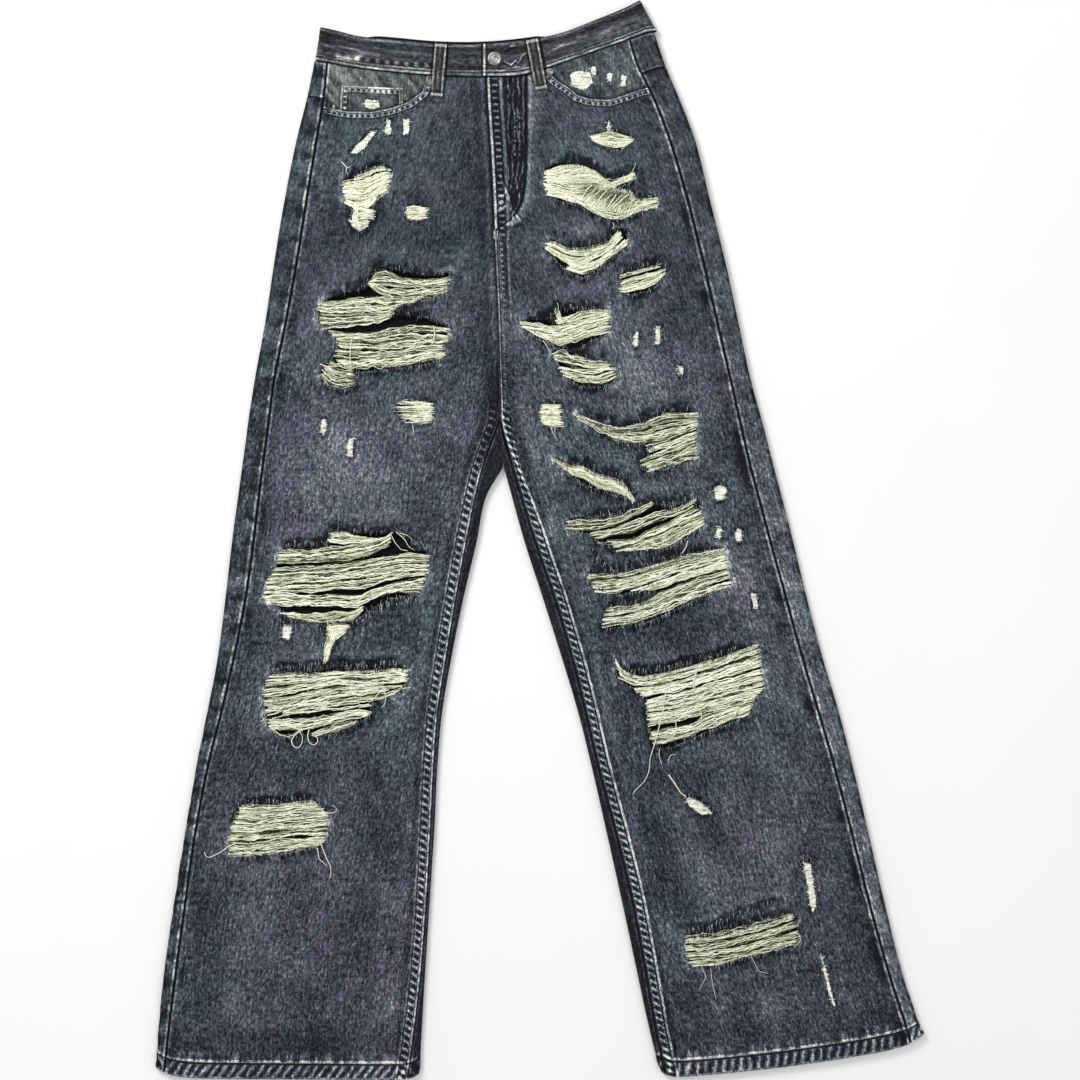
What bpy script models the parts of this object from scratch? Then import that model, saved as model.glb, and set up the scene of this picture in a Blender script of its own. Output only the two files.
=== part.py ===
"""Ripped wide-leg jeans, laid flat with the front up.

Every cut piece is one object: an open surface lofted through sections, made a
cloth wall with Solidify.  Units inside the tables are millimetres in the
garment's own frame: +X to the wearer's left, +Y towards the waist, +Z up, the
lowest cloth at Z = 0.  Blender gets metres.
"""
import math

import bmesh
import bpy
import numpy as np

for _o in list(bpy.data.objects):
    bpy.data.objects.remove(_o, do_unlink=True)

MM = 0.001
X_SHIFT, Y_SHIFT = 0.35, -0.75      # recentres the box on the origin

# ------------------------------------------------------------ driving sizes
WALL = 1.2            # denim, with its seam turnings averaged in
POCKET_WALL = 1.2     # back pockets
LOOP_WALL = 1.0       # belt loops, folded strip pressed flat
BAND_WALL = 2.2       # waistband, two layers
WEFT_WALL = 0.6       # what is left of the cloth inside a rip
GAP = 0.4             # between pieces at a seam, measured along the cloth
SIDE_GAP = 0.35       # each side of the side seam, whose line is curved
LIFT = 0.3            # between a panel and what lies on it

HEIGHT_WAIST, HEIGHT_HIP, HEIGHT_THIGH, HEIGHT_LEG = 7.0, 6.6, 6.0, 5.0
UNDERSIDE_WAIST = 1.5            # room for back pockets and back belt loops
WAIST_Y, HIP_Y, CROTCH_Y, KNEE_Y = 470.0, 340.0, 114.5, -60.0
APEX_Y = 76.5                    # where the two legs part
CROTCH_FROM, CROTCH_TO = 138.0, 110.0    # the back's edge rounds the fold
FLY_END_Y = 316.0
FLY_LIFT = 1.5                   # left front laps over right front
FLY_UNDERLAP = 30.0

# One row for each section across a leg: outer fold, side seam on the front,
# inseam (or centre front) on the front, inner fold (or centre).
COLS = ("y", "outer", "sideseam", "inseam", "inner")
RIGHT_LEG = [
    (489.5, -223.0, -211.0, -44.0, -44.0),
    (441.5, -233.0, -216.0, -44.0, -44.0),
    (399.5, -243.5, -223.0, -44.0, -44.0),
    (339.5, -255.5, -233.0, -44.0, -44.0),
    (279.5, -265.5, -242.5, -44.0, -44.0),
    (219.5, -274.5, -253.5, -43.0, -43.0),
    (159.5, -285.5, -265.5, -42.0, -42.0),
    (117.5, -292.0, -271.0, -42.6, -40.3),
    (98.0, -294.5, -273.5, -49.5, -39.0),
    (76.5, -297.5, -276.5, -57.0, -37.6),
    (44.5, -302.0, -280.5, -65.0, -54.0),
    (-0.5, -308.0, -286.0, -74.0, -63.5),
    (-60.5, -315.0, -294.5, -85.0, -77.5),
    (-120.5, -323.0, -306.5, -95.0, -89.5),
    (-170.5, -332.5, -318.0, -102.5, -98.0),
    (-220.5, -342.5, -330.5, -106.5, -102.5),
    (-290.5, -354.5, -344.0, -110.0, -106.0),
    (-360.5, -365.5, -354.0, -114.0, -110.5),
    (-430.5, -375.5, -363.5, -119.5, -115.0),
    (-490.5, -381.5, -371.0, -126.5, -118.5),
    (-538.5, -383.5, -376.0, -133.0, -121.0),
]
LEFT_LEG = [
    (509.5, 113.0, 86.0, -44.0, -44.0),
    (473.5, 125.0, 97.0, -44.0, -44.0),
    (441.5, 138.5, 113.0, -44.0, -44.0),
    (399.5, 154.5, 129.0, -44.0, -44.0),
    (339.5, 169.5, 147.0, -44.0, -44.0),
    (279.5, 184.5, 162.0, -44.0, -44.0),
    (219.5, 197.5, 176.0, -43.0, -43.0),
    (159.5, 210.5, 190.0, -42.0, -42.0),
    (117.5, 222.0, 199.5, -39.5, -40.3),
    (76.5, 232.5, 209.0, -29.0, -36.8),
    (44.5, 241.0, 217.5, -19.5, -28.5),
    (-0.5, 252.5, 229.5, -5.5, -16.0),
    (-60.5, 267.0, 246.0, 15.0, 3.5),
    (-120.5, 283.0, 262.5, 32.5, 22.5),
    (-170.5, 298.0, 277.5, 45.0, 37.5),
    (-220.5, 311.0, 292.0, 56.5, 50.0),
    (-290.5, 327.5, 310.5, 75.0, 66.0),
    (-360.5, 343.5, 328.0, 92.0, 81.5),
    (-430.5, 361.0, 347.5, 105.0, 96.5),
    (-490.5, 380.0, 366.5, 115.5, 109.5),
    (-520.5, 386.0, 374.0, 122.0, 117.0),
]
LEG = {"right": RIGHT_LEG, "left": LEFT_LEG}

# Centre front: the fly's edge above, the centre seam below.
CENTRE = [  # y, x
    (500.0, -58.0), (463.5, -55.0), (435.5, -53.7), (393.5, -50.9),
    (337.5, -48.0), (299.5, -46.5), (239.5, -43.5), (174.5, -41.5),
    (139.5, -40.5), (117.5, -40.3), (76.5, -37.2), (40.0, -35.0)]

# Where a section line starts and ends, at the outer and the inner edge.
SECTION_ENDS = {  # side: outer top, outer hem, inner top, inner hem
    "right": (478.5, -536.5, 462.5, -538.5),
    "left": (507.5, -503.0, 462.5, -537.0)}

# Seam between waistband and panels, and the band's top edge: x, y
WAIST_SEAM = [
    (-226.0, 479.0), (-176.5, 470.5), (-154.5, 467.9), (-107.5, 464.0),
    (-53.5, 462.5), (-20.0, 463.5), (4.5, 470.5), (50.5, 486.5),
    (82.0, 497.5), (110.5, 507.5), (118.0, 507.5)]
BAND_TOP = [
    (-219.5, 512.5), (-202.5, 508.5), (-182.5, 503.5), (-142.5, 499.5),
    (-102.5, 496.0), (-62.5, 495.5), (-22.5, 498.5), (17.5, 505.5),
    (57.5, 520.5), (87.5, 533.0), (99.5, 539.5)]
HEM_BOW = {"right": 0.0, "left": 4.0}

# Largest folds of the front: from, to, half width, rise (+) or dip (-).
FOLDS = [
    ("centre valley", -41.5, 205.0, -38.5, 80.0, 7.0, -2.0),
    ("left shin trough", 90.0, -245.0, 148.0, -390.0, 12.0, -1.4),
    ("left shin ridge", 118.0, -250.0, 180.0, -370.0, 16.0, 2.2),
    ("left hem ridge", 178.0, -430.0, 184.0, -520.0, 14.0, 1.6),
    ("left hem ridge 2", 228.0, -430.0, 236.0, -515.0, 13.0, 1.4),
    ("right shin ridge", -170.0, -215.0, -120.0, -130.0, 14.0, 1.6),
    ("right thigh ridge", -72.0, 150.0, -96.0, 10.0, 13.0, 1.8),
    ("left thigh ridge", -18.0, 150.0, 20.0, 10.0, 13.0, 1.8),
    ("right whisker", -70.0, 215.0, -150.0, 255.0, 9.0, 1.2),
    ("left whisker", -20.0, 215.0, 60.0, 262.0, 9.0, 1.2)]

# The large rips.  Each is a hole in the front panel with its weft left in it,
# rounded four-sided: left and right ends, upper and lower edge at each end.
RIPS = [  # name, leg, x0, x1, upper0, upper1, lower0, lower1
    ("r_hip", "right", -193.5, -151.5, 364.5, 371.5, 327.0, 339.0),
    ("r_thigh_upper", "right", -218.5, -94.5, 235.5, 262.5, 212.5, 247.5),
    ("r_thigh_lower", "right", -210.5, -94.5, 203.5, 213.5, 159.5, 183.5),
    ("r_knee_upper", "right", -272.5, -113.5, -8.5, -5.5, -63.5, -46.5),
    ("r_knee_lower", "right", -272.5, -133.5, -130.5, -126.5, -190.5, -144.5),
    ("r_shin", "right", -308.5, -213.5, -268.5, -262.5, -311.5, -302.5),
    ("l_hip", "left", 8.5, 114.5, 373.5, 353.5, 342.5, 327.5),
    ("l_thigh_1", "left", -0.5, 67.5, 227.5, 230.5, 199.5, 211.5),
    ("l_thigh_2", "left", 15.5, 73.5, 185.5, 173.5, 165.5, 156.5),
    ("l_thigh_3", "left", 101.5, 154.5, 115.5, 127.5, 71.5, 78.5),
    ("l_thigh_4", "left", 31.5, 159.5, 22.5, 37.5, 9.5, 11.5),
    ("l_knee_upper", "left", 57.5, 187.5, -33.5, -10.5, -82.5, -46.5),
    ("l_knee_lower", "left", 89.5, 219.5, -136.5, -104.5, -198.5, -160.5),
    ("l_shin", "left", 147.5, 255.5, -394.5, -372.5, -422.5, -400.5)]

# Front pocket openings: x, y along the edge, from the waist seam outwards.
POCKET_EDGE = {
    "right": [(-112.0, 470.0), (-114.0, 458.5), (-117.5, 448.0),
              (-131.5, 437.5), (-148.5, 431.5), (-168.0, 427.5),
              (-192.0, 428.0), (-217.5, 433.0), (-240.0, 440.0)],
    "left": [(5.0, 476.0), (8.5, 467.5), (14.5, 460.5), (28.5, 451.5),
             (36.5, 444.5), (48.5, 440.5), (68.5, 439.5), (84.5, 444.5),
             (98.0, 449.5), (125.0, 456.0)]}
FACING_UNDER = 9.0               # facing carries on under the front panel
FACING_DROP = 1.6

COIN_POCKET = dict(x0=-198.0, x1=-137.0, top0=454.0, top1=451.0)
BELT_LOOPS = [  # name, x at top, y at top, x at foot, y at foot, front?
    ("belt_loop_front_right", -99.0, 495.5, -103.5, 442.5, True),
    ("belt_loop_front_left", -8.5, 499.5, 1.0, 449.5, True),
    ("belt_loop_back_right", -165.0, 501.0, -168.0, 452.0, False),
    ("belt_loop_back_centre", -50.0, 495.0, -50.0, 446.0, False),
    ("belt_loop_back_left", 62.0, 520.0, 69.0, 473.0, False)]
LOOP_WIDTH = 12.2

YOKE_SIDE, YOKE_CENTRE = 35.0, 66.0       # yoke depth below the waist seam
BACK_POCKET = dict(width=146.0, side=128.0, point=152.0, below=92.0)
BUTTON = dict(x=-45.5, y=479.8, radius=7.0)
RIVETS = [("rivet_right", -111.0, 457.7), ("rivet_left", 9.5, 467.5)]
RIVET_RADIUS = 3.9


# --------------------------------------------------------------- small maths
def table(rows, col, y):
    """Cubic (Hermite) reading of one column of a table at y."""
    rows = sorted(rows, key=lambda r: r[0])
    xs = np.array([r[0] for r in rows], float)
    vs = np.array([r[col] for r in rows], float)
    sec = np.diff(vs) / np.diff(xs)
    m = np.empty_like(vs)
    m[0], m[-1] = sec[0], sec[-1]
    m[1:-1] = 0.5 * (sec[1:] + sec[:-1])
    y = np.asarray(y, float)
    yc = np.clip(y, xs[0], xs[-1])
    i = np.clip(np.searchsorted(xs, yc, side="right") - 1, 0, len(xs) - 2)
    h = xs[i + 1] - xs[i]
    t = (yc - xs[i]) / h
    val = ((1 + 2 * t) * (1 - t) ** 2 * vs[i] + t * (1 - t) ** 2 * h * m[i]
           + t * t * (3 - 2 * t) * vs[i + 1] + t * t * (t - 1) * h * m[i + 1])
    return val + np.where(y < xs[0], (y - xs[0]) * m[0], 0.0) \
        + np.where(y > xs[-1], (y - xs[-1]) * m[-1], 0.0)


def step(a, b, x):
    """0 at a, 1 at b, smooth between; a may be above b."""
    t = np.clip((np.asarray(x, float) - a) / (b - a), 0.0, 1.0)
    return t * t * (3 - 2 * t)


def height(y):
    h = HEIGHT_LEG + (HEIGHT_THIGH - HEIGHT_LEG) * step(KNEE_Y, CROTCH_Y, y)
    h = h + (HEIGHT_HIP - HEIGHT_THIGH) * step(CROTCH_Y, HIP_Y, y)
    return h + (HEIGHT_WAIST - HEIGHT_HIP) * step(HIP_Y, 440.0, y)


def underside(y):
    return UNDERSIDE_WAIST * step(CROTCH_Y + 8.0, 215.0, y)


def centre(y):
    return table(CENTRE, 1, y)


def outer(side, y):
    return table(LEG[side], 1, y)


def inner(side, y):
    """Inner fold of a leg; above the parting point, the centre line."""
    leg = table(LEG[side], 4, y)
    mix = step(APEX_Y + 6.0, APEX_Y - 12.0, y)
    mid = centre(y) + (-0.25 if side == "right" else 0.25)
    return mid * (1 - mix) + leg * mix


def folds(x, y):
    dz = np.zeros(np.broadcast(x, y).shape)
    for _, x0, y0, x1, y1, half, rise in FOLDS:
        dx, dy = x1 - x0, y1 - y0
        length = math.hypot(dx, dy)
        along = ((x - x0) * dx + (y - y0) * dy) / length
        off = ((x - x0) * dy - (y - y0) * dx) / length
        ends = step(-18.0, 22.0, along) * step(length + 18.0, length - 22.0,
                                               along)
        dz = dz + rise * ends * np.exp(-(off / half) ** 2)
    return dz


def valley(y):
    """How far the inner edge rolls over: 1 on a leg, 0 on the hips."""
    return step(205.0, 134.0, y)


def roll_drop(d, r):
    t = np.clip(1.0 - d / r, 0.0, 1.0)
    return r - r * np.sqrt(np.maximum(1.0 - t * t, 0.0))


def top_z(side, x, y):
    """Outer face of the front cloth at a place on the plan."""
    h, u = height(y), underside(y)
    r = 0.5 * (h - u)
    lean = 0.975
    d = np.abs(x - outer(side, y)) * lean
    e = np.abs(x - inner(side, y)) * lean
    edge = step(2.0, 26.0, d) * step(1.0, 12.0, e + 12.0 * (1 - valley(y)))
    return h - roll_drop(d, r) - valley(y) * roll_drop(e, r) \
        + folds(x, y) * edge


def fly_lift(x, y):
    cx = centre(y)
    return FLY_LIFT * step(50.0, 33.0, x - cx) * step(284.0, 305.0, y)


# ------------------------------------------------------- sections on the plan
def section_plan(side, w, v):
    """Plan point at fraction w (outer 0, inner 1) of the section v."""
    o_top, o_hem, i_top, i_hem = SECTION_ENDS[side]
    yo, yi = o_top + (o_hem - o_top) * v, i_top + (i_hem - i_top) * v
    xo, xi = outer(side, yo), inner(side, yi)
    x = xo + (xi - xo) * w
    y = yo + (yi - yo) * w
    xt0, xt1 = outer(side, o_top), inner(side, i_top)
    xt = xt0 + (xt1 - xt0) * w
    bow = table(WAIST_SEAM, 1, xt) - (o_top + (i_top - o_top) * w)
    y = y + bow * step(0.30, 0.0, v) - HEM_BOW[side] * np.sin(
        np.pi * np.clip(w, 0, 1)) * step(0.9, 1.0, v)
    # the hem's corners turn up a little at both folds
    width = np.abs(xi - xo)
    corner = 11.0 * np.exp(-w * width / 13.0) + 7.0 * np.exp(
        -(1 - w) * width / 7.0)
    return x, y + corner * step(0.985, 1.0, v)


def across(side, col, v):
    """Fraction w at which the section v meets a seam column of the table."""
    w = np.full(np.shape(v), 0.1 if col == 2 else 0.95)
    for _ in range(6):
        x, y = section_plan(side, w, v)
        o_top, o_hem, i_top, i_hem = SECTION_ENDS[side]
        xo = outer(side, o_top + (o_hem - o_top) * v)
        xi = inner(side, i_top + (i_hem - i_top) * v)
        want = table(LEG[side], col, y)
        if col == 3:
            mix = step(CROTCH_FROM, CROTCH_TO, y)
            want = inner(side, y) * (1 - mix) + want * mix
        w = (want - xo) / (xi - xo)
    return w


def seam_gap(y):
    """Gap at the inseam; wider where it lies on the tight inner fold."""
    return GAP + 0.8 * step(150.0, 134.0, y) * step(70.0, 96.0, y)


def rows(levels):
    """v of each section, from y measured on the inner edge."""
    return [(462.5 - y) / (462.5 + 538.0) for y in levels]


LEVELS = [462.5, 430.0, 396.0, 340.0, 312.0, 286.0, 240.0, 196.0, 164.0, 147.0,
          138.0, 130.0, 122.0, 114.0, 104.0, 92.0, 76.5, 52.0, 10.0, -70.0,
          -160.0, -260.0, -370.0, -470.0, -524.0, -538.0]
V = np.array(rows(LEVELS))
V[-1] = 1.0


# ------------------------------------------------------------------- blender
garment = bpy.data.collections.new("ripped_jeans")
cutters = bpy.data.collections.new("cutters")
bpy.context.scene.collection.children.link(garment)
bpy.context.scene.collection.children.link(cutters)


def material(name, colour, rough, metal=0.0):
    m = bpy.data.materials.new(name)
    m.use_nodes = True
    b = m.node_tree.nodes["Principled BSDF"]
    b.inputs["Base Color"].default_value = (*colour, 1.0)
    b.inputs["Roughness"].default_value = rough
    b.inputs["Metallic"].default_value = metal
    m.diffuse_color = (*colour, 1.0)
    return m


DENIM = (0.070, 0.080, 0.105)
BAND = (0.085, 0.092, 0.100)
WEFT = (0.52, 0.51, 0.38)
METAL = (0.52, 0.52, 0.50)


def sheet(name, pts, wall, mat, flip=False, shade=40.0):
    """A cloth wall on a grid of surface points (rows, columns, xyz in mm).
    The wall is on the side away from the outer face."""
    nr, nc = pts.shape[:2]
    bm = bmesh.new()
    bmesh.ops.create_grid(bm, x_segments=nc - 1, y_segments=nr - 1, size=1.0)
    for vert in bm.verts:
        c = int(round((vert.co.x + 1.0) * 0.5 * (nc - 1)))
        r = int(round((vert.co.y + 1.0) * 0.5 * (nr - 1)))
        p = pts[r, c]
        vert.co = ((p[0] + X_SHIFT) * MM, (p[1] + Y_SHIFT) * MM, p[2] * MM)
    if flip:
        bmesh.ops.reverse_faces(bm, faces=bm.faces)
    me = bpy.data.meshes.new(name)
    bm.to_mesh(me)
    bm.free()
    ob = bpy.data.objects.new(name, me)
    garment.objects.link(ob)
    me.materials.append(mat)
    s = ob.modifiers.new("wall", "SOLIDIFY")
    s.thickness = wall * MM
    s.offset = -1.0
    s.use_even_offset = True
    s.use_quality_normals = True
    s.use_rim = True
    me.shade_smooth()
    me.set_sharp_from_angle(angle=math.radians(shade))
    return ob


def prism(name, outline, z0, z1):
    """A cutter: a flat outline raised through the cloth."""
    bm = bmesh.new()
    vs = [bm.verts.new(((x + X_SHIFT) * MM, (y + Y_SHIFT) * MM, z0 * MM))
          for x, y in outline]
    face = bm.faces.new(vs)
    face.normal_update()
    if face.normal.z > 0:
        face.normal_flip()
    got = bmesh.ops.extrude_face_region(bm, geom=[face])
    up = [g for g in got["geom"] if isinstance(g, bmesh.types.BMVert)]
    bmesh.ops.translate(bm, verts=up, vec=(0, 0, (z1 - z0) * MM))
    bmesh.ops.recalc_face_normals(bm, faces=bm.faces)
    me = bpy.data.meshes.new(name)
    bm.to_mesh(me)
    bm.free()
    ob = bpy.data.objects.new(name, me)
    cutters.objects.link(ob)
    ob.hide_render = True
    ob.display_type = "WIRE"
    return ob


def boolean(ob, tool, op="DIFFERENCE"):
    b = ob.modifiers.new(op.lower() + "_" + tool.name, "BOOLEAN")
    b.operation = op
    b.object = tool
    b.solver = "EXACT"


def rip_outline(row, inset=0.0, n=12):
    """Rounded four-sided outline of a rip."""
    _, _, x0, x1, u0, u1, l0, l1 = row
    cx, half = 0.5 * (x0 + x1), 0.5 * (x1 - x0) - inset
    out = []
    for k in range(n):
        a = 2 * math.pi * k / n
        c, s = math.cos(a), math.sin(a)
        e = 2.0 / 3.4
        xi = math.copysign(abs(c) ** e, c)
        et = math.copysign(abs(s) ** e, s)
        x = cx + half * xi
        f = (x - x0) / (x1 - x0)
        up, lo = u0 + (u1 - u0) * f, l0 + (l1 - l0) * f
        out.append((x, 0.5 * (up + lo) + et * (0.5 * (up - lo) - inset)))
    return out


def plan_to_points(side, x, y, lift=0.0):
    z = top_z(side, x, y) + lift
    return np.stack(np.broadcast_arrays(x, y, z), -1)


# -------------------------------------------------------------- front panels
def front_inner_edge(side, v):
    """Fraction w of the front panel's inner edge: centre front or inseam."""
    return across(side, 3, v)


def front_panel(side):
    nc = 8
    v = V.copy()
    v[0] += GAP / 1000.0
    ws = across(side, 2, v)
    wi = front_inner_edge(side, v)
    xo, yo = section_plan(side, np.zeros_like(v), v)
    xi, yi = section_plan(side, np.ones_like(v), v)
    width = np.hypot(xi - xo, yi - yo)
    ws = ws + SIDE_GAP / width
    # right front carries on under the fly, left front stops at the edge
    _, y_edge = section_plan(side, wi, v)
    wi = wi - np.maximum(0.12, 0.5 * seam_gap(y_edge)
                         * step(CROTCH_FROM, CROTCH_TO, y_edge)) / width
    if side == "right":
        wi = wi + FLY_UNDERLAP * step(312.0, 338.0, y_edge) / width
    pts = np.zeros((len(v), nc + 3, 3))
    for i in range(len(v)):
        a, b = ws[i], wi[i]
        near = np.array([9.6, 3.2, 1.4, 0.4]) / width[i]
        w = np.concatenate([a + (b - near[0] - a)
                            * np.linspace(0, 1, nc - 1), b - near[1:], [b]])
        x, y = section_plan(side, w, np.full(w.shape, v[i]))
        z = top_z(side, x, y)
        if side == "left":
            z = z + fly_lift(x, y)
        pts[i] = np.stack([x, y, z], -1)
    return pts


def pocket_cut(side):
    edge = POCKET_EDGE[side]
    sgn = -1.0 if side == "right" else 1.0
    a, b = edge[0], edge[-1]
    return edge + [(b[0] + 30 * sgn, b[1] + 20), (b[0] + 30 * sgn, 560.0),
                   (a[0], 560.0)]


FLIP = {"right": True, "left": False}
mats = {}
for side in ("right", "left"):
    mats[side] = material("denim_front_" + side, DENIM, 0.9)
    ob = sheet("front_panel_" + side, front_panel(side), WALL, mats[side],
               flip=FLIP[side])
    boolean(ob, prism("pocket_cut_" + side, pocket_cut(side), -5.0, 25.0))
    for row in RIPS:
        if row[1] == side:
            boolean(ob, prism("rip_" + row[0], rip_outline(row), 3.0, 25.0))

# --------------------------------------------------- the weft left in a rip
for row in RIPS:
    name, side, x0, x1, u0, u1, l0, l1 = row
    xs = np.linspace(x0 - 3, x1 + 3, 4)
    f = np.clip((xs - x0) / (x1 - x0), -0.1, 1.1)
    up, lo = u0 + (u1 - u0) * f + 3, l0 + (l1 - l0) * f - 3
    t = np.linspace(0, 1, 3)[:, None]
    y = up[None, :] * (1 - t) + lo[None, :] * t
    x = np.repeat(xs[None, :], 3, 0)
    ob = sheet("weft_" + name, plan_to_points(side, x, y, -0.3), WEFT_WALL,
               material("weft_" + name, WEFT, 0.95), flip=True)
    boolean(ob, prism("keep_" + name, rip_outline(row, GAP), 0.0, 25.0),
            "INTERSECT")


# --------------------------------------------------- back panels and yokes
def yoke_v(side, frac):
    """v of the yoke seam at a fraction from the side to the centre back."""
    f = np.clip(frac, 0, 1)
    return (YOKE_SIDE + (YOKE_CENTRE - YOKE_SIDE) * f) / 1001.0


OUTER_ROLL = 4          # facets round the outer fold
INNER_ROLL = 4          # facets round the inner fold


def back_row(side, v, extra_gap=0.0):
    """Nodes of one section of the back: from the side seam on the front,
    round the outer fold, across the underside, and on a leg round the inner
    fold to the inseam.  Returns plan fractions, heights and kinds."""
    va = np.array([v])
    ws = float(across(side, 2, va)[0])
    wi = float(front_inner_edge(side, va)[0])
    xo, yo = section_plan(side, np.zeros(1), va)
    xi, yi = section_plan(side, np.ones(1), va)
    width = float(np.hypot(xi - xo, yi - yo)[0])
    y_in = float(yi[0])
    r = 0.5 * float(height(y_in) - underside(y_in))
    u = float(underside(y_in))
    c = float(valley(y_in))
    # dense curve (distance from outer fold, height, on-top flag)
    d_seam = ws * width - SIDE_GAP
    e_seam = (1 - wi) * width - 0.5 * float(seam_gap(y_in))
    nodes = []
    for k in range(2):                                   # strip on the front
        nodes.append((d_seam + (r - d_seam) * k / 2.0, None))
    for k in range(OUTER_ROLL + 1):                      # outer fold
        a = math.pi * k / OUTER_ROLL
        nodes.append((r - r * math.sin(a), u + r + r * math.cos(a)))
    # underside and inner fold by arc length
    flat = width - 2 * r
    full = math.pi * r + max(e_seam - r, 0.05)
    offs = [math.pi * r * k / INNER_ROLL for k in range(1, INNER_ROLL + 1)] + \
        [math.pi * r + max(e_seam - r, 0.05) * k / 2.0 for k in (1, 2)]
    if e_seam < r:                   # the inseam is still on the fold
        full = r * (math.pi / 2 + math.acos(1 - max(e_seam, 0) / r))
        offs = [full * k / (INNER_ROLL + 2.0)
                for k in range(1, INNER_ROLL + 3)]
    t = float(step(CROTCH_FROM, CROTCH_TO, y_in))   # 0: ends at mid fold
    end = (0.5 * math.pi * r - 1.0) * (1 - t) + full * t
    ratio = end / full
    mix = float(step(CROTCH_FROM, 215.0, y_in))
    ncol = 4
    hips = np.linspace(0, 1, ncol + len(offs) + 1)[1:] * (
        flat + 0.5 * math.pi * r - 1.0)
    legs = list(np.linspace(0, flat, ncol + 1)[1:]) + \
        [flat + o * ratio for o in offs]
    for s_hip, s_leg in zip(hips, legs):
        s = mix * s_hip + (1 - mix) * s_leg
        if s <= flat:
            nodes.append((r + s, u))
        else:
            a = (s - flat) / r
            if a <= math.pi:
                e = r - r * math.sin(a)
                zz = r - r * math.cos(a)
                if c < 1.0 and a <= math.pi / 2 + 0.01:
                    # fold opens out flat towards the hips
                    e_flat = max(r - (s - flat), 0.0) * (
                        1.0 if (s - flat) < r else 0.0)
                    e_flat = r * (1 - (s - flat) / (0.5 * math.pi * r))
                    e = e * c + max(e_flat, 0.5 * GAP) * (1 - c)
                    zz = zz * c
                nodes.append((width - e, u + zz))
            else:
                e = r + (a - math.pi) * r
                nodes.append((width - e, None))
    return nodes, width


def back_surface(side, vs_of_frac, n_rows):
    """Grid of the back from one v-curve to another; v varies with the
    fraction from the side seam to the centre back."""
    probe, _ = back_row(side, 0.5)
    nc = len(probe)
    pts = np.zeros((n_rows, nc, 3))
    for i in range(n_rows):
        known = {}
        for j in range(nc):
            # a node's own v depends on how far across it is
            frac = np.clip((j - 3) / float(nc - 4), 0, 1)
            v = float(vs_of_frac(i, frac))
            if v not in known:
                known[v] = back_row(side, v)
            nodes, width = known[v]
            d, z = nodes[j]
            x, y = section_plan(side, np.array([d / width]), np.array([v]))
            if z is None:
                z = float(top_z(side, x, y)[0])
            pts[i, j] = (x[0], y[0], z)
    return pts


def back_panel(side):
    v = V[1:].copy()
    v_hip = 0.12
    keep = [q for q in v if q > v_hip + 0.01]
    ladder = [0.0, 0.35, 0.7, 1.0]

    def vs(i, frac):
        if i < len(ladder):
            top = yoke_v(side, frac) + GAP / 1001.0
            return top + (v_hip - top) * ladder[i]
        return keep[i - len(ladder)]
    return back_surface(side, vs, len(ladder) + len(keep))


def yoke(side):
    def vs(i, frac):
        top = GAP / 1001.0
        return top + (yoke_v(side, frac) - GAP / 1001.0 - top) * i / 3.0
    return back_surface(side, vs, 4)


for side in ("right", "left"):
    sheet("back_panel_" + side, back_panel(side), WALL,
          material("denim_back_" + side, DENIM, 0.9), flip=not FLIP[side])
    sheet("yoke_" + side, yoke(side), WALL,
          material("denim_yoke_" + side, DENIM, 0.9), flip=not FLIP[side])


# ------------------------------------------------------ pocket facings, coin
def edge_y(side, x):
    return table([(a, b) for a, b in POCKET_EDGE[side]], 1, x)


def facing_drop(side, x, y):
    """Below the front's own face: full under the panel and at its edge,
    fading out to the waist seam and side seam."""
    near = 1e9
    edge = POCKET_EDGE[side]
    for (ax, ay), (bx, by) in zip(edge[:-1], edge[1:]):
        dx, dy = bx - ax, by - ay
        t = np.clip(((x - ax) * dx + (y - ay) * dy) / (dx * dx + dy * dy),
                    0, 1)
        near = np.minimum(near, np.hypot(x - ax - t * dx, y - ay - t * dy))
    inside = (y > edge_y(side, x)) & (np.abs(x - edge[-1][0])
                                      < abs(edge[0][0] - edge[-1][0]))
    return FACING_DROP - (FACING_DROP - 0.25) * step(
        1.5, 13.0, np.where(inside, near, 0.0))


def facing(side):
    n, m = 8, 6
    edge = POCKET_EDGE[side]
    x_a = edge[0][0]
    sgn = -1.0 if side == "right" else 1.0
    pts = np.zeros((m, n, 3))
    for j in range(n):
        f = j / (n - 1.0)
        x_top = x_a + sgn * 1.5
        x_bot = x_a - sgn * (FACING_UNDER - 3.0)
        for i in range(m):
            q = i / (m - 1.0)
            xin = x_top + (x_bot - x_top) * step(0.0, 0.5, q)
            # outer end follows the side seam
            y = 440.0
            x = xin
            for _ in range(8):
                xs = float(table(LEG[side], 2, y)) - sgn * 0.6
                x = xin + (xs - xin) * f
                y_top = float(table(WAIST_SEAM, 1, x)) - GAP
                xe = min(max(x * sgn, x_a * sgn + 1.0), 999.0) * sgn
                y_bot = float(edge_y(side, xe)) - FACING_UNDER
                y_bot = min(y_bot, y_top - 14.0)
                y = y_top + (y_bot - y_top) * q
            drop = float(facing_drop(side, x, y))
            pts[i, j] = (x, y, float(top_z(side, x, y)) - drop)
    return pts


for side in ("right", "left"):
    sheet("pocket_facing_" + side, facing(side), WALL,
          material("denim_facing_" + side, DENIM, 0.9), flip=not FLIP[side])


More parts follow.
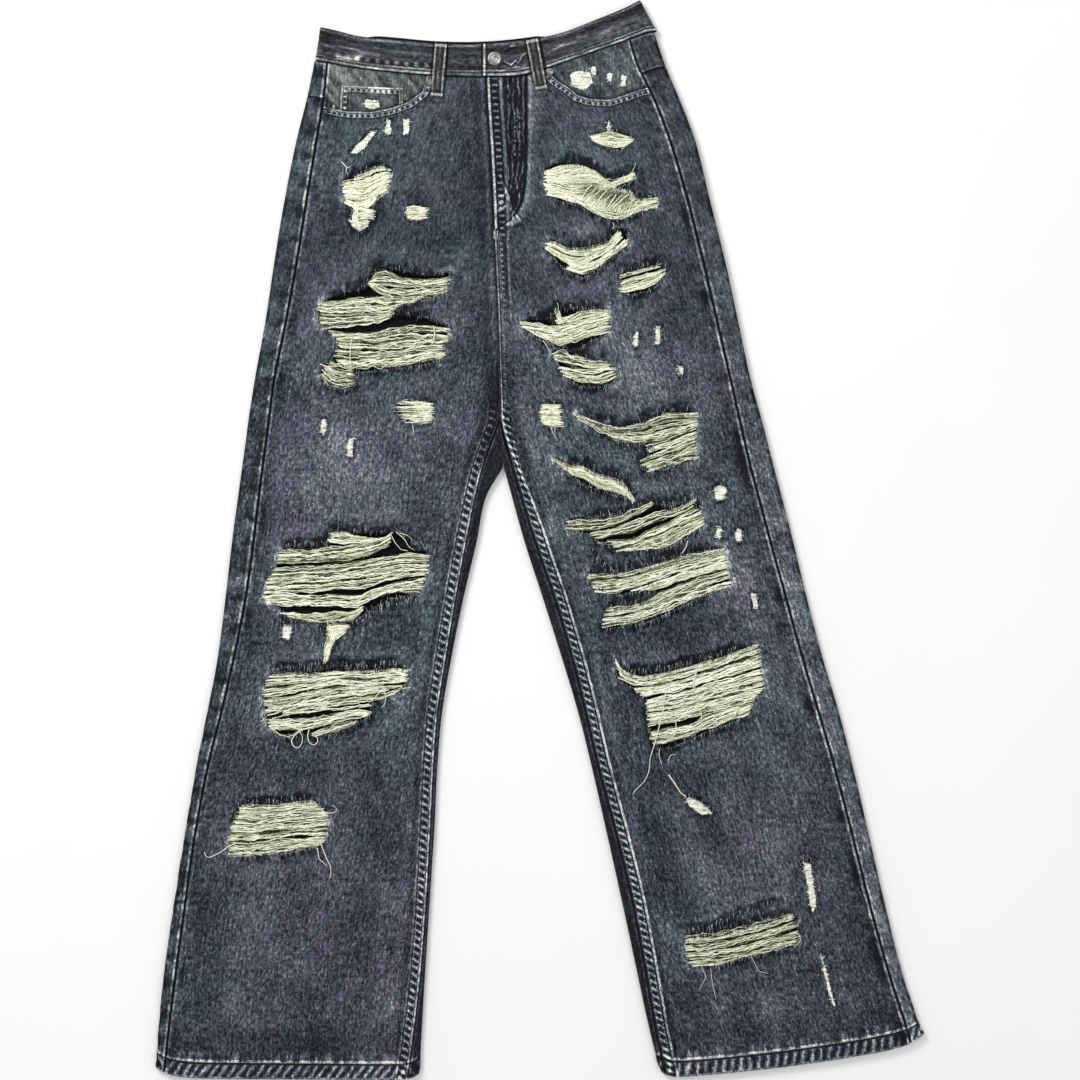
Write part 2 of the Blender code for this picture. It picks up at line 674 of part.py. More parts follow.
def coin_pocket():
    c = COIN_POCKET
    xs = np.linspace(c["x0"], c["x1"], 6)
    pts = np.zeros((4, 6, 3))
    for j, x in enumerate(xs):
        f = (x - c["x0"]) / (c["x1"] - c["x0"])
        top = c["top0"] + (c["top1"] - c["top0"]) * f
        bot = float(edge_y("right", x)) + 2.2
        for i in range(4):
            q = i / 3.0
            y = top + (bot - top) * q
            xx = x + 0.5 * (top - y) * -0.16 * (1 - f)
            z = float(top_z("right", xx, y)) - float(
                facing_drop("right", xx, y)) + LIFT + 1.0
            pts[i, j] = (xx, y, z)
    return pts


sheet("coin_pocket", coin_pocket(), 1.0,
      material("denim_coin_pocket", DENIM, 0.9), flip=True)

# ------------------------------------------------------------- back pockets
for side in ("right", "left"):
    p = BACK_POCKET
    sgn = -1.0 if side == "right" else 1.0
    cx = float(centre(360.0)) + sgn * (p["width"] * 0.5 + 32.0)
    y_top = 462.5 - p["below"] + (0.0 if side == "right" else 6.0)
    turn = math.radians(4.0) * sgn
    cols, rws = 7, 5
    pts = np.zeros((rws, cols, 3))
    for j in range(cols):
        a = j / (cols - 1.0) * 2 - 1
        low = -(p["side"] + (p["point"] - p["side"]) * (1 - abs(a)))
        for i in range(rws):
            b = low * i / (rws - 1.0)
            wid = 0.5 * p["width"] * (1 - 0.07 * i / (rws - 1.0))
            px, py = a * wid, b
            pts[i, j] = (cx + px * math.cos(turn) - py * math.sin(turn),
                         y_top + px * math.sin(turn) + py * math.cos(turn),
                         0.0)
    sheet("back_pocket_" + side, pts, POCKET_WALL,
          material("denim_back_pocket_" + side, DENIM, 0.9), flip=False)


# ---------------------------------------------------------------- waistband
BAND_TOP_Z = HEIGHT_WAIST + 0.5
LAP_START, LAP_END = -57.5, -18.0


def band_plan(x_frac, q):
    xl = -219.5 + (-224.5 + 219.5) * q
    xr = 99.5 + (116.5 - 99.5) * q
    x = xl + (xr - xl) * x_frac
    xt = -219.5 + (99.5 + 219.5) * x_frac
    xb = -224.5 + (116.5 + 224.5) * x_frac
    y = table(BAND_TOP, 1, xt) * (1 - q) + (table(WAIST_SEAM, 1, xb)
                                           + GAP) * q
    return x, y


def waistband():
    r = 0.5 * (BAND_TOP_Z - UNDERSIDE_WAIST)
    q = np.linspace(0, 1, 3)
    x_lap0 = (LAP_START + 222.0) / 338.0
    x_lap1 = (LAP_END + 222.0) / 338.0
    rows_out = []
    nodes = []
    for f in np.linspace(x_lap0, 1.0, 9)[:-1]:            # top lap, front
        nodes.append(("front", f))
    for k in range(5):
        nodes.append(("rollR", k / 4.0))
    for f in np.linspace(1.0, 0.0, 12)[1:-1]:
        nodes.append(("back", f))
    for k in range(5):
        nodes.append(("rollL", k / 4.0))
    for f in np.linspace(0.0, x_lap1, 9)[1:]:
        nodes.append(("under", f))
    for kind, f in nodes:
        col = []
        for qq in q:
            xl, _ = band_plan(0.0, qq)
            xr, _ = band_plan(1.0, qq)
            w = xr - xl
            if kind == "rollR":
                a = math.pi * f
                ff = 1.0 - (r - r * math.sin(a)) / w
                z = UNDERSIDE_WAIST + r + r * math.cos(a)
            elif kind == "rollL":
                a = math.pi * f
                ff = (r - r * math.sin(a)) / w
                z = UNDERSIDE_WAIST + r - r * math.cos(a)
            else:
                ff = min(max(f, r / w), 1 - r / w)
                z = UNDERSIDE_WAIST if kind == "back" else BAND_TOP_Z
            x, y = band_plan(ff, qq)
            if kind == "back":                            # peeks out on top
                y = y + 1.8 * (1 - qq) * step(-180.0, -160.0, x) * step(
                    12.0, -6.0, x)
            if kind == "front":
                z = z + (BAND_WALL + LIFT) * step(24.0, 0.0, x - LAP_END)
            col.append((x, float(y), float(z)))
        rows_out.append(col)
    return np.array(rows_out)


wb = waistband().transpose(1, 0, 2)
sheet("waistband", wb, BAND_WALL, material("denim_waistband", BAND, 0.88),
      flip=True)


# --------------------------------------------------------------- belt loops
def front_level(x, y):
    """Highest outer face under a point at the front of the waist."""
    if y > float(table(WAIST_SEAM, 1, x)) - 1.5:
        lap = (BAND_WALL + LIFT) * float(step(24.0, 0.0, x - LAP_END)) \
            if x > LAP_START else 0.0
        return BAND_TOP_Z + lap
    side = "right" if x < float(centre(y)) else "left"
    z = float(top_z(side, x, y))
    return z + (float(fly_lift(x, y)) if side == "left" else 0.0)


for name, xt, yt, xf, yf, front in BELT_LOOPS:
    n = 9 if front else 3
    length = math.hypot(xt - xf, yt - yf)
    ux, uy = (xf - xt) / length, (yf - yt) / length
    sx, sy = -uy, ux                                      # across the loop
    pts = np.zeros((n, 3, 3))
    for i in range(n):
        t = i / (n - 1.0)
        for j in range(3):
            off = (j - 1) * 0.5 * LOOP_WIDTH
            x = xt + ux * length * t + sx * off
            y = yt + uy * length * t + sy * off
            if front:
                lev = max(front_level(x + dx, y + dy)
                          for dx in (-1.5, 0, 1.5) for dy in (-5, 0, 5))
                z = lev + LIFT + LOOP_WALL + 1.5 * math.sin(
                    math.pi * min(max((t - 0.0) / 1.0, 0), 1)) ** 0.7
            else:
                z = 0.0
            pts[i, j] = (x, y, z)
    sheet(name, pts, LOOP_WALL, material("denim_" + name, BAND, 0.88),
          flip=front)


# ----------------------------------------------------------- button, rivets
def turned(name, profile, x, y, z, mat, steps=18):
    """A turned piece from a closed-on-axis profile of (radius, height)."""
    me = bpy.data.meshes.new(name)
    vs = [(r * MM, 0.0, h * MM) for r, h in profile]
    me.from_pydata(vs, [(i, i + 1) for i in range(len(vs) - 1)], [])
    ob = bpy.data.objects.new(name, me)
    garment.objects.link(ob)
    ob.location = ((x + X_SHIFT) * MM, (y + Y_SHIFT) * MM, z * MM)
    sc = ob.modifiers.new("turn", "SCREW")
    sc.steps = steps
    sc.render_steps = steps
    sc.use_merge_vertices = True
    sc.merge_threshold = 0.00001
    me.materials.append(mat)
    return ob


R = BUTTON["radius"]
button_profile = [(0.0, 3.0), (R * 0.5, 3.0), (R * 0.62, 3.4),
                  (R * 0.88, 3.4), (R, 2.6), (R * 0.96, 1.9),
                  (R * 0.45, 1.6), (R * 0.4, 0.0), (0.0, 0.0)]
turned("button", button_profile, BUTTON["x"], BUTTON["y"],
       front_level(BUTTON["x"], BUTTON["y"]) + LIFT,
       material("metal_button", METAL, 0.35, 1.0))
for name, x, y in RIVETS:
    lev = max(front_level(x + 4.2 * math.cos(a), y + 4.2 * math.sin(a))
              for a in np.linspace(0, 2 * math.pi, 13))
    prof = [(0.0, 0.5), (1.2, 0.55), (1.9, 1.0), (3.0, 1.0),
            (RIVET_RADIUS, 0.45), (RIVET_RADIUS, 0.0), (0.0, 0.0)]
    turned(name, prof, x, y, lev + LIFT,
           material("metal_" + name, METAL, 0.45, 1.0), steps=12)
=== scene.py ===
"""Looks of the ripped jeans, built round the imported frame.

All tables are millimetres in the garment's own frame: +X to the wearer's left,
+Y to the waist, +Z up, lowest cloth at Z = 0.  mesh() turns them into metres
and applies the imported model's recentring shift.
"""
import math

import bpy
import numpy as np
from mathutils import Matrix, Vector


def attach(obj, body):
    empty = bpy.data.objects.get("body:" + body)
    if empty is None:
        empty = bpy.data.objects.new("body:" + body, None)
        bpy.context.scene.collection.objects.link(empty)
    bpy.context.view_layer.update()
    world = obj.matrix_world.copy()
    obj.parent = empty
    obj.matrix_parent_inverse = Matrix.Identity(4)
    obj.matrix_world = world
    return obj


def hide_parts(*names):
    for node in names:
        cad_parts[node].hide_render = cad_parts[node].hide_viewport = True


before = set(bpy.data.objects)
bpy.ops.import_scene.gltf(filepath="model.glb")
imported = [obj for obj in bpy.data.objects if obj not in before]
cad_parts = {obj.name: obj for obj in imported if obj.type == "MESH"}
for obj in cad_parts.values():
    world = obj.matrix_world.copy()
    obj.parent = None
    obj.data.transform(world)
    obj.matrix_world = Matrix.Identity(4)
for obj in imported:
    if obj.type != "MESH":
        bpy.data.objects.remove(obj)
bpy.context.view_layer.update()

MM = 0.001
X_SHIFT, Y_SHIFT = 0.35, -0.75

WALL = 1.2            # denim, with its seam turnings averaged in
POCKET_WALL = 1.2     # back pockets
LOOP_WALL = 1.0       # belt loops, folded strip pressed flat
BAND_WALL = 2.2       # waistband, two layers
WEFT_WALL = 0.6       # what is left of the cloth inside a rip
GAP = 0.4             # between pieces at a seam, measured along the cloth
SIDE_GAP = 0.35       # each side of the side seam, whose line is curved
LIFT = 0.3            # between a panel and what lies on it

HEIGHT_WAIST, HEIGHT_HIP, HEIGHT_THIGH, HEIGHT_LEG = 7.0, 6.6, 6.0, 5.0
UNDERSIDE_WAIST = 1.5            # room for back pockets and back belt loops
WAIST_Y, HIP_Y, CROTCH_Y, KNEE_Y = 470.0, 340.0, 114.5, -60.0
APEX_Y = 76.5                    # where the two legs part
CROTCH_FROM, CROTCH_TO = 138.0, 110.0    # the back's edge rounds the fold
FLY_END_Y = 316.0
FLY_LIFT = 1.5                   # left front laps over right front
FLY_UNDERLAP = 30.0

# One row for each section across a leg: outer fold, side seam on the front,
# inseam (or centre front) on the front, inner fold (or centre).
COLS = ("y", "outer", "sideseam", "inseam", "inner")
RIGHT_LEG = [
    (489.5, -223.0, -211.0, -44.0, -44.0),
    (441.5, -233.0, -216.0, -44.0, -44.0),
    (399.5, -243.5, -223.0, -44.0, -44.0),
    (339.5, -255.5, -233.0, -44.0, -44.0),
    (279.5, -265.5, -242.5, -44.0, -44.0),
    (219.5, -274.5, -253.5, -43.0, -43.0),
    (159.5, -285.5, -265.5, -42.0, -42.0),
    (117.5, -292.0, -271.0, -42.6, -40.3),
    (98.0, -294.5, -273.5, -49.5, -39.0),
    (76.5, -297.5, -276.5, -57.0, -37.6),
    (44.5, -302.0, -280.5, -65.0, -54.0),
    (-0.5, -308.0, -286.0, -74.0, -63.5),
    (-60.5, -315.0, -294.5, -85.0, -77.5),
    (-120.5, -323.0, -306.5, -95.0, -89.5),
    (-170.5, -332.5, -318.0, -102.5, -98.0),
    (-220.5, -342.5, -330.5, -106.5, -102.5),
    (-290.5, -354.5, -344.0, -110.0, -106.0),
    (-360.5, -365.5, -354.0, -114.0, -110.5),
    (-430.5, -375.5, -363.5, -119.5, -115.0),
    (-490.5, -381.5, -371.0, -126.5, -118.5),
    (-538.5, -383.5, -376.0, -133.0, -121.0),
]
LEFT_LEG = [
    (509.5, 113.0, 86.0, -44.0, -44.0),
    (473.5, 125.0, 97.0, -44.0, -44.0),
    (441.5, 138.5, 113.0, -44.0, -44.0),
    (399.5, 154.5, 129.0, -44.0, -44.0),
    (339.5, 169.5, 147.0, -44.0, -44.0),
    (279.5, 184.5, 162.0, -44.0, -44.0),
    (219.5, 197.5, 176.0, -43.0, -43.0),
    (159.5, 210.5, 190.0, -42.0, -42.0),
    (117.5, 222.0, 199.5, -39.5, -40.3),
    (76.5, 232.5, 209.0, -29.0, -36.8),
    (44.5, 241.0, 217.5, -19.5, -28.5),
    (-0.5, 252.5, 229.5, -5.5, -16.0),
    (-60.5, 267.0, 246.0, 15.0, 3.5),
    (-120.5, 283.0, 262.5, 32.5, 22.5),
    (-170.5, 298.0, 277.5, 45.0, 37.5),
    (-220.5, 311.0, 292.0, 56.5, 50.0),
    (-290.5, 327.5, 310.5, 75.0, 66.0),
    (-360.5, 343.5, 328.0, 92.0, 81.5),
    (-430.5, 361.0, 347.5, 105.0, 96.5),
    (-490.5, 380.0, 366.5, 115.5, 109.5),
    (-520.5, 386.0, 374.0, 122.0, 117.0),
]
LEG = {"right": RIGHT_LEG, "left": LEFT_LEG}

# Centre front: the fly's edge above, the centre seam below.
CENTRE = [  # y, x
    (500.0, -58.0), (463.5, -55.0), (435.5, -53.7), (393.5, -50.9),
    (337.5, -48.0), (299.5, -46.5), (239.5, -43.5), (174.5, -41.5),
    (139.5, -40.5), (117.5, -40.3), (76.5, -37.2), (40.0, -35.0)]

# Where a section line starts and ends, at the outer and the inner edge.
SECTION_ENDS = {  # side: outer top, outer hem, inner top, inner hem
    "right": (478.5, -536.5, 462.5, -538.5),
    "left": (507.5, -503.0, 462.5, -537.0)}

# Seam between waistband and panels, and the band's top edge: x, y
WAIST_SEAM = [
    (-226.0, 479.0), (-176.5, 470.5), (-154.5, 467.9), (-107.5, 464.0),
    (-53.5, 462.5), (-20.0, 463.5), (4.5, 470.5), (50.5, 486.5),
    (82.0, 497.5), (110.5, 507.5), (118.0, 507.5)]
BAND_TOP = [
    (-219.5, 512.5), (-202.5, 508.5), (-182.5, 503.5), (-142.5, 499.5),
    (-102.5, 496.0), (-62.5, 495.5), (-22.5, 498.5), (17.5, 505.5),
    (57.5, 520.5), (87.5, 533.0), (99.5, 539.5)]
HEM_BOW = {"right": 0.0, "left": 4.0}

# Largest folds of the front: from, to, half width, rise (+) or dip (-).
FOLDS = [
    ("centre valley", -41.5, 205.0, -38.5, 80.0, 7.0, -2.0),
    ("left shin trough", 90.0, -245.0, 148.0, -390.0, 12.0, -1.4),
    ("left shin ridge", 118.0, -250.0, 180.0, -370.0, 16.0, 2.2),
    ("left hem ridge", 178.0, -430.0, 184.0, -520.0, 14.0, 1.6),
    ("left hem ridge 2", 228.0, -430.0, 236.0, -515.0, 13.0, 1.4),
    ("right shin ridge", -170.0, -215.0, -120.0, -130.0, 14.0, 1.6),
    ("right thigh ridge", -72.0, 150.0, -96.0, 10.0, 13.0, 1.8),
    ("left thigh ridge", -18.0, 150.0, 20.0, 10.0, 13.0, 1.8),
    ("right whisker", -70.0, 215.0, -150.0, 255.0, 9.0, 1.2),
    ("left whisker", -20.0, 215.0, 60.0, 262.0, 9.0, 1.2)]

# The large rips.  Each is a hole in the front panel with its weft left in it,
# rounded four-sided: left and right ends, upper and lower edge at each end.
RIPS = [  # name, leg, x0, x1, upper0, upper1, lower0, lower1
    ("r_hip", "right", -193.5, -151.5, 364.5, 371.5, 327.0, 339.0),
    ("r_thigh_upper", "right", -218.5, -94.5, 235.5, 262.5, 212.5, 247.5),
    ("r_thigh_lower", "right", -210.5, -94.5, 203.5, 213.5, 159.5, 183.5),
    ("r_knee_upper", "right", -272.5, -113.5, -8.5, -5.5, -63.5, -46.5),
    ("r_knee_lower", "right", -272.5, -133.5, -130.5, -126.5, -190.5, -144.5),
    ("r_shin", "right", -308.5, -213.5, -268.5, -262.5, -311.5, -302.5),
    ("l_hip", "left", 8.5, 114.5, 373.5, 353.5, 342.5, 327.5),
    ("l_thigh_1", "left", -0.5, 67.5, 227.5, 230.5, 199.5, 211.5),
    ("l_thigh_2", "left", 15.5, 73.5, 185.5, 173.5, 165.5, 156.5),
    ("l_thigh_3", "left", 101.5, 154.5, 115.5, 127.5, 71.5, 78.5),
    ("l_thigh_4", "left", 31.5, 159.5, 22.5, 37.5, 9.5, 11.5),
    ("l_knee_upper", "left", 57.5, 187.5, -33.5, -10.5, -82.5, -46.5),
    ("l_knee_lower", "left", 89.5, 219.5, -136.5, -104.5, -198.5, -160.5),
    ("l_shin", "left", 147.5, 255.5, -394.5, -372.5, -422.5, -400.5)]

# Front pocket openings: x, y along the edge, from the waist seam outwards.
POCKET_EDGE = {
    "right": [(-112.0, 470.0), (-114.0, 458.5), (-117.5, 448.0),
              (-131.5, 437.5), (-148.5, 431.5), (-168.0, 427.5),
              (-192.0, 428.0), (-217.5, 433.0), (-240.0, 440.0)],
    "left": [(5.0, 476.0), (8.5, 467.5), (14.5, 460.5), (28.5, 451.5),
             (36.5, 444.5), (48.5, 440.5), (68.5, 439.5), (84.5, 444.5),
             (98.0, 449.5), (125.0, 456.0)]}
FACING_UNDER = 9.0               # facing carries on under the front panel
FACING_DROP = 1.6

COIN_POCKET = dict(x0=-198.0, x1=-137.0, top0=454.0, top1=451.0)
BELT_LOOPS = [  # name, x at top, y at top, x at foot, y at foot, front?
    ("belt_loop_front_right", -99.0, 495.5, -103.5, 442.5, True),
    ("belt_loop_front_left", -8.5, 499.5, 1.0, 449.5, True),
    ("belt_loop_back_right", -165.0, 501.0, -168.0, 452.0, False),
    ("belt_loop_back_centre", -50.0, 495.0, -50.0, 446.0, False),
    ("belt_loop_back_left", 62.0, 520.0, 69.0, 473.0, False)]
LOOP_WIDTH = 12.2

YOKE_SIDE, YOKE_CENTRE = 35.0, 66.0       # yoke depth below the waist seam
BACK_POCKET = dict(width=146.0, side=128.0, point=152.0, below=92.0)
BUTTON = dict(x=-45.5, y=479.8, radius=7.0)
RIVETS = [("rivet_right", -111.0, 457.7), ("rivet_left", 9.5, 467.5)]
RIVET_RADIUS = 3.9

# --------------------------------------------------------------- small maths
def table(rows, col, y):
    """Cubic (Hermite) reading of one column of a table at y."""
    rows = sorted(rows, key=lambda r: r[0])
    xs = np.array([r[0] for r in rows], float)
    vs = np.array([r[col] for r in rows], float)
    sec = np.diff(vs) / np.diff(xs)
    m = np.empty_like(vs)
    m[0], m[-1] = sec[0], sec[-1]
    m[1:-1] = 0.5 * (sec[1:] + sec[:-1])
    y = np.asarray(y, float)
    yc = np.clip(y, xs[0], xs[-1])
    i = np.clip(np.searchsorted(xs, yc, side="right") - 1, 0, len(xs) - 2)
    h = xs[i + 1] - xs[i]
    t = (yc - xs[i]) / h
    val = ((1 + 2 * t) * (1 - t) ** 2 * vs[i] + t * (1 - t) ** 2 * h * m[i]
           + t * t * (3 - 2 * t) * vs[i + 1] + t * t * (t - 1) * h * m[i + 1])
    return val + np.where(y < xs[0], (y - xs[0]) * m[0], 0.0) \
        + np.where(y > xs[-1], (y - xs[-1]) * m[-1], 0.0)


def step(a, b, x):
    """0 at a, 1 at b, smooth between; a may be above b."""
    t = np.clip((np.asarray(x, float) - a) / (b - a), 0.0, 1.0)
    return t * t * (3 - 2 * t)


def height(y):
    h = HEIGHT_LEG + (HEIGHT_THIGH - HEIGHT_LEG) * step(KNEE_Y, CROTCH_Y, y)
    h = h + (HEIGHT_HIP - HEIGHT_THIGH) * step(CROTCH_Y, HIP_Y, y)
    return h + (HEIGHT_WAIST - HEIGHT_HIP) * step(HIP_Y, 440.0, y)


def underside(y):
    return UNDERSIDE_WAIST * step(CROTCH_Y + 8.0, 215.0, y)


def centre(y):
    return table(CENTRE, 1, y)


def outer(side, y):
    return table(LEG[side], 1, y)


def inner(side, y):
    """Inner fold of a leg; above the parting point, the centre line."""
    leg = table(LEG[side], 4, y)
    mix = step(APEX_Y + 6.0, APEX_Y - 12.0, y)
    mid = centre(y) + (-0.25 if side == "right" else 0.25)
    return mid * (1 - mix) + leg * mix


def folds(x, y):
    dz = np.zeros(np.broadcast(x, y).shape)
    for _, x0, y0, x1, y1, half, rise in FOLDS:
        dx, dy = x1 - x0, y1 - y0
        length = math.hypot(dx, dy)
        along = ((x - x0) * dx + (y - y0) * dy) / length
        off = ((x - x0) * dy - (y - y0) * dx) / length
        ends = step(-18.0, 22.0, along) * step(length + 18.0, length - 22.0,
                                               along)
        dz = dz + rise * ends * np.exp(-(off / half) ** 2)
    return dz


def valley(y):
    """How far the inner edge rolls over: 1 on a leg, 0 on the hips."""
    return step(205.0, 134.0, y)


def roll_drop(d, r):
    t = np.clip(1.0 - d / r, 0.0, 1.0)
    return r - r * np.sqrt(np.maximum(1.0 - t * t, 0.0))


def top_z(side, x, y):
    """Outer face of the front cloth at a place on the plan."""
    h, u = height(y), underside(y)
    r = 0.5 * (h - u)
    lean = 0.975
    d = np.abs(x - outer(side, y)) * lean
    e = np.abs(x - inner(side, y)) * lean
    edge = step(2.0, 26.0, d) * step(1.0, 12.0, e + 12.0 * (1 - valley(y)))
    return h - roll_drop(d, r) - valley(y) * roll_drop(e, r) \
        + folds(x, y) * edge


def fly_lift(x, y):
    cx = centre(y)
    return FLY_LIFT * step(50.0, 33.0, x - cx) * step(284.0, 305.0, y)


# ------------------------------------------------------- sections on the plan
def section_plan(side, w, v):
    """Plan point at fraction w (outer 0, inner 1) of the section v."""
    o_top, o_hem, i_top, i_hem = SECTION_ENDS[side]
    yo, yi = o_top + (o_hem - o_top) * v, i_top + (i_hem - i_top) * v
    xo, xi = outer(side, yo), inner(side, yi)
    x = xo + (xi - xo) * w
    y = yo + (yi - yo) * w
    xt0, xt1 = outer(side, o_top), inner(side, i_top)
    xt = xt0 + (xt1 - xt0) * w
    bow = table(WAIST_SEAM, 1, xt) - (o_top + (i_top - o_top) * w)
    y = y + bow * step(0.30, 0.0, v) - HEM_BOW[side] * np.sin(
        np.pi * np.clip(w, 0, 1)) * step(0.9, 1.0, v)
    # the hem's corners turn up a little at both folds
    width = np.abs(xi - xo)
    corner = 11.0 * np.exp(-w * width / 13.0) + 7.0 * np.exp(
        -(1 - w) * width / 7.0)
    return x, y + corner * step(0.985, 1.0, v)


def across(side, col, v):
    """Fraction w at which the section v meets a seam column of the table."""
    w = np.full(np.shape(v), 0.1 if col == 2 else 0.95)
    for _ in range(6):
        x, y = section_plan(side, w, v)
        o_top, o_hem, i_top, i_hem = SECTION_ENDS[side]
        xo = outer(side, o_top + (o_hem - o_top) * v)
        xi = inner(side, i_top + (i_hem - i_top) * v)
        want = table(LEG[side], col, y)
        if col == 3:
            mix = step(CROTCH_FROM, CROTCH_TO, y)
            want = inner(side, y) * (1 - mix) + want * mix
        w = (want - xo) / (xi - xo)
    return w


def seam_gap(y):
    """Gap at the inseam; wider where it lies on the tight inner fold."""
    return GAP + 0.8 * step(150.0, 134.0, y) * step(70.0, 96.0, y)


